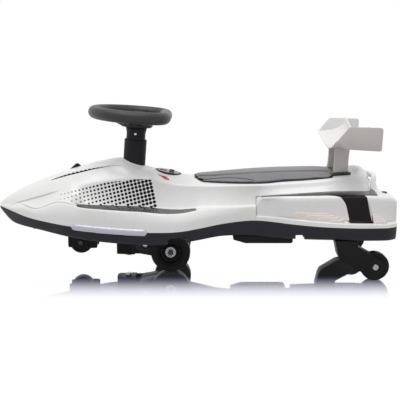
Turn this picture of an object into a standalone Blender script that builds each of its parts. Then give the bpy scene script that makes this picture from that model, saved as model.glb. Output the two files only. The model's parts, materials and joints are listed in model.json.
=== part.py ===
"""Electric ride-on swing car: moulded body, caster drive unit under the steering column.

The nose points along -X, the rider's left side along -Y and up is +Z. The floor is z = 0.
"""
import math
from bisect import bisect_right

import bmesh
import bpy
from mathutils import Matrix, Vector

for old in list(bpy.data.objects):
    bpy.data.objects.remove(old, do_unlink=True)

# Body, in metres; a place along the body is its distance behind the nose
BODY_LENGTH = 0.9985
BODY_WIDTH = 0.380
SHELL_WALL = 0.003
TRAY_WALL = 0.0035
WAIST = 0.660                  # joint between the front shell and the rear shell
COWL_END = 0.9560              # back of the seat cowl
FIT = 0.0003                   # gap between pieces that touch
SURFACE_FIT = 0.0006           # gap between a flat piece and the curved skin that it lies on
RUNNING = 0.0008               # gap round what turns
CAVITY_START = 0.045           # solid nose tip
CROWN_POWER = 2.2              # how square the deck's crown is
WALL_HOLLOW = 0.004            # how far the side walls of the hood are drawn in
RIB_PITCH = 0.0047
RIB_REACH = 0.0025             # each lower rib reaches this much further out
RIB_DEPTH = 0.0015             # how far the ribs' bodies go into the wall
RIB_COUNT = 4
RIB_TOP = 0.1655
FRONT_RIBS = (0.7475, 0.841)   # the top rib's two ends
FRONT_RIB_STEPS = (0.029, 0.0105)   # how much further back the ends of each lower rib are
BACK_RIBS = (0.944, 0.9595)
BACK_RIB_STEPS = (0.0012, 0.0048)
TAIL_GAP_HALF = 0.078          # open gap between the two pods behind the cowl
TAIL_GAP_FRONT = 0.9805        # its front on the centre line
TAIL_GAP_FLOOR = 0.1505
TAIL_BOW = 0.0115              # how far the gap's front and the handle bend forwards at the handle's feet

# Tray below the belt line
WELL_FRONT = 0.016             # steering axis to the front wall of the wheel well, at the floor
WELL_RADIUS = 0.190
WELL_SIDE = 0.0255             # belt to the well's side
WELL_CLEARANCE = 0.015         # above the drive wheels
ARCH_FRONT = 0.4395            # wheel arches in the tray's sides
ARCH_END = 0.488
ARCH_TOP = 0.114
ARCH_DEPTH = 0.045
NOTCH_FRONT = 0.756            # notches behind the battery box
NOTCH_END = 0.778
NOTCH_TOP = 0.111
NOTCH_DEPTH = 0.050

# Steering column
COLUMN_X = 0.3535              # steering axis at the height below
COLUMN_REF_HEIGHT = 0.300
COLUMN_RAKE = math.radians(4.5)
SLEEVE_RADIUS = 0.0285
SLEEVE_WALL = 0.0032
SLEEVE_DEPTH = 0.026           # how far the sleeve reaches below the deck
SLEEVE_BORE_DEPTH = 0.030      # wide bore that holds the collar
COLLAR_REVEAL = 0.029          # height of the collar that shows above the sleeve
COLLAR_DEPTH = 0.020
COLLAR_SCREW_DROP = 0.0135     # below the collar's top
SHAFT_RADIUS = 0.006
BUSH_RADIUS = 0.0105
BUSH_FLANGE = 0.0175
BUSH_FLANGE_THICKNESS = 0.002
BUSH_LENGTH = 0.009

# Steering wheel
RIM_HEIGHT = 0.394
RIM_RADIUS = 0.109
RIM_TUBE = 0.0155
RIM_FLAT = 0.072               # steering axis to the straight side of the rim
RIM_CORNER = 0.30              # angle of the arc that each rounded corner takes
HUB_RADIUS = 0.041
HUB_DEPTH = 0.034
SPOKE_ROOT = 0.042             # widths of a spoke
SPOKE_WAIST = 0.030
SPOKE_TIP = 0.034

# Drive unit
DRIVE_RADIUS = 0.050
DRIVE_WIDTH = 0.030
DRIVE_TRAIL = 0.093            # drive axle behind the steering axis
DRIVE_HUB_RADIUS = 0.034
FRONT_AXLE_RADIUS = 0.005
AXLE_HEAD_RADIUS = 0.0088
BEARING_RADIUS = 0.0132
NUT_LENGTH = 0.005
GEARBOX_WIDTH = 0.080
GEARBOX_RADIUS = 0.0280        # round ends of the housing
WHEEL_GAP = 0.0075             # gearbox to wheel
AXLE_BOSS_RADIUS = 0.0095
CHEEK = 0.0052                 # thickness of the fork's cheeks
CHEEK_RADIUS = 0.0275
CHEEK_BOLT_RADIUS = 0.0026
CHEEK_BOLT_HEAD = 0.0068
MOTOR_AHEAD = 0.0664           # drive axle to the motor's axis, along X
MOTOR_HEIGHT = 0.0640
MOTOR_RADIUS = 0.0185
MOTOR_LENGTH = 0.068
FORK_BOTTOM = 0.0315
FORK_BLOCK_AHEAD = 0.0295      # shaft to the block's front
FORK_BLOCK_TOP = 0.078
FORK_BLOCK_FRONT_WIDTH = 0.040
FORK_BLOCK_WIDTH = 0.052
FORK_BOSS_RADIUS = 0.0145

# Rear legs and wheels
REAR_RADIUS = 0.035
REAR_WIDTH = 0.024
REAR_AXLE_X = 0.949
REAR_WHEEL_INSET = 0.047       # wheel centre inside the body's side
REAR_HUB_RADIUS = 0.0215
REAR_BOLT_RADIUS = 0.004
REAR_BOLT_HEAD = 0.0070
LEG_CHEEK = 0.006
LEG_SIDE_GAP = 0.001
LEG_WHEEL_GAP = 0.004
LEG_TOP_FRONT = 0.849
LEG_TOP_LENGTH = 0.054
LEG_END_RADIUS = 0.0217
LEG_SLOPE = math.radians(-31.4)

# Guard wheel under the nose
GUARD_X = 0.210
GUARD_HEIGHT = 0.0625
GUARD_RADIUS = 0.030
GUARD_WIDTH = 0.030
GUARD_PIN_RADIUS = 0.004
GUARD_PIN_HEAD = 0.0068
GUARD_SIDE_GAP = 0.0015
GUARD_WHEEL_GAP = 0.0025
BRACKET_WALL = 0.004
BRACKET_FLANGE = 0.010

# Battery box under the seat
BOX_FRONT = 0.605
BOX_LENGTH = 0.150
BOX_HALF_WIDTH = 0.090
BOX_BOTTOM = 0.0775
BOX_WALL = 0.003
BOX_CHAMFER_LENGTH = 0.030
BOX_CHAMFER_HEIGHT = 0.009
BATTERY_LENGTH = 0.070
BATTERY_WIDTH = 0.101
BATTERY_HEIGHT = 0.090
BATTERY_GAP = 0.004
SOCKET_X = 0.652
SOCKET_HEIGHT = 0.119
SOCKET_RADIUS = 0.0075
SOCKET_LENGTH = 0.020
SOCKET_BORE = 0.0035
SOCKET_FLANGE = 0.0105

# Light strips on the belt line
LIGHT_FRONT = 0.2105
LIGHT_LENGTH = 0.184
LIGHT_HEIGHT = 0.0155
LIGHT_DEPTH = 0.005

# Trim plates
PLATE_THICKNESS = 0.002
FOOT_FRONT = 0.228
FOOT_END = 0.528
STRIP_FRONT = 0.672
STRIP_OVERLAP = 0.012
BAND_TOP_FRONT = 0.862
BAND_TOP_END = 0.920
BAND_FOOT_FRONT = 0.880
BAND_FOOT_END = 0.9425
BAND_INSET = 0.0065

# Seat and backrest
SEAT_FRONT = 0.508
SEAT_END = 0.850
SEAT_HALF_WIDTH = 0.082
SEAT_THICKNESS = 0.021
SEAT_CHANNEL = 0.0016          # depth of the stitched channels
SEAT_ROWS = 8
SEAT_CHANNEL_ROW = 4
FOOT_PLATE_END = 0.9015
FOOT_PLATE_HALF_WIDTH = 0.068
FOOT_PLATE_THICKNESS = 0.0085
POST_FRONT = 0.861
POST_LENGTH = 0.038
POST_WIDTH = 0.014
POST_SPACING = 0.090
WING_HALF_WIDTH = 0.144
WING_WALL = 0.004
WING_FRONT = 0.849
WING_LENGTH = 0.109
WING_TOP = 0.375
WING_CENTRE_HEIGHT = 0.3115
WING_RISE = 0.030
WING_SWEEP = 0.0105
WING_STEPS = 12
HANDLE_FRONT = 0.9617
HANDLE_THICKNESS = 0.013
HANDLE_HALF_WIDTH = 0.056
HANDLE_TOP = 0.2435
HANDLE_BAR = 0.012
HANDLE_LEG = 0.014
HANDLE_LEAN = 0.006

# Panel on the deck
PANEL_X = 0.440
PANEL_LENGTH = 0.066
PANEL_WIDTH = 0.052
PANEL_THICKNESS = 0.006
PANEL_RISE = 0.0015
BUTTON_RADIUS = 0.0065
BUTTON_RISE = 0.005
BUTTON_SPACING = 0.027
BUTTON_PLACE = 0.008           # panel centre to the buttons, towards the seat
SWITCH_LENGTH = 0.016
SWITCH_WIDTH = 0.011
SWITCH_PLACE = -0.014
SWITCH_PIVOT = -0.001
SWITCH_TIP = 0.003

# Pedal on the right footplate
PEDAL_FRONT = 0.325
PEDAL_LENGTH = 0.075
PEDAL_WIDTH = 0.042
PEDAL_THICKNESS = 0.005
PEDAL_SLOPE = math.radians(11)
PEDAL_PIN = 0.0018
PEDAL_PIN_HEIGHT = 0.0075
PEDAL_EAR = 0.003

NOSE = -BODY_LENGTH / 2
HALF = BODY_WIDTH / 2
COLLAR_TOP = RIM_HEIGHT - HUB_DEPTH
SLEEVE_TOP = COLLAR_TOP - COLLAR_REVEAL
REAR_TRACK_HALF = HALF - REAR_WHEEL_INSET
WHEEL_INNER = GEARBOX_WIDTH / 2 + WHEEL_GAP


# Outlines of the body, as (distance from the nose, value) pairs, drawn for a body of this length
OUTLINE_LENGTH = 0.9985
TOP_LINE = ((0.000, 0.1645), (0.015, 0.178), (0.049, 0.199), (0.117, 0.2297), (0.187, 0.2547),
            (0.262, 0.2740), (0.318, 0.2830), (0.345, 0.2770), (0.380, 0.2620), (0.417, 0.2515),
            (0.470, 0.2413), (0.512, 0.2360), (0.560, 0.2325), (0.600, 0.2312), (0.680, 0.2330),
            (0.750, 0.2370), (0.845, 0.2460), (0.902, 0.2485), (0.912, 0.2550), (0.926, 0.2617),
            (0.936, 0.2610), (0.946, 0.2520), (0.9560, 0.2390))
SHOULDER_LINE = ((0.000, 0.1630), (0.0235, 0.1655), (0.057, 0.1745), (0.097, 0.1900), (0.131, 0.2017),
                 (0.169, 0.2108), (0.205, 0.2178), (0.250, 0.2294), (0.300, 0.2360), (0.365, 0.2420),
                 (0.400, 0.2405), (0.418, 0.2340), (0.439, 0.2281), (0.470, 0.2232), (0.520, 0.2222),
                 (0.597, 0.2245), (0.683, 0.2272), (0.723, 0.2322), (0.785, 0.2359), (0.833, 0.2399),
                 (0.881, 0.2470), (0.915, 0.2500), (0.938, 0.2440), (0.9560, 0.2290))
SHOULDER_WIDTH = ((0.000, 0.0040), (0.0235, 0.0220), (0.057, 0.042), (0.097, 0.059), (0.131, 0.070),
                  (0.169, 0.080), (0.205, 0.085), (0.250, 0.085), (0.372, 0.075), (0.420, 0.070),
                  (0.470, 0.070), (0.520, 0.075), (0.600, 0.085), (0.700, 0.091), (0.880, 0.090),
                  (0.915, 0.084), (0.938, 0.062), (0.9560, 0.018))
# The crease along the nose runs back into the rounded lip of the footwell
LIP_LINE = ((0.000, 0.1600), (0.040, 0.1635), (0.082, 0.1690), (0.109, 0.1668), (0.137, 0.1743),
            (0.164, 0.1860), (0.183, 0.1905), (0.207, 0.1885), (0.224, 0.1845), (0.283, 0.1818),
            (0.343, 0.1784), (0.379, 0.1765), (0.426, 0.1715), (0.469, 0.1692), (0.498, 0.1708),
            (0.534, 0.1745), (0.600, 0.1750), (0.660, 0.1766))
LIP_WIDTH = ((0.000, 0.0065), (0.0235, 0.027), (0.040, 0.0405), (0.082, 0.0735), (0.109, 0.0925),
             (0.137, 0.105), (0.183, 0.127), (0.207, 0.141), (0.224, 0.152), (0.247, 0.164),
             (0.283, 0.171), (0.343, 0.175), (0.426, 0.172), (0.469, 0.161), (0.498, 0.146),
             (0.534, 0.124), (0.574, 0.112), (0.660, 0.100))
LEDGE_WIDTH = ((0.000, 0.001), (0.060, 0.004), (0.200, 0.0065), (0.218, 0.022), (0.235, 0.045),
               (0.275, 0.059), (0.343, 0.072), (0.379, 0.075), (0.435, 0.068), (0.485, 0.053),
               (0.528, 0.028), (0.560, 0.014), (0.600, 0.009), (0.660, 0.006))
LEDGE_DROP = ((0.000, -0.0008), (0.060, -0.003), (0.200, -0.002), (0.228, 0.003), (0.300, 0.004),
              (0.534, 0.004), (0.574, 0.0015), (0.660, 0.0006))

BELT_LINE = ((0.000, 0.1575), (0.034, 0.1530), (0.094, 0.1430), (0.148, 0.1390), (0.200, 0.1360),
             (0.282, 0.1315), (0.403, 0.1270), (0.450, 0.1270), (0.522, 0.1310), (0.660, 0.1390),
             (0.746, 0.1360), (0.848, 0.1330), (0.9985, 0.1350))
BELT_WIDTH = ((0.000, 0.007), (0.034, 0.042), (0.094, 0.092), (0.148, 0.127), (0.200, 0.155),
              (0.282, 0.177), (0.360, 0.187), (0.430, 0.190), (0.480, 0.181), (0.522, 0.159),
              (0.580, 0.124), (0.660, 0.105), (0.700, 0.117), (0.746, 0.136), (0.789, 0.150),
              (0.848, 0.162), (0.930, 0.173), (0.968, 0.173), (0.988, 0.166), (0.9985, 0.154))
FLOOR_LINE = ((0.000, 0.1530), (0.015, 0.1370), (0.045, 0.1200), (0.121, 0.1150), (0.199, 0.1075),
              (0.282, 0.0995), (0.403, 0.0950), (0.503, 0.0995), (0.571, 0.1025), (0.697, 0.0970),
              (0.846, 0.1005), (0.9985, 0.1020))

COWL_BASE_LINE = ((0.660, 0.1980), (0.719, 0.2054), (0.7925, 0.2106), (0.8785, 0.2148), (0.9560, 0.2120),
                  (0.970, 0.2118), (0.988, 0.2085), (0.9985, 0.2015))
COWL_BASE_WIDTH = ((0.660, 0.0872), (0.690, 0.100), (0.750, 0.108), (0.880, 0.110), (0.915, 0.105),
                   (0.935, 0.089), (0.944, 0.070), (0.950, 0.051), (0.9560, 0.022))
POD_TOP_LINE = ((0.660, 0.1960), (0.680, 0.1985), (0.740, 0.2026), (0.838, 0.2064), (0.930, 0.2088),
                (0.975, 0.2075), (0.990, 0.2045), (0.9985, 0.1985))
POD_TOP_WIDTH = ((0.660, 0.0965), (0.680, 0.1085), (0.740, 0.1225), (0.790, 0.130), (0.838, 0.135),
                 (0.930, 0.145), (0.975, 0.149), (0.9985, 0.138))
POD_FOOT_LINE = ((0.660, 0.1500), (0.747, 0.1486), (0.790, 0.1470), (0.872, 0.1440), (0.9985, 0.1450))


def scaled(x):
    """Distance from the nose, on the outlines' own length."""
    return (x - NOSE) * OUTLINE_LENGTH / BODY_LENGTH


def at(distance):
    """World x of a place that lies this far behind the nose."""
    return NOSE + distance * BODY_LENGTH / OUTLINE_LENGTH


def line(points, x):
    """Value of an outline at world x: a smooth curve that never overshoots its points."""
    d = min(max(scaled(x), points[0][0]), points[-1][0])
    knots = [p[0] for p in points]
    i = min(max(bisect_right(knots, d) - 1, 0), len(points) - 2)
    slopes = []
    for j in range(len(points) - 1):
        slopes.append((points[j + 1][1] - points[j][1]) / (points[j + 1][0] - points[j][0]))

    def tangent(j):
        if j == 0:
            return slopes[0]
        if j == len(points) - 1:
            return slopes[-1]
        if slopes[j - 1] * slopes[j] <= 0:
            return 0.0
        before = knots[j] - knots[j - 1]
        after = knots[j + 1] - knots[j]
        w1 = 2 * after + before
        w2 = after + 2 * before
        return (w1 + w2) / (w1 / slopes[j - 1] + w2 / slopes[j])

    step = knots[i + 1] - knots[i]
    t = (d - knots[i]) / step
    a = points[i][1]
    b = points[i + 1][1]
    return ((1 + 2 * t) * (1 - t) ** 2 * a + t * (1 - t) ** 2 * step * tangent(i)
            + t * t * (3 - 2 * t) * b + t * t * (t - 1) * step * tangent(i + 1))


def wide(points, x):
    """Half width from an outline that was drawn for a 0.38 m wide body."""
    return line(points, x) * BODY_WIDTH / 0.380


# Cross-sections, right half, from the centre line outwards and down
DECK_SHARES = (0, 0.4, 0.74, 1)


def deck_point(x, share):
    """Point of the crowned deck, share 0 at the centre and 1 at the shoulder."""
    y = wide(SHOULDER_WIDTH, x) * share
    low = line(SHOULDER_LINE, x)
    return (y, low + (line(TOP_LINE, x) - low) * (1 - share ** CROWN_POWER))


def shell_half(x):
    """Nose, hood, side wall, footwell and fender of the front shell."""
    points = [deck_point(x, share) for share in DECK_SHARES]
    lip = (wide(LIP_WIDTH, x), line(LIP_LINE, x))
    base = (lip[0] - line(LEDGE_WIDTH, x), lip[1] - line(LEDGE_DROP, x))
    shoulder = points[-1]
    hollow = WALL_HOLLOW * min(1, max(0, (scaled(x) - 0.02) / 0.1))
    for share in (0.28, 0.567):
        sag = hollow * 4 * share * (1 - share)
        points.append((shoulder[0] + (base[0] - shoulder[0]) * share - sag,
                       shoulder[1] + (base[1] - shoulder[1]) * share))
    points.append(base)
    rise = min(0.004, (lip[0] - base[0]) * 0.4)
    points.append((lip[0] - rise, base[1] + min(0, (lip[1] - base[1]) * 0.5)))
    points.append(lip)
    belt = (wide(BELT_WIDTH, x), line(BELT_LINE, x))
    for out, down in ((0.36, 0.08), (0.80, 0.43)):
        points.append((lip[0] + (belt[0] - lip[0]) * out, lip[1] + (belt[1] - lip[1]) * down))
    points.append(belt)
    return points


# Rows of that section: the wall's foot, the outer edge of the footplate, and the cowl's share of it
BASE_ROW = len(DECK_SHARES) + 2
LEDGE_ROW = BASE_ROW + 1
COWL_ROWS = BASE_ROW


def cowl_half(x):
    """Deck and side wall of the seat cowl."""
    points = [deck_point(x, share) for share in DECK_SHARES]
    shoulder = points[-1]
    base = (wide(COWL_BASE_WIDTH, x), line(COWL_BASE_LINE, x))
    points.append(((shoulder[0] + base[0]) / 2 - 0.0025, (shoulder[1] + base[1]) / 2))
    points.append(base)
    return points


def rear_half(x):
    """Covered deck, ledge, side recess and lip of the rear shell."""
    base = (wide(COWL_BASE_WIDTH, x), line(COWL_BASE_LINE, x) - FIT)
    top = (wide(POD_TOP_WIDTH, x), line(POD_TOP_LINE, x))
    foot_height = line(POD_FOOT_LINE, x)
    belt = (wide(BELT_WIDTH, x), line(BELT_LINE, x))
    lip_out = belt[0] - 0.0015
    inner = min(top[0] + 0.006, belt[0] - 0.004)
    return [(0, base[1]), (max(base[0] - 0.004, TAIL_GAP_HALF + 2 * FIT), base[1]), (top[0], top[1]),
            (top[0] + (inner - top[0]) * 0.75, top[1] - 0.005), (inner, top[1] - 0.016),
            (inner + 0.001, foot_height + 0.002), (lip_out - 0.0005, foot_height),
            (lip_out, foot_height - 0.002), belt]


def tray_half(x):
    """Side and floor of the tray, from the belt down and in to the centre."""
    top = (wide(BELT_WIDTH, x), line(BELT_LINE, x) - FIT)
    floor = line(FLOOR_LINE, x)
    depth = top[1] - floor
    inset = min(0.022, top[0] * 0.45)
    return [top, (top[0] - inset * 0.18, floor + depth * 0.42), (top[0] - inset * 0.45, floor + depth * 0.13),
            (top[0] - inset, floor), (0, floor)]


def moved_in(points, wall):
    """The same half section, one wall thickness further in."""
    normals = []
    for a, b in zip(points, points[1:]):
        along = Vector((b[0] - a[0], b[1] - a[1])).normalized()
        normals.append(Vector((along.y, -along.x)))
    result = []
    for i, point in enumerate(points):
        before = normals[max(i - 1, 0)]
        after = normals[min(i, len(normals) - 1)]
        middle = (before + after).normalized()
        reach = wall / max(middle.dot(after), 0.62)
        result.append((max(point[0] + middle.x * reach, 0), point[1] + middle.y * reach))
    result[0] = (0, points[0][1] - wall)
    return result


def stations(first, last, step, extra=()):
    """Places along X, evenly spaced, with the extra ones in place of those that lie close to them."""
    count = max(2, round((last - first) / step))
    even = [first + (last - first) * i / count for i in range(1, count)]
    kept = [x for x in extra if first < x < last]
    inner = [x for x in even if all(abs(x - place) > step * 0.4 for place in kept)]
    return [first] + sorted(inner + kept) + [last]


# Bodies from rings and outlines
def loft(bm, rings):
    """Closed body through rings of equal length, with flat ends."""
    rows = [[bm.verts.new(point) for point in ring] for ring in rings]
    count = len(rows[0])
    for row, following in zip(rows, rows[1:]):
        for i in range(count):
            j = (i + 1) % count
            bm.faces.new((row[i], row[j], following[j], following[i]))
    bm.faces.new(list(reversed(rows[0])))
    bm.faces.new(rows[-1])


def both_sides(half, x):
    """Closed ring in the plane at x from a right half section that starts on the centre line."""
    right = [Vector((x, y, z)) for y, z in half]
    left = [Vector((x, -y, z)) for y, z in reversed(half) if y > 1e-6]
    return right + left


def turned(bm, profile, axis, centre=(0, 0, 0), segments=24):
    """Body of revolution from a closed profile of (radius, distance along the axis) pairs."""
    frame = Vector((0, 0, 1)).rotation_difference(Vector(axis)).to_matrix()
    rows = []
    for radius, along in profile:
        row = []
        for i in range(segments if radius > 1e-7 else 1):
            angle = 2 * math.pi * (i + 0.5) / segments
            place = Vector((radius * math.cos(angle), radius * math.sin(angle), along))
            row.append(bm.verts.new(frame @ place + Vector(centre)))
        rows.append(row)
    for a, b in zip(rows, rows[1:] + rows[:1]):
        if len(a) == 1 and len(b) == 1:
            continue
        for i in range(segments):
            j = (i + 1) % segments
            if len(a) == 1:
                bm.faces.new((a[0], b[j], b[i]))
            elif len(b) == 1:
                bm.faces.new((a[i], a[j], b[0]))
            else:
                bm.faces.new((a[i], a[j], b[j], b[i]))


def filleted(corners, radius, steps=3):
    """Polygon outline with every corner rounded; a radius may be given per corner."""
    radii = radius if isinstance(radius, (list, tuple)) else [radius] * len(corners)
    result = []
    for i, corner in enumerate(corners):
        here = Vector(corner)
        before = Vector(corners[i - 1]) - here
        after = Vector(corners[(i + 1) % len(corners)]) - here
        if radii[i] <= 0:
            result.append(tuple(here))
            continue
        half_angle = before.angle(after) / 2
        cut = min(radii[i] / math.tan(half_angle), before.length * 0.45, after.length * 0.45)
        start = here + before.normalized() * cut
        end = here + after.normalized() * cut
        for k in range(steps + 1):
            t = k / steps
            point = start * (1 - t) ** 2 + here * 2 * t * (1 - t) + end * t * t
            result.append(tuple(point))
    return result


def prism(bm, outline, low, high, plane="XZ"):
    """Outline pushed from low to high, square to its plane."""
    place = {"XZ": lambda u, v, w: (u, w, v), "XY": lambda u, v, w: (u, v, w),
             "YZ": lambda u, v, w: (w, u, v)}[plane]
    loft(bm, [[place(u, v, level) for u, v in outline] for level in (low, high)])


def box(bm, low, high):
    """Rectangular block between two corners."""
    prism(bm, [(low[0], low[1]), (high[0], low[1]), (high[0], high[1]), (low[0], high[1])],
          low[2], high[2], "XY")


def span(side, a, b):
    """The stretch from a to b on one side of the centre plane, lower end first."""
    return sorted((side * a, side * b))


# Materials and objects
MATERIALS = {
    "shell_white": ((0.78, 0.78, 0.79), 0.28, 0.0),
    "tray_grey": ((0.045, 0.045, 0.05), 0.45, 0.0),
    "gloss_black": ((0.03, 0.03, 0.03), 0.12, 0.0),
    "chassis_black": ((0.012, 0.012, 0.013), 0.5, 0.0),
    "rim_grey": ((0.045, 0.045, 0.048), 0.55, 0.0),
    "tyre_black": ((0.01, 0.01, 0.01), 0.6, 0.0),
    "seat_leather": ((0.18, 0.17, 0.18), 0.55, 0.0),
    "steel": ((0.6, 0.6, 0.6), 0.3, 1.0),
    "light_lens": ((0.5, 0.5, 0.6), 0.2, 0.0),
    "panel_silver": ((0.35, 0.35, 0.37), 0.3, 0.0),
    "button_red": ((0.45, 0.03, 0.06), 0.4, 0.0),
    "battery_case": ((0.03, 0.05, 0.09), 0.5, 0.0),
}


def material(name):
    """Principled material of this name, made once."""
    if name in bpy.data.materials:
        return bpy.data.materials[name]
    colour, roughness, metallic = MATERIALS[name]
    made = bpy.data.materials.new(name)
    made.use_nodes = True
    shader = made.node_tree.nodes["Principled BSDF"]
    shader.inputs["Base Color"].default_value = (*colour, 1)
    shader.inputs["Roughness"].default_value = roughness
    shader.inputs["Metallic"].default_value = metallic
    return made


def piece(name, bm, finish, pivot=None, sharp=35):
    """Named object from a closed mesh, with its origin on the pivot's empty if it moves."""
    origin = pivot.location.copy() if pivot else Vector((0, 0, 0))
    bmesh.ops.remove_doubles(bm, verts=bm.verts, dist=1e-6)
    bmesh.ops.recalc_face_normals(bm, faces=bm.faces)
    bmesh.ops.translate(bm, verts=bm.verts, vec=-origin)
    mesh = bpy.data.meshes.new(name)
    bm.to_mesh(mesh)
    bm.free()
    mesh.shade_smooth()
    mesh.set_sharp_from_angle(angle=math.radians(sharp))
    mesh.materials.append(material(finish))
    made = bpy.data.objects.new(name, mesh)
    bpy.context.collection.objects.link(made)
    if pivot:
        made.parent = pivot
    return made


def cutter(name, bm):
    """Guide body that the build leaves out."""
    made = piece(name, bm, "steel")
    made.hide_render = True
    made.display_type = "WIRE"
    return made


def shaped(target, name, bm, operation):
    """Boolean of a target with a new guide body."""
    tool = cutter(name, bm)
    step = target.modifiers.new(name, "BOOLEAN")
    step.operation = operation
    step.object = tool
    step.solver = "EXACT"
    return tool


def cut(target, name, bm):
    return shaped(target, name, bm, "DIFFERENCE")


def joined(target, name, bm):
    return shaped(target, name, bm, "UNION")


def pivot_at(name, place, parent=None):
    """Empty on a joint's axis."""
    made = bpy.data.objects.new(name, None)
    made.location = place
    bpy.context.collection.objects.link(made)
    if parent:
        made.parent = parent
        made.matrix_parent_inverse = Matrix.Translation(-parent.location)
    return made


# Steering axis
COLUMN_AXIS = Vector((math.sin(COLUMN_RAKE), 0, math.cos(COLUMN_RAKE)))
COLUMN_POINT = Vector((at(COLUMN_X), 0, COLUMN_REF_HEIGHT))
DRIVE_AXLE_X = COLUMN_POINT.x + DRIVE_TRAIL


def on_column(height):
    """Point of the steering axis at this height."""
    return COLUMN_POINT + COLUMN_AXIS * ((height - COLUMN_REF_HEIGHT) / COLUMN_AXIS.z)


def column_part(bm, profile, height, segments=24):
    """Body turned about the steering axis; distances run along it from this height."""
    turned(bm, profile, COLUMN_AXIS, on_column(height), segments)


def tube(inner, outer, low, high):
    """Profile of a plain ring."""
    return [(inner, low), (outer, low), (outer, high), (inner, high)]


def rod(radius, low, high, chamfer=0.0):
    """Profile of a round bar with chamfered ends."""
    if chamfer <= 0:
        return [(0, low), (radius, low), (radius, high), (0, high)]
    return [(0, low), (radius - chamfer, low), (radius, low + chamfer), (radius, high - chamfer),
            (radius - chamfer, high), (0, high)]


def make_nut(name, radius, low, high, axis, centre, pivot):
    """Hexagon nut on a bar of this radius."""
    bm = bmesh.new()
    turned(bm, rod(radius * 1.05 + 0.0035, low, high), axis, centre, 6)
    nut = piece(name, bm, "steel", pivot)
    bm = bmesh.new()
    turned(bm, rod(radius + FIT, low - 0.005, high + 0.005), axis, centre, 16)
    cut(nut, name + "_bore", bm)


# Front shell and seat cowl in one moulding
WAIST_X = at(WAIST)
COWL_END_X = at(COWL_END)
SHELL_STATIONS = stations(NOSE, WAIST_X, 0.032, [NOSE + 0.006, NOSE + 0.018, at(CAVITY_START),
                                                 at(LIGHT_FRONT), at(FOOT_FRONT),
                                                 at(LIGHT_FRONT + LIGHT_LENGTH), at(FOOT_END)])
COWL_STATIONS = stations(WAIST_X, COWL_END_X, 0.033, [COWL_END_X - 0.060, COWL_END_X - 0.049,
                                                      COWL_END_X - 0.036, COWL_END_X - 0.026,
                                                      COWL_END_X - 0.018, COWL_END_X - 0.010,
                                                      COWL_END_X - 0.004])


def section_on_mesh(half, places, x):
    """Section at x as the flat-sided shell has it, between two of its stations."""
    i = min(max(bisect_right(places, x) - 1, 0), len(places) - 2)
    a, b = places[i], places[i + 1]
    t = min(max((x - a) / (b - a), 0), 1)
    first, second = half(a), half(b)
    return [(p[0] + (q[0] - p[0]) * t, p[1] + (q[1] - p[1]) * t) for p, q in zip(first, second)]


def side_at(points, height):
    """Half width where a piece of a section passes this height."""
    for a, b in zip(points, points[1:]):
        if min(a[1], b[1]) <= height <= max(a[1], b[1]):
            t = (height - a[1]) / (b[1] - a[1])
            return a[0] + (b[0] - a[0]) * t
    return points[-1][0]


def deck_at(x, y):
    """Height of the deck as its flat facets have it."""
    if x < WAIST_X:
        section = section_on_mesh(shell_half, SHELL_STATIONS, x)
    else:
        section = section_on_mesh(cowl_half, COWL_STATIONS, x)
    points = section[:len(DECK_SHARES)]
    for a, b in zip(points, points[1:]):
        if abs(y) <= b[0]:
            return a[1] + (b[1] - a[1]) * (abs(y) - a[0]) / (b[0] - a[0])
    return points[-1][1]


def stepped_shell(front, back):
    """Body with full sections in front of the waist and only their upper rows behind it."""
    bm = bmesh.new()
    right = [[bm.verts.new((x, y, z)) for y, z in half] for x, half in front + back]
    left = []
    for (x, half), row in zip(front + back, right):
        left.append([row[0]] + [bm.verts.new((x, -y, z)) for y, z in half[1:]])
    step = len(front) - 1
    for i in range(len(right) - 1):
        depth = len(right[i + 1]) if i >= step else len(right[i])
        for side in (right, left):
            for k in range(depth - 1):
                bm.faces.new((side[i][k], side[i][k + 1], side[i + 1][k + 1], side[i + 1][k]))
        bm.faces.new((right[i][depth - 1], left[i][depth - 1], left[i + 1][depth - 1],
                      right[i + 1][depth - 1]))
    bm.faces.new(right[0] + list(reversed(left[0][1:])))
    bm.faces.new(right[-1] + list(reversed(left[-1][1:])))
    low = COWL_ROWS - 1
    bm.faces.new(right[step][low:] + list(reversed(left[step][low:])))
    return bm


def outer_shell():
    front = [(x, shell_half(x)) for x in SHELL_STATIONS]
    back = [(x, cowl_half(x)) for x in COWL_STATIONS[1:]]
    return stepped_shell(front, back)


def inner_shell():
    """Hollow of the front shell, open at the belt and along the foot of the cowl."""
    places = [x for x in SHELL_STATIONS if at(CAVITY_START) < x < WAIST_X - SHELL_WALL * 2]
    front = [(x, inner_front(x)) for x in places + [WAIST_X - SHELL_WALL]]
    back = []
    last = COWL_END_X - 3 * SHELL_WALL
    for x in [x for x in COWL_STATIONS[1:] if x < last - SHELL_WALL] + [last]:
        half = moved_in(cowl_half(x), SHELL_WALL)
        half[-1] = (half[-1][0], half[-1][1] - 3 * SHELL_WALL)
        back.append((x, half))
    return stepped_shell(front, back)


def inner_front(x):
    outside = shell_half(x)
    del outside[LEDGE_ROW]
    half = moved_in(outside, SHELL_WALL)
    half[-1] = (half[-1][0], half[-1][1] - 3 * SHELL_WALL)
    return half


def make_body_shell():
    shell = piece("body_shell", outer_shell(), "shell_white")
    cut(shell, "shell_hollow", inner_shell())
    bm = bmesh.new()
    column_part(bm, rod(SLEEVE_RADIUS + FIT, -0.06, 0.06), line(TOP_LINE, at(COLUMN_X)))
    cut(shell, "shell_column_hole", bm)
    cut(shell, "shell_panel_hole", panel_body(FIT, -0.02, 0.02))


# Rear shell: covered deck, two side recesses with stepped ribs and the tail
TAIL_X = NOSE + BODY_LENGTH
REAR_STATIONS = stations(WAIST_X + FIT, TAIL_X, 0.034, COWL_STATIONS[-8:] + [TAIL_X - 0.012, TAIL_X - 0.004])


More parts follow.
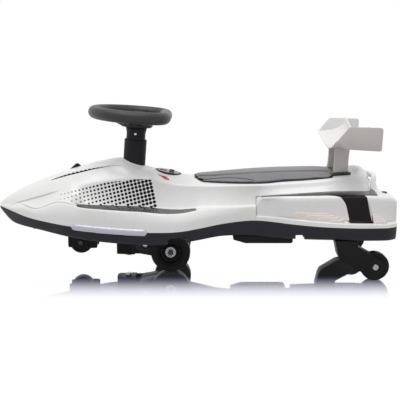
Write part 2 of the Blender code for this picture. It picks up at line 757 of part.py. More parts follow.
def rear_outer():
    bm = bmesh.new()
    loft(bm, [both_sides(rear_half(x), x) for x in REAR_STATIONS])
    return bm


def rear_inner():
    bm = bmesh.new()
    rings = []
    inner = [x for x in REAR_STATIONS if WAIST_X + 3 * SHELL_WALL < x < TAIL_X - 2 * SHELL_WALL]
    for x in [WAIST_X + SHELL_WALL] + inner + [TAIL_X - SHELL_WALL]:
        outside = rear_half(x)
        del outside[7], outside[3]
        half = moved_in(outside, SHELL_WALL)
        half[-1] = (half[-1][0], half[-1][1] - 3 * SHELL_WALL)
        rings.append(both_sides(half, x))
    loft(bm, rings)
    return bm


def recess_point(x, height):
    """Half width of the side recess of the rear shell at this height."""
    half = rear_half(x)
    a, b = half[4], half[5]
    share = min(max((a[1] - height) / (a[1] - b[1]), 0), 1)
    return a[0] + (b[0] - a[0]) * share


def rib(side, i, ends, steps):
    """One step of the ribs in a recess; each lower one starts further back and reaches further out."""
    high = RIB_TOP - RIB_PITCH * i
    first = at(ends[0] + steps[0] * i)
    last = at(ends[1] + steps[1] * i)
    reach = RIB_REACH * (i + 1)
    rings = []
    for x, share in ((first, 0.3), (first + 0.006, 1), ((first + last) / 2, 1), (last, 0.6)):
        low = line(POD_FOOT_LINE, x) + FIT
        outer = recess_point(x, high) + reach * share
        ring = [(recess_point(x, low) - RIB_DEPTH, low), (outer + FIT, low), (outer, high),
                (recess_point(x, high) - RIB_DEPTH, high)]
        rings.append([Vector((x, side * y, z)) for y, z in ring])
    bm = bmesh.new()
    loft(bm, rings)
    return bm


def tail_bow(y):
    """How far forwards the rear of the hull lies at this distance from its middle."""
    return TAIL_BOW * (y / HANDLE_HALF_WIDTH) ** 2


def tail_gap(margin, low, high, back):
    """Gap between the pods, as a body with a curved front."""
    half = TAIL_GAP_HALF + margin
    count = 8
    front = []
    for k in range(count + 1):
        y = -half + 2 * half * k / count
        front.append((at(TAIL_GAP_FRONT) - margin - tail_bow(y), y))
    bm = bmesh.new()
    prism(bm, front + [(back, half), (back, -half)], low, high, "XY")
    return bm


def make_rear_shell():
    shell = piece("rear_shell", rear_outer(), "shell_white")
    hollow = cut(shell, "rear_hollow", rear_inner())
    above = line(COWL_BASE_LINE, COWL_END_X) + 0.02
    cut(hollow, "tail_gap_walls", tail_gap(SHELL_WALL, TAIL_GAP_FLOOR - SHELL_WALL, above, TAIL_X + 0.01))
    cut(shell, "tail_gap_opening", tail_gap(0, TAIL_GAP_FLOOR, above, TAIL_X + 0.02))
    for side, name in ((-1, "left"), (1, "right")):
        for i in range(RIB_COUNT):
            joined(shell, f"front_rib_{name}_{i}", rib(side, i, FRONT_RIBS, FRONT_RIB_STEPS))
            joined(shell, f"back_rib_{name}_{i}", rib(side, i, BACK_RIBS, BACK_RIB_STEPS))


# Tray
def tray_ring(half, x):
    """Closed ring of a tray section that ends on the centre line."""
    right = [Vector((x, y, z)) for y, z in half]
    left = [Vector((x, -y, z)) for y, z in reversed(half[:-1])]
    return right + left


def tray_outer():
    bm = bmesh.new()
    loft(bm, [tray_ring(tray_half(x), x) for x in TRAY_STATIONS])
    return bm


def tray_inner():
    """Space inside the tray, open at the belt."""
    bm = bmesh.new()
    places = [x for x in TRAY_STATIONS if at(CAVITY_START) + 0.010 < x < TAIL_X - 2 * TRAY_WALL]
    rings = []
    for x in places + [TAIL_X - TRAY_WALL]:
        half = [(wide(BELT_WIDTH, x) - TRAY_WALL, line(BELT_LINE, x) + 0.01)]
        half += moved_in(tray_half(x), TRAY_WALL)[1:-1]
        half.append((0, line(FLOOR_LINE, x) + TRAY_WALL))
        rings.append(tray_ring(half, x))
    loft(bm, rings)
    return bm


TRAY_STATIONS = SHELL_STATIONS + REAR_STATIONS[1:]
WELL_TOP = 2 * DRIVE_RADIUS + WELL_CLEARANCE


def well(margin, low, roof):
    """Space swept by the drive wheels, as a body that stays between the tray's side walls."""
    bm = bmesh.new()
    axis_x = on_column(line(FLOOR_LINE, at(COLUMN_X))).x
    first = axis_x + WELL_FRONT - margin
    last = axis_x + WELL_RADIUS + margin
    rings = []
    for x in stations(first, last, 0.019):
        reach = math.sqrt(max((last - axis_x) ** 2 - (x - axis_x) ** 2, 0.001))
        y = min(reach, wide(BELT_WIDTH, x) - WELL_SIDE + margin * 0.4)
        floor = line(FLOOR_LINE, x) + low
        rings.append([Vector((x, -y, floor)), Vector((x, y, floor)),
                      Vector((x, y, roof)), Vector((x, -y, roof))])
    loft(bm, rings)
    return bm


def make_tray():
    tray = piece("chassis_tray", tray_outer(), "tray_grey")
    cut(tray, "tray_hollow", tray_inner())
    joined(tray, "tray_well_wall", well(TRAY_WALL, 0.001, WELL_TOP + TRAY_WALL))
    cut(tray, "tray_well", well(0, -0.02, WELL_TOP))
    bm = bmesh.new()
    below = 0.080
    outside = HALF + 0.01
    for side in (-1, 1):
        arch = filleted([(at(ARCH_FRONT), below), (at(ARCH_END), below), (at(ARCH_END), ARCH_TOP),
                         (at(ARCH_FRONT) + 0.007, ARCH_TOP - 0.002)], [0, 0, 0.003, 0.006], 2)
        prism(bm, arch, *span(side, wide(BELT_WIDTH, at(ARCH_END)) - ARCH_DEPTH, outside))
        notch = [(at(NOTCH_FRONT), below), (at(NOTCH_END), below), (at(NOTCH_END), NOTCH_TOP),
                 (at(NOTCH_FRONT), NOTCH_TOP)]
        prism(bm, notch, *span(side, wide(BELT_WIDTH, at(NOTCH_FRONT)) - NOTCH_DEPTH, outside))
    cut(tray, "tray_arches", bm)
    bm = bmesh.new()
    column_part(bm, rod(BUSH_RADIUS + FIT, -0.02, 0.02), line(FLOOR_LINE, at(COLUMN_X)), 16)
    bay_side = BOX_HALF_WIDTH - BOX_WALL
    box(bm, (at(BOX_FRONT) + BOX_WALL, -bay_side, below),
        (at(BOX_FRONT) + BOX_LENGTH - BOX_WALL, bay_side, line(FLOOR_LINE, at(BOX_FRONT)) + 0.015))
    cut(tray, "tray_openings", bm)
    bm = bmesh.new()
    turned(bm, rod(SOCKET_RADIUS + FIT, -0.03, 0.03), (0, 1, 0),
           (at(SOCKET_X), wide(BELT_WIDTH, at(SOCKET_X)), SOCKET_HEIGHT), 16)
    cut(tray, "tray_socket_hole", bm)


# Fixed pieces of the column
def make_column():
    """Fixed sleeve that stands on the deck and the flanged bush in the tray's floor."""
    deck = line(TOP_LINE, at(COLUMN_X))
    rise = (SLEEVE_TOP - deck) / COLUMN_AXIS.z
    bore = SHAFT_RADIUS + RUNNING
    wide_bore = SLEEVE_RADIUS - SLEEVE_WALL
    bm = bmesh.new()
    column_part(bm, [(bore, -SLEEVE_DEPTH), (SLEEVE_RADIUS, -SLEEVE_DEPTH), (SLEEVE_RADIUS, rise - 0.0015),
                     (SLEEVE_RADIUS - 0.0015, rise), (wide_bore, rise),
                     (wide_bore, rise - SLEEVE_BORE_DEPTH), (bore, rise - SLEEVE_BORE_DEPTH)], deck)
    piece("column_sleeve", bm, "chassis_black")
    floor = line(FLOOR_LINE, at(COLUMN_X))
    tilt = BUSH_FLANGE * math.sin(COLUMN_RAKE)
    bm = bmesh.new()
    column_part(bm, [(bore, -tilt - BUSH_FLANGE_THICKNESS), (BUSH_FLANGE, -tilt - BUSH_FLANGE_THICKNESS),
                     (BUSH_FLANGE, -tilt - FIT), (BUSH_RADIUS, -tilt - FIT), (BUSH_RADIUS, BUSH_LENGTH),
                     (bore, BUSH_LENGTH)], floor, 16)
    piece("column_bush", bm, "steel")


# Steering wheel, collar, shaft and the drive unit below
def rim_frame():
    """Matrix from the rim's own plane (X towards the rider) to the body."""
    turn = Matrix.Rotation(COLUMN_RAKE, 4, "Y")
    return Matrix.Translation(on_column(RIM_HEIGHT)) @ turn


def rim_path():
    """Centre line of the rim: an arc and a straight rider side with rounded corners."""
    corner = math.acos(RIM_FLAT / RIM_RADIUS)
    edge = RIM_RADIUS * math.sin(corner)
    first = corner + RIM_CORNER
    arc = 2 * math.pi - 2 * first
    arc_count = 23
    points = []
    for i in range(arc_count + 1):
        angle = first + arc * i / arc_count
        points.append(Vector((RIM_RADIUS * math.cos(angle), RIM_RADIUS * math.sin(angle), 0)))
    low = Vector((RIM_FLAT, -edge, 0))
    high = Vector((RIM_FLAT, edge, 0))
    run = Vector((0, (low - points[-1]).length, 0))
    for i in range(1, 5):
        points.append(bend(points[arc_count], low, low + run, i / 4))
    points.append((low + high) / 2)
    for i in range(4):
        points.append(bend(high - run, high, points[0], i / 4))
    return points


def bend(start, corner, end, t):
    """Point of the curve that rounds a corner."""
    return start * (1 - t) ** 2 + corner * 2 * t * (1 - t) + end * t * t


def rim_tube(radius):
    """Closed tube of this radius along the rim's centre line."""
    bm = bmesh.new()
    frame = rim_frame()
    path = rim_path()
    sides = 10
    rows = []
    for i, point in enumerate(path):
        along = (path[(i + 1) % len(path)] - path[i - 1]).normalized()
        out = along.cross(Vector((0, 0, 1))).normalized() * radius
        up = Vector((0, 0, radius))
        row = []
        for k in range(sides):
            angle = 2 * math.pi * k / sides
            row.append(bm.verts.new(frame @ (point + out * math.cos(angle) + up * math.sin(angle))))
        rows.append(row)
    for i, row in enumerate(rows):
        following = rows[(i + 1) % len(rows)]
        for k in range(sides):
            j = (k + 1) % sides
            bm.faces.new((row[k], row[j], following[j], following[k]))
    return bm


def make_hub(pivot):
    """Centre boss with three spokes that reach into the rim's inner side."""
    frame = rim_frame()
    bm = bmesh.new()
    turned(bm, [(0, -HUB_DEPTH), (0.0245, -HUB_DEPTH), (0.0265, 0.004 - HUB_DEPTH), (HUB_RADIUS, -0.016),
                (HUB_RADIUS, -0.002), (HUB_RADIUS - 0.006, 0.003), (0, 0.005)], (0, 0, 1), segments=20)
    bmesh.ops.transform(bm, matrix=frame, verts=bm.verts)
    hub = piece("steering_hub", bm, "chassis_black", pivot)
    bm = bmesh.new()
    root = HUB_RADIUS - 0.012
    tip = RIM_RADIUS - RIM_TUBE
    for angle in (math.pi, math.pi / 2, -math.pi / 2):
        turn = frame @ Matrix.Rotation(angle, 4, "Z")
        rings = []
        for distance, width, low, high in ((root, SPOKE_ROOT, -0.018, -0.002),
                                           ((root + tip) / 2 + 0.009, SPOKE_WAIST, -0.012, 0.0),
                                           (tip + 0.0004, SPOKE_TIP, -0.0045, 0.0035)):
            ring = [(-width / 2, low), (width / 2, low), (width / 2, high), (-width / 2, high)]
            rings.append([turn @ Vector((distance, v, w)) for v, w in ring])
        loft(bm, rings)
    joined(hub, "hub_spokes", bm)
    cut(hub, "hub_rim_seat", rim_tube(RIM_TUBE + FIT))


def make_steering(pivot):
    """Rim, hub, turning collar with its screw, and the shaft down to the fork."""
    piece("steering_rim", rim_tube(RIM_TUBE), "rim_grey", pivot, 60)
    make_hub(pivot)
    radius = SLEEVE_RADIUS - SLEEVE_WALL - RUNNING
    low = SLEEVE_TOP - COLLAR_DEPTH
    top = (COLLAR_TOP - low) / COLUMN_AXIS.z - FIT
    bm = bmesh.new()
    column_part(bm, tube(SHAFT_RADIUS + FIT, radius, 0, top), low)
    collar = piece("steering_collar", bm, "chassis_black", pivot)
    screw = on_column(COLLAR_TOP - COLLAR_SCREW_DROP)
    bm = bmesh.new()
    turned(bm, rod(0.0046, -radius - 0.0008, -radius + 0.006), (0, 1, 0), screw, 12)
    cut(collar, "collar_screw_hole", bm)
    bm = bmesh.new()
    turned(bm, rod(0.0043, -radius - 0.0012, -radius + 0.0055, 0.0006), (0, 1, 0), screw, 12)
    piece("collar_screw", bm, "steel", pivot)
    length = (COLLAR_TOP - FORK_BOTTOM) / COLUMN_AXIS.z
    bm = bmesh.new()
    column_part(bm, rod(SHAFT_RADIUS, -0.0065, length - FIT, 0.0008), FORK_BOTTOM, 16)
    piece("steering_shaft", bm, "steel", pivot)
    tilt = (SHAFT_RADIUS + 0.004) * math.sin(COLUMN_RAKE)
    make_nut("shaft_nut", SHAFT_RADIUS, -FIT - tilt - NUT_LENGTH, -FIT - tilt, COLUMN_AXIS,
             on_column(FORK_BOTTOM), pivot)


def make_fork(pivot):
    """Block round the shaft foot, a bridge and two round-ended cheeks beside the gearbox."""
    floor = line(FLOOR_LINE, at(COLUMN_X))
    boss_top = (floor - 0.0045 - FORK_BOTTOM) / COLUMN_AXIS.z
    motor_x = DRIVE_AXLE_X - MOTOR_AHEAD
    inside = GEARBOX_WIDTH / 2 + FIT
    outside = inside + CHEEK
    back = motor_x - GEARBOX_RADIUS - 0.0012
    front = on_column(FORK_BOTTOM).x - FORK_BLOCK_AHEAD
    outline = filleted([(front, -FORK_BLOCK_FRONT_WIDTH / 2), (back, -FORK_BLOCK_WIDTH / 2),
                        (back, FORK_BLOCK_WIDTH / 2),
                        (front, FORK_BLOCK_FRONT_WIDTH / 2)], [0.008, 0, 0, 0.008])
    bm = bmesh.new()
    prism(bm, outline, FORK_BOTTOM, FORK_BLOCK_TOP, "XY")
    fork = piece("steering_fork", bm, "chassis_black", pivot)
    bm = bmesh.new()
    column_part(bm, rod(FORK_BOSS_RADIUS, 0.020, boss_top), FORK_BOTTOM, 20)
    joined(fork, "fork_boss", bm)
    bm = bmesh.new()
    box(bm, (back - 0.006, -outside, FORK_BOTTOM + 0.006), (back - 0.0005, outside, FORK_BLOCK_TOP + 0.002))
    joined(fork, "fork_bridge", bm)
    outline = [(back - 0.004, FORK_BOTTOM + 0.008)]
    for k in range(12):
        angle = math.radians(-115 + 230 * k / 11)
        outline.append((motor_x + CHEEK_RADIUS * math.cos(angle),
                        MOTOR_HEIGHT + CHEEK_RADIUS * math.sin(angle)))
    outline.append((back - 0.004, FORK_BLOCK_TOP))
    bm = bmesh.new()
    for side in (-1, 1):
        prism(bm, outline, *span(side, inside, outside))
    joined(fork, "fork_cheeks", bm)
    bm = bmesh.new()
    turned(bm, rod(CHEEK_BOLT_RADIUS + 2 * FIT, -0.06, 0.06), (0, 1, 0), (motor_x, 0, MOTOR_HEIGHT), 12)
    column_part(bm, rod(SHAFT_RADIUS + FIT, -0.03, 0.10), FORK_BOTTOM, 16)
    cut(fork, "fork_bores", bm)


def gearbox_outline():
    """Two round ends and the straight runs between them, seen from the side."""
    axle = Vector((DRIVE_AXLE_X, DRIVE_RADIUS))
    motor = Vector((DRIVE_AXLE_X - MOTOR_AHEAD, MOTOR_HEIGHT))
    tilt = math.atan2(motor.y - axle.y, axle.x - motor.x)
    outline = []
    steps = 8
    for centre, start in ((motor, math.pi / 2 - tilt), (axle, -math.pi / 2 - tilt)):
        for k in range(steps + 1):
            angle = start + math.pi * k / steps
            outline.append((centre.x + GEARBOX_RADIUS * math.cos(angle),
                            centre.y + GEARBOX_RADIUS * math.sin(angle)))
    return outline


def make_gearbox(pivot):
    """Two halves split on the centre plane, with the motor lying across between them."""
    axle = (DRIVE_AXLE_X, 0, DRIVE_RADIUS)
    motor = (DRIVE_AXLE_X - MOTOR_AHEAD, 0, MOTOR_HEIGHT)
    half = GEARBOX_WIDTH / 2
    outer = half + FIT + CHEEK
    bolt_depth = (GEARBOX_WIDTH - MOTOR_LENGTH) / 2 - 2 * FIT
    for side, name in ((-1, "left"), (1, "right")):
        bm = bmesh.new()
        prism(bm, gearbox_outline(), *span(side, FIT / 2, half))
        housing = piece("gearbox_" + name, bm, "chassis_black", pivot)
        bm = bmesh.new()
        turned(bm, rod(AXLE_BOSS_RADIUS, *span(side, half - 0.004, WHEEL_INNER + 0.0018)),
               (0, 1, 0), axle, 20)
        joined(housing, "axle_boss_" + name, bm)
        bm = bmesh.new()
        reach = MOTOR_LENGTH / 2 + FIT
        turned(bm, rod(MOTOR_RADIUS + FIT, -reach, reach), (0, 1, 0), motor, 20)
        cut(housing, "motor_bay_" + name, bm)
        bm = bmesh.new()
        turned(bm, rod(FRONT_AXLE_RADIUS + FIT, -0.06, 0.06), (0, 1, 0), axle, 16)
        cut(housing, "axle_bore_" + name, bm)
        bm = bmesh.new()
        turned(bm, rod(CHEEK_BOLT_RADIUS + 2 * FIT, *span(side, half - bolt_depth, half + 0.01)),
               (0, 1, 0), motor, 12)
        cut(housing, "bolt_bore_" + name, bm)
        inner_end = side * (half - bolt_depth + FIT)
        seat = side * (outer + FIT)
        top = side * (outer + 0.003)
        bm = bmesh.new()
        turned(bm, [(0, inner_end), (CHEEK_BOLT_RADIUS, inner_end), (CHEEK_BOLT_RADIUS, seat),
                    (CHEEK_BOLT_HEAD, seat), (CHEEK_BOLT_HEAD, top), (0, top)], (0, 1, 0), motor, 12)
        piece("cheek_bolt_" + name, bm, "steel", pivot)
    bm = bmesh.new()
    turned(bm, rod(MOTOR_RADIUS, -MOTOR_LENGTH / 2, MOTOR_LENGTH / 2, 0.002), (0, 1, 0), motor, 20)
    piece("drive_motor", bm, "steel", pivot)


def wheel_profile(inner, outer, low, high, rounding):
    """Ring with rounded tread edges."""
    return [(inner, low + rounding * 0.4), (outer - rounding, low),
            (outer - rounding * 0.3, low + rounding * 0.3), (outer, low + rounding),
            (outer, high - rounding), (outer - rounding * 0.3, high - rounding * 0.3),
            (outer - rounding, high), (inner, high - rounding * 0.4)]


def on_flats(radius, segments):
    """Corner radius of a faceted wheel whose flats lie at this radius."""
    return radius / math.cos(math.pi / segments)


def make_drive_wheel(side, name, parent):
    """Tyre, dished hub and bearing of one driven wheel."""
    centre = Vector((DRIVE_AXLE_X, 0, DRIVE_RADIUS))
    middle = Vector((0, side * (WHEEL_INNER + DRIVE_WIDTH / 2), 0))
    pivot = pivot_at("drive_wheel_axis_" + name, centre + middle, parent)
    inner, outer = WHEEL_INNER, WHEEL_INNER + DRIVE_WIDTH
    segments = 24
    bm = bmesh.new()
    turned(bm, wheel_profile(DRIVE_HUB_RADIUS + FIT, on_flats(DRIVE_RADIUS, segments),
                             *span(side, inner, outer), 0.006), (0, 1, 0), centre, segments)
    piece("drive_tyre_" + name, bm, "tyre_black", pivot)
    seat = BEARING_RADIUS + FIT
    face = outer - 0.0026
    dish = face - 0.006
    rim_in = DRIVE_HUB_RADIUS - 0.005
    profile = [(seat, inner + 0.0026), (DRIVE_HUB_RADIUS, inner + 0.0026), (DRIVE_HUB_RADIUS, face),
               (rim_in, face), (rim_in - 0.003, dish),
               (seat + 0.004, dish), (seat + 0.003, face), (seat, face)]
    bm = bmesh.new()
    turned(bm, [(radius, side * along) for radius, along in profile], (0, 1, 0), centre, segments)
    piece("drive_hub_" + name, bm, "chassis_black", pivot)
    bm = bmesh.new()
    turned(bm, tube(FRONT_AXLE_RADIUS + RUNNING, BEARING_RADIUS, *span(side, inner + 0.0026, face)),
           (0, 1, 0), centre, 16)
    piece("drive_bearing_" + name, bm, "steel", pivot)


def make_front_axle(parent):
    """Fixed axle with a head on the left and a nut on the right."""
    reach = WHEEL_INNER + DRIVE_WIDTH + 0.0006
    end = reach + NUT_LENGTH
    centre = (DRIVE_AXLE_X, 0, DRIVE_RADIUS)
    bm = bmesh.new()
    turned(bm, [(0, -end), (AXLE_HEAD_RADIUS - 0.0006, -end), (AXLE_HEAD_RADIUS, -end + 0.0006),
                (AXLE_HEAD_RADIUS, -reach), (FRONT_AXLE_RADIUS, -reach), (FRONT_AXLE_RADIUS, end + 0.0004),
                (FRONT_AXLE_RADIUS - 0.0008, end + 0.0012), (0, end + 0.0012)], (0, 1, 0), centre, 16)
    piece("front_axle", bm, "steel", parent)
    make_nut("axle_nut", FRONT_AXLE_RADIUS, reach, end, (0, 1, 0), centre, parent)


# Guard wheel under the nose
def make_guard():
    """Bracket with two ears under the nose and a small wheel on a pin between them."""
    x = at(GUARD_X)
    front = x - 0.033
    back = x + 0.043
    centre = (x, 0, GUARD_HEIGHT)
    inner = GUARD_WIDTH / 2 + GUARD_SIDE_GAP
    outer = inner + BRACKET_WALL
    roof = min(line(FLOOR_LINE, front), line(FLOOR_LINE, back)) - FIT
    ear = filleted([(front, 0.0495), (x - 0.012, 0.0495), (x + 0.020, 0.0470), (back, 0.0480), (back, roof),
                    (front, roof)], [0.004, 0.004, 0.004, 0.004, 0, 0], 2)
    bm = bmesh.new()
    for side in (-1, 1):
        prism(bm, ear, *span(side, inner, outer))
    bracket = piece("guard_bracket", bm, "chassis_black")
    flange = [(front - 0.003, roof - 0.006), (back + 0.003, roof - 0.006)]
    places = stations(front - 0.003, back + 0.003, 0.014)
    flange += [(place, line(FLOOR_LINE, place) - SURFACE_FIT) for place in reversed(places)]
    bm = bmesh.new()
    prism(bm, flange, -outer - BRACKET_FLANGE, outer + BRACKET_FLANGE)
    joined(bracket, "guard_flange", bm)
    bm = bmesh.new()
    turned(bm, rod(GUARD_PIN_RADIUS + FIT, -0.04, 0.04), (0, 1, 0), centre, 12)
    turned(bm, rod(GUARD_RADIUS + GUARD_WHEEL_GAP, -inner + 0.0002, inner - 0.0002), (0, 1, 0), centre, 20)
    cut(bracket, "guard_bores", bm)
    bm = bmesh.new()
    turned(bm, [(0, -outer - 0.0035), (GUARD_PIN_HEAD, -outer - 0.0035), (GUARD_PIN_HEAD, -outer - FIT),
                (GUARD_PIN_RADIUS, -outer - FIT), (GUARD_PIN_RADIUS, outer + 0.002), (0, outer + 0.002)],
           (0, 1, 0), centre, 12)
    piece("guard_axle", bm, "steel")
    pivot = pivot_at("guard_wheel_axis", centre)
    bm = bmesh.new()
    turned(bm, wheel_profile(GUARD_PIN_RADIUS + RUNNING, GUARD_RADIUS,
                             -GUARD_WIDTH / 2, GUARD_WIDTH / 2, 0.005),
           (0, 1, 0), centre, 20)
    piece("guard_wheel", bm, "tyre_black", pivot)


# Rear legs, each with a wheel between two cheeks
def leg_outline():
    """Side of a rear leg: a block under the floor that bends back to a round end at the axle."""
    front = at(LEG_TOP_FRONT)
    back = front + LEG_TOP_LENGTH
    roof = line(FLOOR_LINE, front) - SURFACE_FIT - FIT
    axle = Vector((at(REAR_AXLE_X), REAR_RADIUS))
    down = Vector((math.cos(LEG_SLOPE), math.sin(LEG_SLOPE)))
    square = Vector((-down.y, down.x))
    upper_bend = Vector((back + 0.0015, roof - 0.014))
    lower_bend = Vector((front + 0.0143, roof - 0.0475))
    lower_run = (axle - lower_bend).dot(down) - 0.030
    points = [(front, roof), (front + 0.0075, roof - 0.0348), tuple(lower_bend)]
    points.append(tuple(lower_bend + down * lower_run))
    for k in range(9):
        angle = math.radians(-140 + 205 * k / 8)
        points.append((axle.x + LEG_END_RADIUS * math.cos(angle), axle.y + LEG_END_RADIUS * math.sin(angle)))
    touch = axle + square * LEG_END_RADIUS
    upper_run = (touch - upper_bend).dot(down)
    points.append(tuple(touch - down * upper_run * 0.5))
    points.append(tuple(upper_bend))
    points.append((back, roof))
    return points


def make_rear_leg(side, name):
    """Leg with a slot for its wheel, the wheel's bolt, and the wheel itself."""
    slot = REAR_WIDTH / 2 + LEG_SIDE_GAP
    out = slot + LEG_CHEEK
    centre = (at(REAR_AXLE_X), side * REAR_TRACK_HALF, REAR_RADIUS)
    bm = bmesh.new()
    prism(bm, leg_outline(), *span(side, REAR_TRACK_HALF - out, REAR_TRACK_HALF + out))
    leg = piece("rear_leg_" + name, bm, "chassis_black")
    bm = bmesh.new()
    turned(bm, rod(REAR_RADIUS + LEG_WHEEL_GAP, -slot, slot), (0, 1, 0), centre, 20)
    cut(leg, "leg_slot_" + name, bm)
    bm = bmesh.new()
    turned(bm, rod(REAR_BOLT_RADIUS + FIT, -0.03, 0.03), (0, 1, 0), centre, 12)
    cut(leg, "leg_bore_" + name, bm)
    bm = bmesh.new()
    turned(bm, [(0, side * (out + 0.0040)), (REAR_BOLT_HEAD, side * (out + 0.0040)),
                (REAR_BOLT_HEAD, side * (out + FIT)), (REAR_BOLT_RADIUS, side * (out + FIT)),
                (REAR_BOLT_RADIUS, -side * (out + 0.0045)), (0, -side * (out + 0.0045))],
                (0, 1, 0), centre, 12)
    piece("rear_bolt_" + name, bm, "steel")
    pivot = pivot_at("rear_wheel_axis_" + name, centre)
    half = REAR_WIDTH / 2
    segments = 20
    bm = bmesh.new()
    turned(bm, wheel_profile(REAR_HUB_RADIUS + FIT, on_flats(REAR_RADIUS, segments), -half, half, 0.005),
           (0, 1, 0), centre, segments)
    piece("rear_tyre_" + name, bm, "tyre_black", pivot)
    bore = REAR_BOLT_RADIUS + RUNNING
    face = half - 0.0006
    web = half - 0.004
    boss = [(bore, -face), (0.0085, -face), (0.0100, -web)]
    rim = [(REAR_HUB_RADIUS - 0.003, -web), (REAR_HUB_RADIUS, 0.002 - half)]
    profile = boss + rim
    profile += [(radius, -along) for radius, along in reversed(profile)]
    bm = bmesh.new()
    turned(bm, profile, (0, 1, 0), centre, segments)
    piece("rear_hub_" + name, bm, "chassis_black", pivot)


# Trim plates that lie on the shells
def row_outward(segment, i):
    """Direction square to a section at one of its points, long enough to keep a plate's thickness."""
    directions = []
    for a, b in zip(segment, segment[1:]):
        along = Vector((b[0] - a[0], b[1] - a[1])).normalized()
        directions.append(Vector((-along.y, along.x)))
    before = directions[max(i - 1, 0)]
    after = directions[min(i, len(directions) - 1)]
    out = (before + after).normalized()
    return out / max(out.dot(after), 0.6)


def skin(half, places, rows, edges, side, inset, lift):
    """Thin plate on rows of a shell's section; edges are its front and back on the first and last row."""
    bm = bmesh.new()
    first_row, last_row = rows
    (front_a, back_a), (front_b, back_b) = edges
    spans = 6
    sheets = ([], [])
    for row in range(first_row, last_row + 1):
        share = (row - first_row) / (last_row - first_row)
        front = front_a + (front_b - front_a) * share
        back = back_a + (back_b - back_a) * share
        inner = [front + (back - front) * k / spans for k in range(1, spans)]
        if front_a == front_b:
            inner = [x for x in places if front + 0.002 < x < back - 0.002]
        lines = ([], [])
        for x in [front] + inner + [back]:
            segment = section_on_mesh(half, places, x)[first_row:last_row + 1]
            here = Vector(segment[row - first_row])
            out = row_outward(segment, row - first_row)
            if row == first_row:
                here += (Vector(segment[1]) - here).normalized() * inset[0]
            if row == last_row:
                here += (Vector(segment[-2]) - here).normalized() * inset[1]
            for points, height in zip(lines, (lift, lift + PLATE_THICKNESS)):
                place = here + out * height
                points.append(bm.verts.new((x, side * place.x, place.y)))
        for sheet, points in zip(sheets, lines):
            sheet.append(points)
    low, high = sheets
    last = len(low) - 1
    width = len(low[0])
    for r in range(last):
        for sheet in sheets:
            for k in range(width - 1):
                bm.faces.new((sheet[r][k], sheet[r][k + 1], sheet[r + 1][k + 1], sheet[r + 1][k]))
        for k in (0, width - 1):
            bm.faces.new((low[r][k], low[r + 1][k], high[r + 1][k], high[r][k]))
    for r in (0, last):
        for k in range(width - 1):
            bm.faces.new((low[r][k], low[r][k + 1], high[r][k + 1], high[r][k]))
    return bm


def make_trim(side, name):
    """Footplate, the band across the rear recess with its strip along the ledge, and the light strip."""
    foot = (at(FOOT_FRONT), at(FOOT_END))
    piece("foot_plate_" + name, skin(shell_half, SHELL_STATIONS, (BASE_ROW, LEDGE_ROW), (foot, foot), side,
                                     (0.003, 0.0015), FIT), "gloss_black")
    top = (at(BAND_TOP_FRONT), at(BAND_TOP_END))
    bottom = (at(BAND_FOOT_FRONT), at(BAND_FOOT_END))
    ledge = (at(STRIP_FRONT), top[0] + STRIP_OVERLAP)
    inset = (BAND_INSET, 0.001)
    lift = 2 * SURFACE_FIT
    band = piece("side_band_" + name, skin(rear_half, REAR_STATIONS, (1, 5), (top, bottom), side,
                                           inset, lift), "gloss_black")
    joined(band, "ledge_strip_" + name, skin(rear_half, REAR_STATIONS, (1, 2), (ledge, ledge), side,
                                             inset, lift))
    rings = []
    for x, full in light_places(at(LIGHT_FRONT), at(LIGHT_FRONT + LIGHT_LENGTH)):
        shell = section_on_mesh(shell_half, SHELL_STATIONS, x)
        tray = section_on_mesh(tray_half, TRAY_STATIONS, x)
        belt = shell[-1]
        top = belt[1] + LIGHT_HEIGHT / 2 * full
        bottom = belt[1] - LIGHT_HEIGHT / 2 * full
        above = side_at(shell[-3:], top)
        below = side_at(tray[:2], bottom)
        front = max(above, belt[0], below) + LIGHT_DEPTH
        ring = [(above + FIT, top), (belt[0] + FIT, belt[1]), (below + FIT, bottom), (front - 0.0015, bottom),
                (front, bottom * 0.75 + belt[1] * 0.25), (front, top * 0.75 + belt[1] * 0.25),
                (front - 0.0015, top)]
        rings.append([Vector((x, side * y, z)) for y, z in ring])
    bm = bmesh.new()
    loft(bm, rings)
    piece("light_strip_" + name, bm, "light_lens")


def light_places(first, last):
    """Stations of the light strip with the share of its full height, for its round ends."""
    round_off = LIGHT_HEIGHT / 2
    ends = [(0.0, 0.35), (0.15, 0.62), (0.5, 0.9), (1.0, 1.0)]
    inner = [x for x in SHELL_STATIONS if first + round_off + 0.004 < x < last - round_off - 0.004]
    places = [(first + round_off * t, share) for t, share in ends]
    places += [(x, 1.0) for x in inner]
    places += [(last - round_off * t, share) for t, share in reversed(ends)]
    return places


# Deck fittings
def make_fin():
    """Low dark fin on the hood."""
    bm = bmesh.new()
    rings = []
    for distance, half, height in ((0.186, 0.0030, 0.0012), (0.195, 0.0050, 0.0060), (0.202, 0.0050, 0.0092),
                                   (0.207, 0.0045, 0.0072), (0.212, 0.0030, 0.0010)):
        x = at(distance)
        low = section_on_mesh(shell_half, SHELL_STATIONS, x)[0][1] + FIT
        ring = [(-half, low), (half, low), (half / 2, low + height), (-half / 2, low + height)]
        rings.append([Vector((x, y, z)) for y, z in ring])
    loft(bm, rings)
    piece("hood_fin", bm, "chassis_black")


def panel_frame():
    """Matrix of the panel: its own Z square to the sloping deck, X towards the seat."""
    x = at(PANEL_X)
    reach = PANEL_LENGTH / 2
    slope = (line(TOP_LINE, x + reach) - line(TOP_LINE, x - reach)) / (2 * reach)
    angle = -math.atan(slope)
    height = line(TOP_LINE, x)
    return Matrix.Translation((x, 0, height)) @ Matrix.Rotation(angle, 4, "Y")


def oval(length, width):
    count = 24
    return [(length / 2 * math.cos(2 * math.pi * k / count), width / 2 * math.sin(2 * math.pi * k / count))
            for k in range(count)]


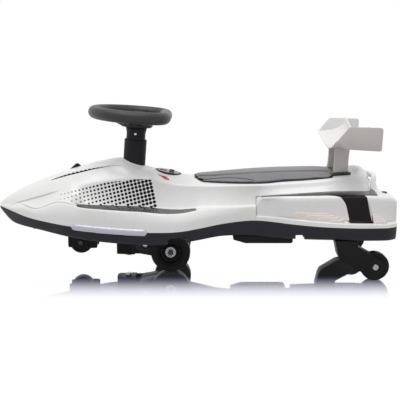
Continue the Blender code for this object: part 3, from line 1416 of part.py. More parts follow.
def panel_body(grow, low, high):
    bm = bmesh.new()
    prism(bm, oval(PANEL_LENGTH + 2 * grow, PANEL_WIDTH + 2 * grow), low, high, "XY")
    bmesh.ops.transform(bm, matrix=panel_frame(), verts=bm.verts)
    return bm


def make_panel():
    """Oval panel with two push buttons and a rocker switch."""
    frame = panel_frame()
    panel = piece("control_panel", panel_body(0, -PANEL_THICKNESS, PANEL_RISE), "panel_silver")
    buttons = (("music_button", -BUTTON_SPACING / 2), ("horn_button", BUTTON_SPACING / 2))
    bm = bmesh.new()
    for name, place in buttons:
        turned(bm, rod(BUTTON_RADIUS + FIT, -0.02, 0.02), (0, 0, 1), (BUTTON_PLACE, place, 0), 16)
    box(bm, (SWITCH_PLACE - SWITCH_LENGTH / 2 - FIT, -SWITCH_WIDTH / 2 - FIT, -0.02),
        (SWITCH_PLACE + SWITCH_LENGTH / 2 + FIT, SWITCH_WIDTH / 2 + FIT, 0.02))
    bmesh.ops.transform(bm, matrix=frame, verts=bm.verts)
    cut(panel, "panel_holes", bm)
    for name, place in buttons:
        pivot = pivot_at(name + "_axis", frame @ Vector((BUTTON_PLACE, place, 0)))
        bm = bmesh.new()
        turned(bm, [(0, -PANEL_THICKNESS), (BUTTON_RADIUS, -PANEL_THICKNESS),
                    (BUTTON_RADIUS, BUTTON_RISE - 0.0015),
                    (BUTTON_RADIUS - 0.001, BUTTON_RISE - 0.0005), (0, BUTTON_RISE)], (0, 0, 1),
               (BUTTON_PLACE, place, 0), 16)
        bmesh.ops.transform(bm, matrix=frame, verts=bm.verts)
        piece(name, bm, "button_red", pivot)
    pivot = pivot_at("power_switch_axis", frame @ Vector((SWITCH_PLACE, 0, SWITCH_PIVOT)))
    half = SWITCH_LENGTH / 2
    low = SWITCH_PIVOT - 0.003
    outline = [(0.0022 - half, low), (half - 0.0022, low), (half - 0.0008, SWITCH_TIP - 0.0014),
               (half - 0.0014, SWITCH_TIP), (0, SWITCH_TIP - 0.0012), (0.0014 - half, SWITCH_TIP),
               (0.0008 - half, SWITCH_TIP - 0.0014)]
    bm = bmesh.new()
    prism(bm, [(SWITCH_PLACE + u, v) for u, v in outline], -SWITCH_WIDTH / 2, SWITCH_WIDTH / 2)
    bmesh.ops.transform(bm, matrix=frame, verts=bm.verts)
    piece("power_switch", bm, "chassis_black", pivot)


def make_socket():
    """Charging inlet in the tray's right side at the waist."""
    tray = section_on_mesh(tray_half, TRAY_STATIONS, at(SOCKET_X))
    wall = side_at(tray[:3], SOCKET_HEIGHT)
    back = wall - SOCKET_LENGTH
    seat = wall + 0.0036
    front = seat + 0.002
    bm = bmesh.new()
    turned(bm, [(0, back), (SOCKET_RADIUS, back), (SOCKET_RADIUS, seat), (SOCKET_FLANGE, seat),
                (SOCKET_FLANGE, front), (SOCKET_BORE, front), (SOCKET_BORE, wall - 0.006), (0, wall - 0.006)],
           (0, 1, 0), (at(SOCKET_X), 0, SOCKET_HEIGHT), 16)
    piece("charging_socket", bm, "gloss_black")


def make_pedal():
    """Accelerator on the right footplate, hinged at its heel."""
    toe = at(PEDAL_FRONT)
    heel_x = toe + PEDAL_LENGTH
    y = wide(LIP_WIDTH, heel_x) - line(LEDGE_WIDTH, heel_x) / 2

    def plate_height(x):
        section = section_on_mesh(shell_half, SHELL_STATIONS, x)
        return max(section[BASE_ROW][1], section[LEDGE_ROW][1]) + FIT + PLATE_THICKNESS

    ground = plate_height(heel_x)
    heel = Vector((heel_x, y, ground + PEDAL_PIN_HEIGHT))
    pivot = pivot_at("pedal_axis", heel)
    half = PEDAL_WIDTH / 2
    outline = filleted([(-PEDAL_LENGTH, -0.0005), (-0.004, -0.0005), (0.002, -0.0032), (0.0035, 0.0035),
                        (-PEDAL_LENGTH, PEDAL_THICKNESS)], 0.002, 2)
    bm = bmesh.new()
    prism(bm, outline, -half, half)
    slope = math.atan((plate_height(toe) - ground) / PEDAL_LENGTH)
    turn = Matrix.Translation(heel) @ Matrix.Rotation(PEDAL_SLOPE + slope, 4, "Y")
    bmesh.ops.transform(bm, matrix=turn, verts=bm.verts)
    pedal = piece("accelerator_pedal", bm, "gloss_black", pivot)
    bm = bmesh.new()
    turned(bm, rod(PEDAL_PIN + FIT, -half - 0.01, half + 0.01), (0, 1, 0), heel, 12)
    cut(pedal, "pedal_bore", bm)
    ear = filleted([(heel_x - 0.007, ground + 0.0012), (heel_x + 0.009, ground + 0.0012),
                    (heel_x + 0.005, heel.z + 0.004), (heel_x - 0.004, heel.z + 0.004)],
                    [0, 0, 0.003, 0.003], 2)
    face = half + RUNNING
    bm = bmesh.new()
    for low in (y - face - PEDAL_EAR, y + face):
        prism(bm, ear, low, low + PEDAL_EAR)
    bracket = piece("pedal_bracket", bm, "chassis_black")
    bm = bmesh.new()
    turned(bm, rod(PEDAL_PIN, -face - PEDAL_EAR / 2, face + PEDAL_EAR / 2), (0, 1, 0), heel, 12)
    joined(bracket, "pedal_pin", bm)


# Seat pad, backrest and rear handle
def seat_outline(x):
    """Half width of the pad: a round nose that widens towards the backrest."""
    share = (x - at(SEAT_FRONT)) / (at(SEAT_END) - at(SEAT_FRONT))
    share = min(max(share, 0), 1)
    nose = math.sqrt(max(1 - (1 - min(share / 0.16, 1)) ** 2, 0))
    spread = 0.62 + 0.38 * math.sin(math.pi / 2 * min(share / 0.62, 1))
    return max(SEAT_HALF_WIDTH * spread * nose, 0.012)


def seat_rise(x):
    """Thickness of the pad on its centre line."""
    share = (x - at(SEAT_FRONT)) / (at(SEAT_END) - at(SEAT_FRONT))
    return SEAT_THICKNESS * (0.16 + 0.84 * math.sin(math.pi * min(max(share, 0) / 1.06, 1)) ** 0.75)


def seat_half(x):
    """Right half section of the pad, from the top of its crown out and back under."""
    last = at(SEAT_END)
    half = min(seat_outline(x), wide(SHOULDER_WIDTH, x) - 0.004)
    rise = seat_rise(x) * (0.75 if x == last else 1)
    points = []
    for k in range(SEAT_ROWS + 1):
        share = k / SEAT_ROWS
        height = rise * ((1 - share ** 2.6) * 0.72 + 0.28)
        if k == SEAT_CHANNEL_ROW and x < last - 0.01:
            height -= SEAT_CHANNEL * min(rise / SEAT_THICKNESS, 1)
        points.append((half * share, deck_at(x, half * share) + FIT + max(height, 0.002)))
    edge = half - 0.0025 * min(half / 0.03, 1)
    for share in (1, 0.7, 0.35, 0):
        points.append((edge * share, deck_at(x, edge * share) + SURFACE_FIT))
    return points


def make_seat():
    """Padded seat with a crown, drawn-in sides and two stitched channels."""
    first = at(SEAT_FRONT)
    last = at(SEAT_END)
    nose_end = first + 0.034
    places = [first, first + 0.004, first + 0.010, first + 0.020]
    places += stations(nose_end, last - 0.012, 0.024) + [last]
    rings = []
    for x in places:
        right = seat_half(x)
        ring = [Vector((x, y, z)) for y, z in right]
        ring += [Vector((x, -y, z)) for y, z in reversed(right[1:-1])]
        rings.append(ring)
    bm = bmesh.new()
    loft(bm, rings)
    piece("seat_pad", bm, "seat_leather", sharp=50)


def make_backrest():
    """Dark foot plate, two posts and a winged backrest with flat end plates."""
    plate_front = at(SEAT_END) + 0.0005
    plate_end = at(FOOT_PLATE_END)
    rings = []
    for x in (plate_front, (plate_front + plate_end) / 2, plate_end):
        places = [FOOT_PLATE_HALF_WIDTH * share for share in (-1, -0.5, 0, 0.5, 1)]
        low = [(y, deck_at(x, y) + SURFACE_FIT) for y in places]
        lift = FOOT_PLATE_THICKNESS if x < plate_end else FOOT_PLATE_THICKNESS / 2
        high = [(y, z + lift) for y, z in reversed(low)]
        rings.append([Vector((x, y, z)) for y, z in low + high])
    bm = bmesh.new()
    loft(bm, rings)
    plate = piece("backrest_foot", bm, "chassis_black")
    front = at(POST_FRONT)
    back = front + POST_LENGTH
    inner = (POST_SPACING - POST_WIDTH) / 2
    outer = (POST_SPACING + POST_WIDTH) / 2
    bm = bmesh.new()
    for side in (-1, 1):
        low, high = span(side, inner - FIT, outer + FIT)
        box(bm, (front - FIT, low, 0.2), (back + FIT, high, 0.3))
    cut(plate, "post_sockets", bm)
    foot = max(deck_at(x, y) for x in (front, back) for y in (inner, outer)) + SURFACE_FIT
    bends = [x for x, z in blade_section(inner)[1] if front + 0.004 < x < back]
    for side, name in ((-1, "left"), (1, "right")):
        rings = []
        for y in span(side, inner, outer):
            outline = [(front, foot), (back, foot)]
            for x in [back + 0.0005] + bends[::-1] + [front + 0.004]:
                outline.append((x, blade_under(x, y) - FIT))
            rings.append([Vector((x, y, z)) for x, z in outline])
        bm = bmesh.new()
        loft(bm, rings)
        piece("backrest_post_" + name, bm, "shell_white")
    make_wing()


def wing_height(y):
    """Upper surface of the wing: low in the middle, rising to the end plates."""
    return WING_CENTRE_HEIGHT + WING_RISE * min(abs(y) / WING_HALF_WIDTH, 1) ** 1.6


def blade_places():
    """Sections across the wing's blade."""
    inner = WING_HALF_WIDTH - WING_WALL
    return [-inner + 2 * inner * k / WING_STEPS for k in range(WING_STEPS + 1)]


def blade_section(y):
    """Upper and lower line of the blade, from its front edge back and up."""
    front = at(WING_FRONT)
    z = wing_height(y)
    lean = WING_SWEEP * (1 - (y / WING_HALF_WIDTH) ** 2)
    upper = [(front - 0.003 + lean * 0.4, z + 0.0005), (front + 0.020, z + 0.0015),
             (front + 0.045, z + 0.006),
             (front + 0.064, z + 0.018), (front + 0.072, z + 0.033)]
    lower = [(u + 0.001, v - WING_WALL) for u, v in upper[:3]]
    lower += [(upper[3][0] + 0.0035, upper[3][1] - 0.0022), (upper[4][0] + WING_WALL, upper[4][1] - 0.0005)]
    return upper, lower


def blade_under(x, y):
    """Height of the blade's flat-sided underside."""
    places = blade_places()
    i = min(max(bisect_right(places, y) - 1, 0), len(places) - 2)
    t = (y - places[i]) / (places[i + 1] - places[i])
    first = blade_section(places[i])[1]
    second = blade_section(places[i + 1])[1]
    points = [(p[0] + (q[0] - p[0]) * t, p[1] + (q[1] - p[1]) * t) for p, q in zip(first, second)]
    for a, b in zip(points, points[1:]):
        if x <= b[0]:
            return a[1] + (b[1] - a[1]) * (x - a[0]) / (b[0] - a[0])
    return points[-1][1]


def make_wing():
    """Curved blade that turns up into a back rest, with a flat plate at each end."""
    rings = []
    for y in blade_places():
        upper, lower = blade_section(y)
        rings.append([Vector((u, y, v)) for u, v in upper + list(reversed(lower))])
    bm = bmesh.new()
    loft(bm, rings)
    wing = piece("backrest_wing", bm, "shell_white")
    front = at(WING_FRONT)
    back = front + WING_LENGTH
    outline = filleted([(front - 0.001, 0.3400), (front + 0.028, WING_TOP), (back, WING_TOP - 0.002),
                        (back - 0.0025, 0.3162), (front + 0.0185, 0.3215)],
                        [0.006, 0.010, 0.008, 0.005, 0.014])
    bm = bmesh.new()
    for side in (-1, 1):
        prism(bm, outline, *span(side, WING_HALF_WIDTH - WING_WALL - 0.001, WING_HALF_WIDTH))
    joined(wing, "wing_end_plates", bm)


def make_handle():
    """Carrying handle: an arch behind the seat cowl, bent with the tail."""
    front = at(HANDLE_FRONT)
    ground = line(COWL_BASE_LINE, COWL_END_X)

    def arch(half, top, rounding):
        corners = [(-half, ground), (HANDLE_LEAN - half, top), (half - HANDLE_LEAN, top), (half, ground)]
        points = filleted(corners, [0, rounding, rounding, 0])
        middle = len(points) // 2
        a, b = points[middle - 1], points[middle]
        between = [(a[0] + (b[0] - a[0]) * k / 4, top) for k in (1, 2, 3)]
        return points[:middle] + between + points[middle:]

    outer = arch(HANDLE_HALF_WIDTH, HANDLE_TOP, 0.014)
    inner = arch(HANDLE_HALF_WIDTH - HANDLE_LEG, HANDLE_TOP - HANDLE_BAR, 0.006)
    rings = []
    for (y, z), (v, w) in zip(outer, inner):
        far, near = front - tail_bow(y), front - tail_bow(v)
        rings.append([Vector((far, y, z)), Vector((far + HANDLE_THICKNESS, y, z)),
                      Vector((near + HANDLE_THICKNESS, v, w)), Vector((near, v, w))])
    bm = bmesh.new()
    loft(bm, rings)
    piece("rear_handle", bm, "shell_white")


# Battery under the seat
def make_battery():
    """Box below the seat, open at the top, and the battery that stands in it."""
    front = at(BOX_FRONT)
    back = front + BOX_LENGTH
    roof = min(line(FLOOR_LINE, x) for x in (front, (front + back) / 2, at(0.697), back)) - SURFACE_FIT
    outline = [(front, roof), (front, BOX_BOTTOM + BOX_CHAMFER_HEIGHT),
               (front + BOX_CHAMFER_LENGTH, BOX_BOTTOM),
               (back - 0.004, BOX_BOTTOM), (back, BOX_BOTTOM + 0.004), (back, roof)]
    bm = bmesh.new()
    prism(bm, outline, -BOX_HALF_WIDTH, BOX_HALF_WIDTH)
    cover = piece("battery_box", bm, "chassis_black")
    floor = BOX_BOTTOM + BOX_WALL
    inner = [(front + BOX_WALL, roof + 0.01), (front + BOX_WALL, floor + BOX_CHAMFER_HEIGHT),
             (front + BOX_CHAMFER_LENGTH, floor), (back - BOX_WALL, floor), (back - BOX_WALL, roof + 0.01)]
    bm = bmesh.new()
    prism(bm, inner, BOX_WALL - BOX_HALF_WIDTH, BOX_HALF_WIDTH - BOX_WALL)
    cut(cover, "battery_bay", bm)
    start = WAIST_X + SHELL_WALL + BATTERY_GAP
    bm = bmesh.new()
    box(bm, (start, -BATTERY_WIDTH / 2, floor + FIT),
        (start + BATTERY_LENGTH, BATTERY_WIDTH / 2, floor + FIT + BATTERY_HEIGHT))
    piece("battery", bm, "battery_case")


make_body_shell()
make_rear_shell()
make_tray()
make_column()
steering = pivot_at("steering_axis", on_column(DRIVE_RADIUS))
make_steering(steering)
make_fork(steering)
make_gearbox(steering)
make_front_axle(steering)
make_guard()
make_fin()
make_panel()
make_socket()
make_pedal()
make_seat()
make_backrest()
make_handle()
make_battery()
for hand, hand_name in ((-1, "left"), (1, "right")):
    make_drive_wheel(hand, hand_name, steering)
    make_rear_leg(hand, hand_name)
    make_trim(hand, hand_name)

bpy.context.view_layer.update()
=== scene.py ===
import json
import math

import bmesh
import bpy
import numpy as np
from mathutils import Matrix, Vector
from mathutils.bvhtree import BVHTree

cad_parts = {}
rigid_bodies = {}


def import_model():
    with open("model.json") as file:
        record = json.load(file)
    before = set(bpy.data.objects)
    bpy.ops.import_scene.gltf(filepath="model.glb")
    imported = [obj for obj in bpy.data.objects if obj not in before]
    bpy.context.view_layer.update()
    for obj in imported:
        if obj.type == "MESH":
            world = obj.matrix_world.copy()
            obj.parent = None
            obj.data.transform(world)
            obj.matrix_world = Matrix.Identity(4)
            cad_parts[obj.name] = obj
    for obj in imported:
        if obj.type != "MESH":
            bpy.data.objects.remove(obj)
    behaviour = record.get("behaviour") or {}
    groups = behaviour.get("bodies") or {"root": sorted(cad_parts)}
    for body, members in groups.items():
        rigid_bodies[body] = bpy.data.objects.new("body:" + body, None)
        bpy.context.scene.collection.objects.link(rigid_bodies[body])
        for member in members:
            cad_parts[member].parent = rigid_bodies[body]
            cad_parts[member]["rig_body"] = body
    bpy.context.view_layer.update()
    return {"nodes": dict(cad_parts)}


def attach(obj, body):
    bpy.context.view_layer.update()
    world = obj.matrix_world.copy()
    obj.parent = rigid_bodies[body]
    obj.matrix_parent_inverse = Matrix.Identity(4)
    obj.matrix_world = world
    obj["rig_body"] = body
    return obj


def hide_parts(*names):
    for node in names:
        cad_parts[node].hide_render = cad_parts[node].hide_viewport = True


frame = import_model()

# Electric ride-on swing car. Nose towards -X, rider's left towards -Y, floor at z = 0, metres.
nose = -0.49925
hands = ((-1, "left"), (1, "right"))
upward = Vector((0, 0, 1))
atOrigin = ((0, 0, 1), (0, 0, 0))        # axis and centre of a round piece made on the origin


def linked(name, data):
    made = bpy.data.objects.new(name, data)
    bpy.context.scene.collection.objects.link(made)
    return made


# camera, light and floor
shot = {"place": (0.022, -1.95, 0.54), "tilt": 79.3, "lens": 68.4, "sensor": 36}
light = {"sky": 0.64, "sun": 1.42, "sunTurn": (10, -8, 0), "sunSize": 40, "floorTone": 1.0, "floorBounce": 0.44,
         "shadow": 0.3, "mirror": 0.985, "warmFade": (-0.305, -0.115), "coolFade": (-0.295, -0.108)}

eye = bpy.data.cameras.new("photoView")
eye.lens = shot["lens"]
eye.sensor_width = shot["sensor"]
camera = linked("photoView", eye)
camera.location = shot["place"]
camera.rotation_euler = (math.radians(shot["tilt"]), 0, 0)
bpy.context.scene.camera = camera
bpy.context.scene.view_settings.view_transform = "Standard"


def feed(tree, target, inputs):
    # gives a node's inputs a value each, or another node's socket
    for key, value in inputs.items():
        if isinstance(value, bpy.types.NodeSocket):
            tree.links.new(value, target.inputs[key])
        else:
            target.inputs[key].default_value = value
    return target


def node(tree, kind, inputs=(), **settings):
    made = tree.nodes.new(kind if kind.startswith(("Geometry", "Function")) else "ShaderNode" + kind)
    for key, value in settings.items():
        setattr(made, key, value)
    return feed(tree, made, dict(inputs))


def calc(tree, operation, *values):
    return node(tree, "Math", enumerate(values), operation=operation).outputs[0]


def noise(tree, place, scale, detail, roughness=0.5):
    return node(tree, "TexNoise", {"Vector": place, "Scale": scale, "Detail": detail,
                                   "Roughness": roughness}).outputs[0]


def ranged(tree, value, start, end, low=0.0, high=1.0, **settings):
    # value taken from the span start to end over to the span low to high
    return node(tree, "MapRange", {0: value, 1: start, 2: end, 3: low, 4: high}, **settings).outputs[0]


def bumped(tree, height, strength, distance):
    return node(tree, "Bump", {"Height": height, "Strength": strength, "Distance": distance}).outputs[0]


def blended(tree, factor, first, second):
    # colour between two others, each a socket or a plain colour
    colours = [c if isinstance(c, bpy.types.NodeSocket) else (*c, 1) for c in (first, second)]
    return node(tree, "Mix", {0: factor, 6: colours[0], 7: colours[1]}, data_type="RGBA").outputs[2]


def seenDirectly(tree):
    # 1 for rays that come straight from the camera or by way of a mirror or glass
    path = node(tree, "LightPath").outputs
    first = calc(tree, "MAXIMUM", path["Is Camera Ray"], path["Is Glossy Ray"])
    return calc(tree, "MAXIMUM", first, path["Is Transmission Ray"])


def makeStage():
    world = bpy.data.worlds.new("studio")
    bpy.context.scene.world = world
    world.use_nodes = True
    tree = world.node_tree
    strength = node(tree, "Mix", {0: seenDirectly(tree), 2: light["sky"], 3: 1.0}, data_type="FLOAT")
    feed(tree, tree.nodes["Background"], {"Color": (1, 1, 1, 1), "Strength": strength.outputs[0]})
    lamp = bpy.data.lights.new("overhead", "SUN")
    lamp.energy = light["sun"]
    lamp.angle = math.radians(light["sunSize"])
    linked("overhead", lamp).rotation_euler = [math.radians(turn) for turn in light["sunTurn"]]
    size = 40
    mesh = bpy.data.meshes.new("studioFloor")
    corners = [(-size, -size, 0), (size, -size, 0), (size, size, 0), (-size, size, 0)]
    mesh.from_pydata(corners, [], [(0, 1, 2, 3)])
    floor = linked("studioFloor", mesh)
    look = bpy.data.materials.new("studioFloor")
    look.use_nodes = True
    tree = look.node_tree
    tree.nodes.remove(tree.nodes["Principled BSDF"])
    # polished near the car, with a reflection that fades towards the front by way of a pale blue
    place = node(tree, "SeparateXYZ", {0: node(tree, "TexCoord").outputs["Object"]}).outputs[1]
    warm, cool = [ranged(tree, place, *light[fade], 0.0, light["mirror"], interpolation_type="SMOOTHSTEP")
                  for fade in ("warmFade", "coolFade")]
    mirrored = node(tree, "CombineXYZ", {0: warm, 1: warm, 2: cool}).outputs[0]
    rest = node(tree, "VectorMath", {0: (1, 1, 1), 1: mirrored}, operation="SUBTRACT").outputs[0]
    blur = ranged(tree, node(tree, "TexNoise", {"Scale": 3.0, "Detail": 2.0}).outputs[0], 0, 1, 0.02, 0.05)
    shine = node(tree, "BsdfAnisotropic", {"Color": mirrored, "Roughness": blur})
    paint = node(tree, "BsdfDiffuse", {"Color": rest})
    glow = node(tree, "Emission", {"Color": rest, "Strength": light["floorTone"]})
    base = node(tree, "MixShader", {0: light["shadow"], 1: glow.outputs[0], 2: paint.outputs[0]})
    shown = node(tree, "AddShader", {0: shine.outputs[0], 1: base.outputs[0]})
    unseen = node(tree, "BsdfDiffuse", {"Color": (*[light["floorBounce"]] * 3, 1)})
    mixed = node(tree, "MixShader", {0: seenDirectly(tree), 1: unseen.outputs[0], 2: shown.outputs[0]})
    feed(tree, tree.nodes["Material Output"], {"Surface": mixed.outputs[0]})
    mesh.materials.append(look)


makeStage()
print("camera, light and floor ready")

# finishes: the record's slot, colour, second tone, roughness from and to, grain, its depth, gloss, extras
finishes = {
    "whiteMoulding": ("shell_white", (0.825, 0.818, 0.815), (0.817, 0.81, 0.807), (0.25, 0.29), 2600, 0.00001,
                      0.45, {"coat": 0.1}),
    "greyTray": ("tray_grey", (0.0165, 0.016, 0.0215), (0.0205, 0.02, 0.026), (0.42, 0.56), 1500, 0.00006,
                 0.22, {"worn": 0.05}),
    "darkGloss": ("gloss_black", (0.026, 0.025, 0.026), (0.034, 0.032, 0.033), (0.14, 0.22), 700, 0.00001,
                  0.25, {"coat": 0.1}),
    "ribbedGloss": ("gloss_black", (0.022, 0.021, 0.022), (0.036, 0.034, 0.035), (0.16, 0.24), 900, 0.00002,
                    0.07, {"ribs": 55}),
    "bandGloss": ("gloss_black", (0.0065, 0.0045, 0.0055), (0.013, 0.0085, 0.0095), (0.16, 0.24), 700, 0.00001,
                  0.14),
    "blackNylon": ("chassis_black", (0.0042, 0.004, 0.0052), (0.0068, 0.0065, 0.0078), (0.36, 0.5), 1300,
                   0.00006, 0.14, {"worn": 0.035}),
    "sleeveBlack": ("chassis_black", (0.0105, 0.009, 0.012), (0.015, 0.013, 0.0165), (0.4, 0.52), 1800,
                    0.00005, 0.16, {"worn": 0.03}),
    "hubBlack": ("chassis_black", (0.0105, 0.0098, 0.0122), (0.0145, 0.0138, 0.0165), (0.34, 0.46), 1700,
                 0.00005, 0.3, {"worn": 0.03}),
    # tray grey painted about three times lighter, as painted light against the shade under the tray
    "cheekGrey": ("chassis_black", (0.05, 0.048, 0.056), (0.04, 0.038, 0.045), (0.4, 0.52), 1500, 0.00005,
                  0.3),
    # white moulding painted darker and warmer, as painted shade on the backrest's posts and end plates; also
    # the rocker's pale marks
    "warmPlastic": ("shell_white", (0.6, 0.565, 0.555), (0.575, 0.54, 0.53), (0.34, 0.44), 2200, 0.00002,
                    0.45),
    # painted shade along the nose's creases
    "creaseShade": ("shell_white", (0.54, 0.525, 0.52), (0.51, 0.495, 0.49), (0.3, 0.4), 2200, 0.00001, 0.4),
    # the shell's white painted darker and warmer, as painted shade on the ribs in the recess
    "ribPeach": ("shell_white", (0.8, 0.74, 0.705), (0.77, 0.705, 0.67), (0.34, 0.44), 2200, 0.00002, 0.45),
    # black print for the wall dots; also the dark strips of painted shade inside the hood's slots
    "dotFilm": ("gloss_black", (0.0025, 0.0025, 0.0028), (0.005, 0.005, 0.0055), (0.32, 0.42), 900, 0.00001,
                0.12),
    "panelFace": ("panel_silver", (0.085, 0.085, 0.092), (0.062, 0.062, 0.068), (0.22, 0.34), 1600, 0.00002,
                  0.5, {"coat": 0.3}),
    "redPlastic": ("button_red", (0.52, 0.012, 0.045), (0.44, 0.01, 0.038), (0.22, 0.32), 1800, 0.00001, 0.5,
                   {"coat": 0.3}),
    # light grey painted on the rim's seams as a highlight
    "trimSilver": ("rim_grey", (0.46, 0.46, 0.48), (0.4, 0.4, 0.42), (0.28, 0.38), 2600, 0.00003, 0.5),
    "seamBlack": ("seat_leather", (0.03, 0.029, 0.031), (0.022, 0.021, 0.023), (0.45, 0.6), 2600, 0.00006,
                  0.4),
    "seamGrey": ("seat_leather", (0.075, 0.073, 0.078), (0.06, 0.058, 0.062), (0.6, 0.75), 3800, 0.00008,
                 0.3),
    "batteryCase": ("battery_case", (0.03, 0.05, 0.09), (0.025, 0.04, 0.075), (0.4, 0.5), 1500, 0.00004, 0.4),
}
# leathers: slot, colour, second tone, roughness from and to, cells of the grain, its depth, sheen
leathers = {
    "seatLeather": ("seat_leather", (0.25, 0.243, 0.258), (0.212, 0.205, 0.219), (0.4, 0.52), 520, 0.0002,
                    0.12),
    "gripSkin": ("rim_grey", (0.0225, 0.0215, 0.0255), (0.0165, 0.016, 0.019), (0.36, 0.47), 900, 0.0001,
                 0.03),
}
steels = {"zinc": ("steel", (0.62, 0.62, 0.63), 0.26), "brightSteel": ("steel", (0.42, 0.42, 0.43), 0.22),
          "darkSteel": ("steel", (0.06, 0.06, 0.064), 0.34),
          "satinSilver": ("panel_silver", (0.5, 0.5, 0.52), 0.3)}
rubber = {"colour": (0.0032, 0.0031, 0.0036), "dust": (0.0095, 0.0092, 0.0095), "rough": (0.3, 0.46)}
lens = {"colour": (0.5, 0.5, 0.6), "cloud": (0.58, 0.58, 0.68), "flute": (0.6, 0.6, 0.7), "flutes": 95}
looks = {}


def newLook(name, slot, colour, roughness, metallic=0.0):
    made = bpy.data.materials.new(name)
    made.use_nodes = True
    made.diffuse_color = (*colour, 1)
    looks[name] = made
    tree = made.node_tree
    shader = feed(tree, tree.nodes["Principled BSDF"], {"Base Color": (*colour, 1), "Roughness": roughness,
                                                        "Metallic": metallic})
    return tree, shader, node(tree, "TexCoord").outputs["Object"]


def mouldedPlastic(name, slot, colour, shade, rough, grain, depth, gloss, extras=()):
    # plastic with broad tone changes and a fine moulded grain; some has rubbed edges or fine ribs
    extras = dict(extras)
    tree, shader, place = newLook(name, slot, colour, rough[0])
    tone = blended(tree, noise(tree, place, 11, 3, 0.55), colour, shade)
    if "worn" in extras:
        edge = ranged(tree, node(tree, "NewGeometry").outputs["Pointiness"], 0.53, 0.6)
        rubbed = calc(tree, "MULTIPLY", edge, noise(tree, place, 60, 4))
        tone = blended(tree, rubbed, tone, [c + extras["worn"] for c in colour])
    bump = bumped(tree, noise(tree, place, grain, 2), 0.6, depth)
    if "ribs" in extras:
        wave = node(tree, "TexWave", {"Vector": place, "Scale": extras["ribs"]}, bands_direction="X")
        bump = node(tree, "Bump", {"Height": wave.outputs[1], "Normal": bump, "Strength": 0.9,
                                   "Distance": 0.0012}).outputs[0]
    feed(tree, shader, {"Base Color": tone, "Normal": bump, "Specular IOR Level": gloss,
                        "Roughness": ranged(tree, noise(tree, place, 38, 5, 0.6), 0.3, 0.7, *rough),
                        "Coat Weight": extras.get("coat", 0.0), "Coat Roughness": 0.05})


def grainedSkin(name, slot, colour, shade, rough, cell, depth, sheen):
    # leather-like skin: round grains with creases between them
    tree, shader, place = newLook(name, slot, colour, rough[0])
    warp = node(tree, "TexNoise", {"Vector": place, "Scale": 160, "Detail": 2}).outputs[1]
    shift = node(tree, "VectorMath", {0: warp, "Scale": 0.0016}, operation="SCALE").outputs[0]
    moved = node(tree, "VectorMath", {0: place, 1: shift}, operation="ADD").outputs[0]
    cells = node(tree, "TexVoronoi", {"Vector": moved, "Scale": cell}, feature="DISTANCE_TO_EDGE").outputs[0]
    crease = ranged(tree, cells, 0, 0.22)
    broad = noise(tree, place, 14, 3)
    # the creases between grains are painted darker, as painted shade
    tone = blended(tree, crease, [c * 0.72 for c in shade], blended(tree, broad, colour, shade))
    height = calc(tree, "MULTIPLY_ADD", noise(tree, place, 2400, 1), 0.25, crease)
    feed(tree, shader, {"Base Color": tone, "Roughness": ranged(tree, broad, 0.3, 0.7, *rough),
                        "Normal": bumped(tree, height, 0.7, depth), "Sheen Weight": sheen,
                        "Sheen Roughness": 0.4})


def tyreRubber(name, slot):
    tree, shader, place = newLook(name, slot, rubber["colour"], 0.42)
    dust = noise(tree, place, 85, 6, 0.65)
    tone = blended(tree, ranged(tree, dust, 0.52, 0.75, 0, 0.5), rubber["colour"], rubber["dust"])
    feed(tree, shader, {"Base Color": tone, "Roughness": ranged(tree, dust, 0.35, 0.65, *rubber["rough"]),
                        "Normal": bumped(tree, noise(tree, place, 1400, 2), 0.5, 0.00008),
                        "Specular IOR Level": 0.16})


def zincSteel(name, slot, colour, roughness):
    # plated steel with fine turning marks and faint blotches
    tree, shader, place = newLook(name, slot, colour, roughness, 1.0)
    blotch = noise(tree, place, 210, 4)
    feed(tree, shader, {"Base Color": blended(tree, blotch, colour, [c * 0.78 for c in colour]),
                        "Roughness": ranged(tree, blotch, 0.3, 0.7, roughness, roughness + 0.14),
                        "Normal": bumped(tree, noise(tree, place, 3200, 1), 0.35, 0.00003)})


def milkyLens(name, slot):
    # frosted light cover with fine upright flutes behind its face
    tree, shader, place = newLook(name, slot, (0.52, 0.52, 0.62), 0.16)
    flutes = node(tree, "TexWave", {"Vector": place, "Scale": lens["flutes"], "Distortion": 0.2},
                  bands_direction="X").outputs[1]
    tone = blended(tree, noise(tree, place, 55, 2), lens["colour"], lens["cloud"])
    feed(tree, shader, {"Base Color": blended(tree, flutes, tone, lens["flute"]), "Subsurface Weight": 0.25,
                        "Subsurface Radius": (0.004, 0.004, 0.005), "Subsurface Scale": 1.0,
                        "Coat Weight": 0.7, "Coat Roughness": 0.04,
                        "Normal": bumped(tree, flutes, 0.25, 0.0002)})


for maker, rows in ((mouldedPlastic, finishes), (grainedSkin, leathers), (zincSteel, steels)):
    for name, row in rows.items():
        maker(name, *row)
tyreRubber("tyreRubber", "tyre_black")
milkyLens("milkyLens", "light_lens")
print("finishes ready:", len(looks))


# building helpers
def smoothed(piece, sharp=32):
    piece.data.shade_smooth()
    piece.data.set_sharp_from_angle(angle=math.radians(sharp))
    return piece


def fromBmesh(name, bm, look, sharp=32, closed=True):
    # a closed body has its doubles merged and its faces turned outwards
    if closed:
        bmesh.ops.remove_doubles(bm, verts=bm.verts, dist=1e-6)
        bmesh.ops.recalc_face_normals(bm, faces=bm.faces)
    mesh = bpy.data.meshes.new(name)
    bm.to_mesh(mesh)
    bm.free()
    mesh.materials.append(looks[look])
    return smoothed(linked(name, mesh), sharp)


def fromFaces(name, verts, faces, look, sharp=32):
    bm = bmesh.new()
    made = [bm.verts.new(v) for v in verts]
    for face in faces:
        bm.faces.new([made[i] for i in face])
    return fromBmesh(name, bm, look, sharp)


def mount(piece, body, *nodes):
    # the piece moves with a body, and stands for CAD nodes if any are named
    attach(piece, body)
    if nodes:
        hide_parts(*nodes)
    return piece


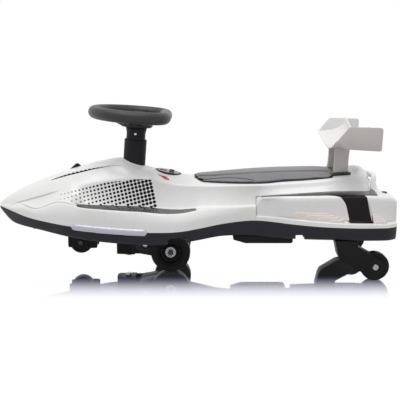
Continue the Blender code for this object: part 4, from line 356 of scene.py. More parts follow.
def applied(piece):
    # the piece with its modifiers turned into plain mesh
    bpy.context.view_layer.update()
    graph = bpy.context.evaluated_depsgraph_get()
    mesh = bpy.data.meshes.new_from_object(piece.evaluated_get(graph))
    piece.modifiers.clear()
    old = piece.data
    piece.data = mesh
    mesh.name = piece.name
    bpy.data.meshes.remove(old)
    return piece


def erase(*pieces):
    for piece in pieces:
        bpy.data.objects.remove(piece, do_unlink=True)


def twin(piece):
    return linked(piece.name, piece.data.copy())


def added(piece, kind, **settings):
    # a modifier on the piece, with its settings
    step = piece.modifiers.new(kind.lower(), kind)
    for key, value in settings.items():
        setattr(step, key, value)
    return step


def bevelled(piece, width, segments=2, angle=40, sharp=32):
    added(piece, "BEVEL", width=width, segments=segments, limit_method="ANGLE",
          angle_limit=math.radians(angle), use_clamp_overlap=True)
    return smoothed(applied(piece), sharp)


def carved(piece, *tools):
    for tool in tools:
        added(piece, "BOOLEAN", operation="DIFFERENCE", object=tool, solver="EXACT")
    applied(piece)
    erase(*tools)
    return smoothed(piece)


def ringObject(name, rings, look, sharp=32, wrap=False):
    # closed body through rings of equal length
    count = len(rings[0])
    rows = len(rings)
    faces = []
    for r in range(rows if wrap else rows - 1):
        here, there = r * count, (r + 1) % rows * count
        faces += [(here + c, here + (c + 1) % count, there + (c + 1) % count, there + c)
                  for c in range(count)]
    if not wrap:
        faces.append(tuple(range(count - 1, -1, -1)))
        faces.append(tuple(range((rows - 1) * count, rows * count)))
    return fromFaces(name, [v for ring in rings for v in ring], faces, look, sharp)


def circle(count, start=0.0):
    # cosine and sine of even turns round a circle
    angles = [2 * math.pi * (k + start) / count for k in range(count)]
    return [(math.cos(angle), math.sin(angle)) for angle in angles]


def roundBody(name, profile, axis, centre, look, segments=64, sharp=32):
    # body turned about an axis from (radius, distance along it) pairs
    turn = upward.rotation_difference(Vector(axis)).to_matrix()
    bm = bmesh.new()
    rows = []
    for radius, along in profile:
        count = segments if radius > 1e-7 else 1
        rows.append([bm.verts.new(turn @ Vector((radius * c, radius * s, along)) + Vector(centre))
                     for c, s in circle(segments)[:count]])
    for a, b in zip(rows, rows[1:] + rows[:1]):
        for i in range(segments):
            j = (i + 1) % segments
            corners = list(dict.fromkeys([a[i % len(a)], a[j % len(a)], b[j % len(b)], b[i % len(b)]]))
            if len(corners) > 2:
                bm.faces.new(corners)
    return fromBmesh(name, bm, look, sharp)


def box(left, right, low, high):
    return [(left, low), (right, low), (right, high), (left, high)]


def bend(a, b, c, t):
    # point at t on the curve from a to c that b pulls out
    return a * (1 - t) ** 2 + b * 2 * t * (1 - t) + c * t * t


def softened(profile, radius, steps=3, closed=True):
    # outline or profile with every corner rounded
    radii = radius if isinstance(radius, (list, tuple)) else [radius] * len(profile)
    result = []
    last = len(profile) - 1
    for i, corner in enumerate(profile):
        if radii[i] <= 0 or (not closed and i in (0, last)):
            result.append(tuple(corner))
            continue
        here = Vector(corner)
        before = Vector(profile[i - 1]) - here
        after = Vector(profile[(i + 1) % len(profile)]) - here
        half = before.angle(after) / 2
        cut = min(radii[i] / max(math.tan(half), 1e-3), before.length * 0.48, after.length * 0.48)
        start = here + before.normalized() * cut
        end = here + after.normalized() * cut
        result += [tuple(bend(start, here, end, k / steps)) for k in range(steps + 1)]
    return result


planes = {"XZ": lambda u, v, w: (u, w, v), "XY": lambda u, v, w: (u, v, w)}


def pushed(name, outline, low, high, plane, look, edge=0.0, segments=2, matrix=None):
    # outline pushed from low to high, with rounded edges
    rings = [[Vector(planes[plane](u, v, level)) for u, v in outline] for level in (low, high)]
    made = ringObject(name, rings, look)
    if matrix is not None:
        made.data.transform(matrix)
    return bevelled(made, edge, segments) if edge > 0 else made


def dressed(nodeName, look, width, segments=2):
    # a copy of a CAD node with its edges rounded, in its place
    source = frame["nodes"][nodeName]
    bm = bmesh.new()
    bm.from_mesh(source.data)
    bmesh.ops.remove_doubles(bm, verts=bm.verts, dist=2e-6)
    bmesh.ops.dissolve_limit(bm, angle_limit=math.radians(1.5), verts=bm.verts, edges=bm.edges)
    made = bevelled(fromBmesh("own_" + nodeName, bm, look, 35, closed=False), width, segments, 35, 40)
    return mount(made, source["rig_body"], nodeName)


def joinedUp(name, parts):
    # several meshes of one finish as one piece
    bm = bmesh.new()
    for part in parts:
        bm.from_mesh(part.data)
    look = parts[0].data.materials[0].name
    erase(*parts)
    return fromBmesh(name, bm, look, closed=False)


def makeScatterTree():
    # one geometry-nodes tree that sets copies of a small item on marked points
    tree = bpy.data.node_groups.new("setCopies", "GeometryNodeTree")
    for name, kind in (("Points", "Geometry"), ("Item", "Object"), ("Size", "Float"), ("Finish", "Material")):
        tree.interface.new_socket(name, in_out="INPUT", socket_type="NodeSocket" + kind)
    tree.interface.new_socket("Copies", in_out="OUTPUT", socket_type="NodeSocketGeometry")
    start = tree.nodes.new("NodeGroupInput").outputs
    end = tree.nodes.new("NodeGroupOutput")
    item = node(tree, "GeometryNodeObjectInfo", {"Object": start["Item"]}).outputs["Geometry"]
    facing, along, share = [
        node(tree, "GeometryNodeInputNamedAttribute", {"Name": name}, data_type=kind).outputs[0]
        for name, kind in (("facing", "FLOAT_VECTOR"), ("along", "FLOAT_VECTOR"), ("share", "FLOAT"))]
    up = node(tree, "FunctionNodeAlignRotationToVector", {"Vector": facing}, axis="Z").outputs[0]
    turn = node(tree, "FunctionNodeAlignRotationToVector", {"Rotation": up, "Vector": along}, axis="X",
                pivot_axis="Z").outputs[0]
    size = calc(tree, "MULTIPLY", share, start["Size"])
    copies = node(tree, "GeometryNodeInstanceOnPoints", {"Points": start["Points"], "Instance": item,
                                                         "Rotation": turn, "Scale": size}).outputs[0]
    plain = node(tree, "GeometryNodeRealizeInstances", {"Geometry": copies}).outputs[0]
    painted = node(tree, "GeometryNodeSetMaterial", {"Geometry": plain, "Material": start["Finish"]})
    tree.links.new(painted.outputs[0], end.inputs[0])
    return tree


scatterTree = makeScatterTree()


def scattered(name, spots, item, look, body):
    # spots are (point, facing, along, share); the item is used up
    mesh = bpy.data.meshes.new(name)
    mesh.from_pydata([tuple(p[0]) for p in spots], [], [])
    for k, label in ((1, "facing"), (2, "along")):
        mark = mesh.attributes.new(label, "FLOAT_VECTOR", "POINT")
        mark.data.foreach_set("vector", [c for p in spots for c in p[k]])
    mesh.attributes.new("share", "FLOAT", "POINT").data.foreach_set("value", [p[3] for p in spots])
    made = linked(name, mesh)
    step = added(made, "NODES", node_group=scatterTree)
    ids = {s.name: s.identifier for s in scatterTree.interface.items_tree if s.in_out == "INPUT"}
    step[ids["Item"]] = item
    step[ids["Size"]] = 1.0
    step[ids["Finish"]] = looks[look]
    applied(made)
    if not made.data.materials:
        made.data.materials.append(looks[look])
    erase(item)
    return mount(smoothed(made), body)


# outlines of the body: (distance behind the nose, value)
bodyLines = {
    "top": ((0, 0.1645), (0.015, 0.178), (0.049, 0.199), (0.117, 0.2297), (0.187, 0.2547), (0.262, 0.274),
            (0.318, 0.283), (0.345, 0.277), (0.38, 0.262), (0.417, 0.2515), (0.47, 0.2413), (0.512, 0.236),
            (0.56, 0.2325), (0.6, 0.2312), (0.68, 0.233), (0.75, 0.237), (0.845, 0.246), (0.902, 0.2485),
            (0.912, 0.255), (0.926, 0.2617), (0.936, 0.261), (0.946, 0.252), (0.956, 0.239)),
    "shoulder": ((0, 0.163), (0.0235, 0.1655), (0.057, 0.1745), (0.097, 0.19), (0.131, 0.2017),
                 (0.169, 0.2108), (0.205, 0.2178), (0.25, 0.2294), (0.3, 0.236), (0.365, 0.242),
                 (0.4, 0.2405), (0.418, 0.234), (0.439, 0.2281), (0.47, 0.2232), (0.52, 0.2222),
                 (0.597, 0.2245), (0.683, 0.2272), (0.723, 0.2322), (0.785, 0.2359), (0.833, 0.2399),
                 (0.881, 0.247), (0.915, 0.25), (0.938, 0.244), (0.956, 0.229)),
    "shoulderWidth": ((0, 0.004), (0.0235, 0.022), (0.057, 0.042), (0.097, 0.059), (0.131, 0.07),
                      (0.169, 0.08), (0.205, 0.085), (0.25, 0.085), (0.372, 0.075), (0.42, 0.07),
                      (0.47, 0.07), (0.52, 0.075), (0.6, 0.085), (0.7, 0.091), (0.88, 0.09), (0.915, 0.084),
                      (0.938, 0.062), (0.956, 0.018)),
    "lip": ((0, 0.16), (0.04, 0.1635), (0.082, 0.169), (0.109, 0.1668), (0.137, 0.1743), (0.164, 0.186),
            (0.183, 0.1905), (0.207, 0.1885), (0.224, 0.1845), (0.283, 0.1818), (0.343, 0.1784),
            (0.379, 0.1765), (0.426, 0.1715), (0.469, 0.1692), (0.498, 0.1708), (0.534, 0.1745),
            (0.6, 0.175), (0.66, 0.1766)),
    "lipWidth": ((0, 0.0065), (0.0235, 0.027), (0.04, 0.0405), (0.082, 0.0735), (0.109, 0.0925),
                 (0.137, 0.105), (0.183, 0.127), (0.207, 0.141), (0.224, 0.152), (0.247, 0.164),
                 (0.283, 0.171), (0.343, 0.175), (0.426, 0.172), (0.469, 0.161), (0.498, 0.146),
                 (0.534, 0.124), (0.574, 0.112), (0.66, 0.1)),
    "ledgeWidth": ((0, 0.001), (0.06, 0.004), (0.2, 0.0065), (0.218, 0.022), (0.235, 0.045), (0.275, 0.059),
                   (0.343, 0.072), (0.379, 0.075), (0.435, 0.068), (0.485, 0.053), (0.528, 0.028),
                   (0.56, 0.014), (0.6, 0.009), (0.66, 0.006)),
    "ledgeDrop": ((0, -0.0008), (0.06, -0.003), (0.2, -0.002), (0.228, 0.003), (0.3, 0.004), (0.534, 0.004),
                  (0.574, 0.0015), (0.66, 0.0006)),
    "belt": ((0, 0.1575), (0.034, 0.153), (0.094, 0.143), (0.148, 0.139), (0.2, 0.136), (0.282, 0.1315),
             (0.403, 0.127), (0.45, 0.127), (0.522, 0.131), (0.66, 0.139), (0.746, 0.136), (0.848, 0.133),
             (0.9985, 0.135)),
    "beltWidth": ((0, 0.007), (0.034, 0.042), (0.094, 0.092), (0.148, 0.127), (0.2, 0.155), (0.282, 0.177),
                  (0.36, 0.187), (0.43, 0.19), (0.48, 0.181), (0.522, 0.159), (0.58, 0.124), (0.66, 0.105),
                  (0.7, 0.117), (0.746, 0.136), (0.789, 0.15), (0.848, 0.162), (0.93, 0.173), (0.968, 0.173),
                  (0.988, 0.166), (0.9985, 0.154)),
    "floor": ((0, 0.153), (0.015, 0.137), (0.045, 0.12), (0.121, 0.115), (0.199, 0.1075), (0.282, 0.0995),
              (0.403, 0.095), (0.503, 0.0995), (0.571, 0.1025), (0.697, 0.097), (0.846, 0.1005),
              (0.9985, 0.102)),
    "cowlBase": ((0.66, 0.198), (0.719, 0.2054), (0.7925, 0.2106), (0.8785, 0.2148), (0.956, 0.212),
                 (0.97, 0.2118), (0.988, 0.2085), (0.9985, 0.2015)),
    "cowlBaseWidth": ((0.66, 0.0872), (0.69, 0.1), (0.75, 0.108), (0.88, 0.11), (0.915, 0.105),
                      (0.93, 0.101), (0.94, 0.091), (0.948, 0.072), (0.9525, 0.05), (0.956, 0.022)),
    "podTop": ((0.66, 0.196), (0.68, 0.1985), (0.74, 0.2026), (0.838, 0.2064), (0.93, 0.2088),
               (0.975, 0.2075), (0.99, 0.2045), (0.9985, 0.1985)),
    "podTopWidth": ((0.66, 0.0965), (0.68, 0.1085), (0.74, 0.1225), (0.79, 0.13), (0.838, 0.135),
                    (0.93, 0.145), (0.975, 0.149), (0.9985, 0.138)),
    "podFoot": ((0.66, 0.15), (0.747, 0.1486), (0.79, 0.147), (0.872, 0.144), (0.9985, 0.145))}
outlineBlur = {"top": 0.005, "shoulder": 0.006, "shoulderWidth": 0.003, "cowlBaseWidth": 0.002, "lip": 0.005,
               "ledgeWidth": 0.004, "ledgeDrop": 0.005}
outlinePitch = 0.0005


def smoothLine(points, blur):
    # the outline through its points without overshoot, then slightly blurred along its length
    knots, values = np.array(points, float).T
    steps = np.diff(knots)
    slopes = np.diff(values) / steps
    tangents = np.concatenate([slopes[:1], np.zeros(len(knots) - 2), slopes[-1:]])
    early = 2 * steps[1:] + steps[:-1]
    late = steps[1:] + 2 * steps[:-1]
    same = slopes[:-1] * slopes[1:] > 0
    first = np.where(same, slopes[:-1], 1)
    second = np.where(same, slopes[1:], 1)
    tangents[1:-1] = np.where(same, (early + late) / (early / first + late / second), 0)
    fine = np.linspace(knots[0], knots[-1], int(round((knots[-1] - knots[0]) / outlinePitch)) + 1)
    i = np.clip(np.searchsorted(knots, fine, side="right") - 1, 0, len(knots) - 2)
    t = (fine - knots[i]) / steps[i]
    curve = ((1 + 2 * t) * (1 - t) ** 2 * values[i] + t * (1 - t) ** 2 * steps[i] * tangents[i]
             + t * t * (3 - 2 * t) * values[i + 1] + t * t * (t - 1) * steps[i] * tangents[i + 1])
    reach = int(3 * blur / outlinePitch)
    longer = np.concatenate([2 * curve[0] - curve[reach:0:-1], curve,
                             2 * curve[-1] - curve[-2:-reach - 2:-1]])
    kernel = np.exp(-0.5 * (np.arange(-reach, reach + 1) * outlinePitch / blur) ** 2)
    return fine, np.convolve(longer, kernel / kernel.sum(), "valid")


smoothLines = {name: smoothLine(points, outlineBlur.get(name, 0.008)) for name, points in bodyLines.items()}


def lineAt(name, x):
    return float(np.interp(x - nose, *smoothLines[name]))


def resampled(path, count, start=0.0, end=0.0):
    # evenly spaced points along a path, less a trim at each end
    steps = np.hypot(*np.diff(path, axis=0).T)
    run = np.concatenate([[0], np.cumsum(steps)])
    spots = np.linspace(min(start, run[-1] * 0.45), run[-1] - min(end, run[-1] * 0.45), count)
    return np.stack([np.interp(spots, run, path[:, k]) for k in (0, 1)], 1)


def chained(paths, counts, radii, arc=5):
    # paths that meet end to end as one line, each meeting rounded
    result = []
    for k, (path, count) in enumerate(zip(paths, counts)):
        path = np.array(path, float)
        lead = radii[k - 1] if k else 0
        part = resampled(path, count, lead, radii[k] if k < len(paths) - 1 else 0)
        if k and lead > 0:
            before = result[-1]
            result += [bend(before, path[0], part[0], t) for t in np.linspace(0, 1, arc + 2)[1:-1]]
        elif k:
            part = part[1:]
        result.extend(part)
    return np.array(result)


def between(before, a, b, after, t):
    # point at t of a smooth curve from a to b, with its neighbours before and after
    return 0.5 * (2 * a + (b - before) * t + (2 * before - 5 * a + 4 * b - after) * t * t
                  + (3 * a - before - 3 * b + after) * t ** 3)


def throughPoints(points, count=10):
    p = np.array(points, float)
    p = np.vstack([2 * p[0] - p[1], p, 2 * p[-1] - p[-2]])
    result = [between(*p[i - 1:i + 3], t) for i in range(1, len(p) - 2)
              for t in np.linspace(0, 1, count, endpoint=False)]
    return np.array(result + [p[-2]])


# front shell and seat cowl
shellShape = {"waist": 0.66, "cowlEnd": 0.956, "crown": 2.2, "hollow": 0.004, "deckRows": 18, "wallRows": 12,
              "footRows": 6, "ledgeRows": 5, "fenderRows": 18, "shoulderRadius": 0.005, "footRadius": 0.004,
              "lipRadius": 0.0045, "cowlRadius": 0.008, "noseRadius": 0.002, "endRadius": 0.0035}
waistX = nose + shellShape["waist"]
cowlEndX = nose + shellShape["cowlEnd"]
tailX = nose + 0.9985


def deckAt(x, share):
    # height of the crowned deck at a share of its half width
    low = lineAt("shoulder", x)
    return low + (lineAt("top", x) - low) * (1 - share ** shellShape["crown"])


def deckHeight(x, y):
    return deckAt(x, min(abs(y) / lineAt("shoulderWidth", x), 1))


def onDeck(x, y, lift):
    return Vector((x, y, deckHeight(x, y) + lift))


def deckPath(x):
    share = np.linspace(0, 1, 24)
    return np.stack([lineAt("shoulderWidth", x) * share, deckAt(x, share)], 1)


def shellSection(x):
    # right half: deck, wall, footwell, fender
    s = shellShape
    near = min(1, max(0.02, (x - nose) / 0.06))
    deck = deckPath(x)
    lip = np.array((lineAt("lipWidth", x), lineAt("lip", x)))
    base = lip - (lineAt("ledgeWidth", x), lineAt("ledgeDrop", x))
    shoulder = deck[-1]
    t = np.linspace(0, 1, 20)[:, None]
    sag = s["hollow"] * min(1, max(0, (x - nose - 0.02) / 0.1)) * 4 * t * (1 - t)
    wall = shoulder + (base - shoulder) * t - sag * (1, 0)
    split = 11
    rise = min(0.004, (lip[0] - base[0]) * 0.4)
    step = np.array((lip[0] - rise, base[1] + min(0, (lip[1] - base[1]) * 0.5)))
    belt = np.array((lineAt("beltWidth", x), lineAt("belt", x) + 0.0004))
    fender = throughPoints([lip, lip + (belt - lip) * (0.36, 0.08), lip + (belt - lip) * (0.8, 0.43), belt])
    under = [belt, belt - (min(0.003, belt[0] * 0.4), 0)]
    return chained([deck, wall[:split + 1], wall[split:], [base, step], [step, lip], fender, under],
                   [s["deckRows"], s["wallRows"], s["footRows"], s["ledgeRows"], 2, s["fenderRows"], 2],
                   [s["shoulderRadius"] * (0.3 + 0.7 * near), 0, s["footRadius"] * near, 0.0016 * near,
                    s["lipRadius"] * (0.15 + 0.85 * near), 0.0008])


def cowlSection(x):
    # right half: deck and side of the seat cowl
    s = shellShape
    deck = deckPath(x)
    base = np.array((lineAt("cowlBaseWidth", x), lineAt("cowlBase", x)))
    middle = (deck[-1] + base) / 2 - (0.0025, 0)
    blend = min(1, (x - waistX) / 0.08)
    radius = s["shoulderRadius"] * (1 - blend) + s["cowlRadius"] * blend
    wall = throughPoints([deck[-1], middle, base], 8)
    return chained([deck, wall], [s["deckRows"], s["wallRows"]], [radius])


def stations(first, last, step, dense=()):
    # places along X, with finer stretches
    result = [first]
    while result[-1] < last - 1e-6:
        here = result[-1]
        pitch = min([step] + [fine for low, high, fine in dense if low <= here < high])
        result.append(min(here + pitch, last))
    return result


def makeGrid(section, spots):
    return {"x": np.array(spots), "yz": np.array([section(x) for x in spots])}


frontGrid = makeGrid(shellSection, stations(nose, waistX, 0.004, ((nose, nose + 0.05, 0.0015),
                                                                  (nose + 0.19, nose + 0.26, 0.002))))
cowlGrid = makeGrid(cowlSection, stations(waistX, cowlEndX, 0.004, ((cowlEndX - 0.065, cowlEndX, 0.0015),)))


def quarterRound(share):
    # how far a quarter circle of unit radius falls away at a share of its length
    return 1 - math.sqrt(max(1 - share * share, 0))


def roundedEnd(x, end, radius):
    # how far a section is drawn in near an end
    return radius * quarterRound(min(max((radius - abs(end - x)) / radius, 0), 1))


def drawnIn(half, amount, floorHeight):
    # half section drawn in towards its middle
    width = half[:, 0].max()
    top = half[:, 1].max()
    result = half.copy()
    result[:, 0] *= max(1 - amount / width, 0.05)
    result[:, 1] -= amount * np.clip((half[:, 1] - floorHeight) / max(top - floorHeight, 1e-4), 0, 1)
    return result


def bothSides(x, right, mirrored):
    return [Vector((x, y, z)) for y, z in right] + [Vector((x, -y, z)) for y, z in mirrored]


def makeFrontShell():
    verts = []
    rows = []

    def addStation(x, half):
        # a row holds pairs of vertex numbers, right and left, with one vertex at the top
        row = []
        for k, (y, z) in enumerate(half):
            right = len(verts)
            verts.extend([(x, y, z), (x, -y, z)] if k else [(x, y, z)])
            row.append((right, len(verts) - 1))
        rows.append(row)

    for x, half in zip(frontGrid["x"], frontGrid["yz"]):
        addStation(x, drawnIn(half, roundedEnd(x, nose, shellShape["noseRadius"]), half[:, 1].min()))
    waist = len(rows) - 1
    for x, half in zip(cowlGrid["x"][1:], cowlGrid["yz"][1:]):
        addStation(x, drawnIn(half, roundedEnd(x, cowlEndX, shellShape["endRadius"]), half[-1, 1]))
    faces = []
    for i, (here, there) in enumerate(zip(rows, rows[1:])):
        last = len(there if i >= waist else here) - 1
        for hand in (0, 1):
            faces += [(here[k][hand], here[k + 1][hand], there[k + 1][hand], there[k][hand])
                      for k in range(last)]
        faces.append((*here[last], *there[last][::-1]))

    def cap(row, first=0):
        mirrored = [left for right, left in row[:max(first - 1, 0):-1]]
        return tuple([right for right, left in row[first:]] + mirrored)

    faces += [cap(rows[0]), cap(rows[-1]), cap(rows[waist], len(rows[-1]) - 1)]
    mount(fromFaces("frontShell", verts, faces, "whiteMoulding", 30), "chassis", "body_shell")


makeFrontShell()
print("front shell ready")

# rear shell: covered deck, side recesses, ledges and tail
rearShape = {"fit": 0.0003, "deckRows": 10, "recessRows": 18, "footRows": 7, "podRadius": 0.005,
             "footRadius": 0.005, "podCorner": 0.022, "tailRadius": 0.0018, "gapHalf": 0.078,
             "gapFront": 0.9805, "gapFloor": 0.1505, "gapRadius": 0.006}
tailBow = (0.0115, 0.056)                # how far the hull's rear bends forwards, this far from its middle


def rearSection(x):
    # right half: covered deck, recess wall, its foot and the lip above the belt
    r = rearShape
    base = (lineAt("cowlBaseWidth", x), lineAt("cowlBase", x) - r["fit"])
    corner = roundedEnd(-x, -waistX, r["podCorner"])      # the front corner is rounded down to the waist
    top = np.array((lineAt("podTopWidth", x) - 0.3 * corner, lineAt("podTop", x) - 1.05 * corner))
    foot = lineAt("podFoot", x)
    beltWidth = lineAt("beltWidth", x)
    inner = min(top[0] + 0.006, beltWidth - 0.004)
    wall = throughPoints([top, (top[0] + (inner - top[0]) * 0.75, top[1] - 0.005), (inner, top[1] - 0.016),
                          (inner + 0.001, foot + 0.001)], 8)
    lip = (max(beltWidth - 0.0015, inner + 0.003), foot - 0.0004)
    belt = (beltWidth, lineAt("belt", x) + 0.0004)
    under = (beltWidth - 0.003, belt[1])
    flat = max(base[0] - 0.004, r["gapHalf"] + 0.0006)
    return chained([[(0, base[1]), (flat, base[1]), top], wall, [wall[-1], lip], [lip, belt], [belt, under]],
                   [r["deckRows"], r["recessRows"], r["footRows"], 5, 2],
                   [r["podRadius"], r["footRadius"], 0.0022, 0.0008])


rearGrid = makeGrid(rearSection, stations(waistX + 0.0003, tailX, 0.004, ((waistX, waistX + 0.024, 0.0012),
                                                                        (tailX - 0.03, tailX, 0.0015))))


def makeRearShell():
    rings = []
    for x, half in zip(rearGrid["x"], rearGrid["yz"]):
        half = drawnIn(half, roundedEnd(x, tailX, rearShape["tailRadius"]), half[-1, 1])
        rings.append(bothSides(x, half, half[:0:-1]))
    half = rearShape["gapHalf"]
    front = [(nose + rearShape["gapFront"] - tailBow[0] * (y / tailBow[1]) ** 2, y)
             for y in (-half + 2 * half * k / 32 for k in range(33))]
    corners = softened(front + [(tailX + 0.02, half), (tailX + 0.02, -half)],
                       [rearShape["gapRadius"]] + [0] * 31 + [rearShape["gapRadius"], 0, 0])
    tool = pushed("gapTool", corners, rearShape["gapFloor"], 0.24, "XY", "whiteMoulding")
    shell = carved(ringObject("rearShell", rings, "whiteMoulding", 30), tool)
    mount(bevelled(shell, 0.0014, 3, 60, 30), "chassis", "rear_shell")


# tray below the belt, with the wheel well, arches, notches and battery bay cut into it
trayShape = {"gap": 0.0006, "sideRows": 14, "floorRows": 6, "wellFront": 0.016, "wellRadius": 0.19,
             "wellSide": 0.0255, "wellTop": 0.115, "boxFront": 0.605, "boxLength": 0.15, "boxHalf": 0.09,
             "boxGap": 0.003, "outside": 0.21}
arch = {"front": 0.4395, "end": 0.488, "top": 0.114, "lean": (0.007, 0.002), "radii": (0.003, 0.006),
        "depthFrom": 0.488, "depth": 0.045}
notch = {"front": 0.756, "end": 0.778, "top": 0.111, "lean": (0, 0), "radii": (0.0015, 0.0015),
         "depthFrom": 0.756, "depth": 0.05}
axisX = nose + 0.3535
rake = math.radians(4.5)
columnAxis = Vector((math.sin(rake), 0, math.cos(rake)))


def onColumn(height):
    return Vector((axisX, 0, 0.3)) + columnAxis * ((height - 0.3) / columnAxis.z)


def traySection(x):
    t = trayShape
    width = lineAt("beltWidth", x) - t["gap"]
    top = lineAt("belt", x) - t["gap"]
    floor = lineAt("floor", x)
    depth = top - floor
    inset = min(0.01, width * 0.45)
    side = throughPoints([(width, top), (width - inset * 0.25, floor + depth * 0.45),
                          (width - inset * 0.55, floor + depth * 0.1), (width - inset, floor)], 8)
    return chained([side, [side[-1], (0, floor)]], [t["sideRows"], t["floorRows"]], [0.002], 3)


trayGrid = makeGrid(traySection, stations(nose, tailX, 0.005, ((nose, nose + 0.05, 0.002),
                                                              (tailX - 0.03, tailX, 0.0015))))


def wellTool():
    # the wheel well is a disc round the column, as wide as the tray allows
    t = trayShape
    centre = onColumn(lineAt("floor", axisX)).x
    rings = []
    for x in stations(centre + t["wellFront"], centre + t["wellRadius"], 0.006):
        reach = math.sqrt(max(t["wellRadius"] ** 2 - (x - centre) ** 2, 0.001))
        y = min(reach, lineAt("beltWidth", x) - t["wellSide"])
        section = softened(box(-y, y, 0.07, t["wellTop"]), [0, 0, 0.004, 0.004])
        rings.append([Vector((x, u, v)) for u, v in section])
    return ringObject("wellTool", rings, "greyTray")


def sideTool(name, cut, side):
    front, end = nose + cut["front"], nose + cut["end"]
    outline = softened([(front, 0.08), (end, 0.08), (end, cut["top"]),
                        (front + cut["lean"][0], cut["top"] - cut["lean"][1])], [0, 0, *cut["radii"]])
    inner = lineAt("beltWidth", nose + cut["depthFrom"]) - cut["depth"]
    return pushed(name, outline, *sorted((side * inner, side * trayShape["outside"])), "XZ", "greyTray")


def makeTray():
    t = trayShape
    rings = []
    for x, half in zip(trayGrid["x"], trayGrid["yz"]):
        amount = roundedEnd(x, tailX, rearShape["tailRadius"]) + roundedEnd(x, nose, shellShape["noseRadius"])
        half = half.copy()
        half[:, 0] *= max(1 - amount / half[0, 0], 0.05)
        rings.append(bothSides(x, half, half[-2::-1]))
    tools = [wellTool()]
    for side, hand in hands:
        tools += [sideTool("archTool" + hand, arch, side), sideTool("notchTool" + hand, notch, side)]
    front = nose + t["boxFront"]
    half = t["boxHalf"] - t["boxGap"]
    bay = box(front + t["boxGap"], front + t["boxLength"] - t["boxGap"], -half, half)
    tools.append(pushed("bayTool", bay, 0.07, 0.118, "XY", "greyTray"))
    tray = carved(ringObject("tray", rings, "greyTray", 30), *tools)
    mount(smoothed(tray, 30), "chassis", "chassis_tray")


makeRearShell()
makeTray()
print("rear shell and tray ready")


# plates that lie on the shells
def gridPoint(grid, x, row):
    # (half width, height) of a section at any x and fractional row
    x = min(max(x, grid["x"][0]), grid["x"][-1])
    i = min(max(int(np.searchsorted(grid["x"], x, side="right")) - 1, 0), len(grid["x"]) - 2)
    t = (x - grid["x"][i]) / (grid["x"][i + 1] - grid["x"][i])
    row = min(max(row, 0), grid["yz"].shape[1] - 1)
    k = min(int(row), grid["yz"].shape[1] - 2)
    near, far = [grid["yz"][j, k] * (1 - row + k) + grid["yz"][j, k + 1] * (row - k) for j in (i, i + 1)]
    return near * (1 - t) + far * t


def surfacePoint(grid, x, row, side=1):
    # point and outward direction on a shell
    here = gridPoint(grid, x, row)
    along = gridPoint(grid, x + 0.002, row) - gridPoint(grid, x - 0.002, row)
    across = gridPoint(grid, x, row + 0.4) - gridPoint(grid, x, row - 0.4)
    run = min(x + 0.002, grid["x"][-1]) - max(x - 0.002, grid["x"][0])
    normal = Vector((run, *along)).cross(Vector((0, *across)))
    if normal.length < 1e-12:
        normal = upward.copy()
    normal.normalize()
    if normal.z < -0.2 or (abs(normal.z) <= 0.2 and normal.y < 0):
        normal = -normal
    return Vector((x, side * here[0], here[1])), Vector((normal.x, side * normal.y, normal.z))


def rowWhere(grid, x, value, axis, first, last):
    # fractional row where a section passes a half width (axis 0) or a height (axis 1)
    values = [gridPoint(grid, x, row)[axis] for row in range(first, last + 1)]
    for k, (a, b) in enumerate(zip(values, values[1:])):
        if min(a, b) <= value <= max(a, b) and a != b:
            return first + k + (value - a) / (b - a)
    return last if abs(values[-1] - value) < abs(values[0] - value) else first


def skinPlate(name, grid, rows, front, back, side, thickness, lift, look, corner=0.0, size=(24, 12),
              edge=0.0004):
    # thin plate on a shell; front and back are functions of the share across, rows its first and last row
    along, across = size
    verts = []
    for j in range(across + 1):
        v = j / across
        cut = 0.0
        if corner:
            cut = corner[0] * quarterRound(min(max(abs(2 * v - 1) - (1 - corner[1]), 0) / corner[1], 1))
        for i in range(along + 1):
            u = i / along
            x = (front(v) + cut) * (1 - u) + (back(v) - cut) * u
            first, last = [row(x) if callable(row) else row for row in rows]
            point, out = surfacePoint(grid, x, first + (last - first) * v, side)
            under, over = (-0.0012, thickness(u)) if callable(thickness) else (lift, lift + thickness)
            verts += [point + out * under, point + out * over]

    def at(j, i, level):
        return 2 * (j * (along + 1) + i) + level

    faces = [(at(j, i, level), at(j, i + 1, level), at(j + 1, i + 1, level), at(j + 1, i, level))
             for j in range(across) for i in range(along) for level in (0, 1)]
    faces += [(at(j, i, 0), at(j + 1, i, 0), at(j + 1, i, 1), at(j, i, 1))
              for j in range(across) for i in (0, along)]
    faces += [(at(j, i, 0), at(j, i + 1, 0), at(j, i + 1, 1), at(j, i, 1))
              for j in (0, across) for i in range(along)]
    plate = fromFaces(name, verts, faces, look)
    return bevelled(plate, edge, 2, 50) if edge else plate


arcRows = 5                                            # rows of each rounded meeting
wallFirst = shellShape["deckRows"] + arcRows           # first row of the wall, below the shoulder's rounding
splitRow = wallFirst + shellShape["wallRows"] - 1
baseRow = splitRow + shellShape["footRows"] + arcRows  # first row of the footplate, past the fillet
lipRow = baseRow + shellShape["ledgeRows"] - 1
deckLast = shellShape["deckRows"] - 1
podFirst = rearShape["deckRows"] + arcRows
podLast = podFirst + rearShape["recessRows"] - 1

# trim that lies on the shells
footPlate = {"front": 0.2165, "end": 0.514, "thickness": 0.0016}
sideBand = {"topFront": 0.868, "topEnd": 0.92, "footFront": 0.884, "footEnd": 0.9425, "corner": 0.034,
            "cornerShare": 0.5, "thickness": 0.0009, "gap": 0.0004}
ledgeStrip = {"front": 0.672, "end": 0.9545, "thickness": 0.0009}
podPanel = {"front": 0.678, "thickness": 0.002, "sunk": 0.0007, "taper": 0.32, "end": 0.991, "tailCut": 0.012}
ribs = {"top": 0.1655, "pitch": 0.0047, "reach": 0.0031, "count": 4, "frontStart": 0.7475, "frontStep": 0.029,
        "frontEnd": 0.841, "frontEndStep": 0.0105, "backEnd": 0.9595, "backEndStep": 0.0048, "round": 0.01}


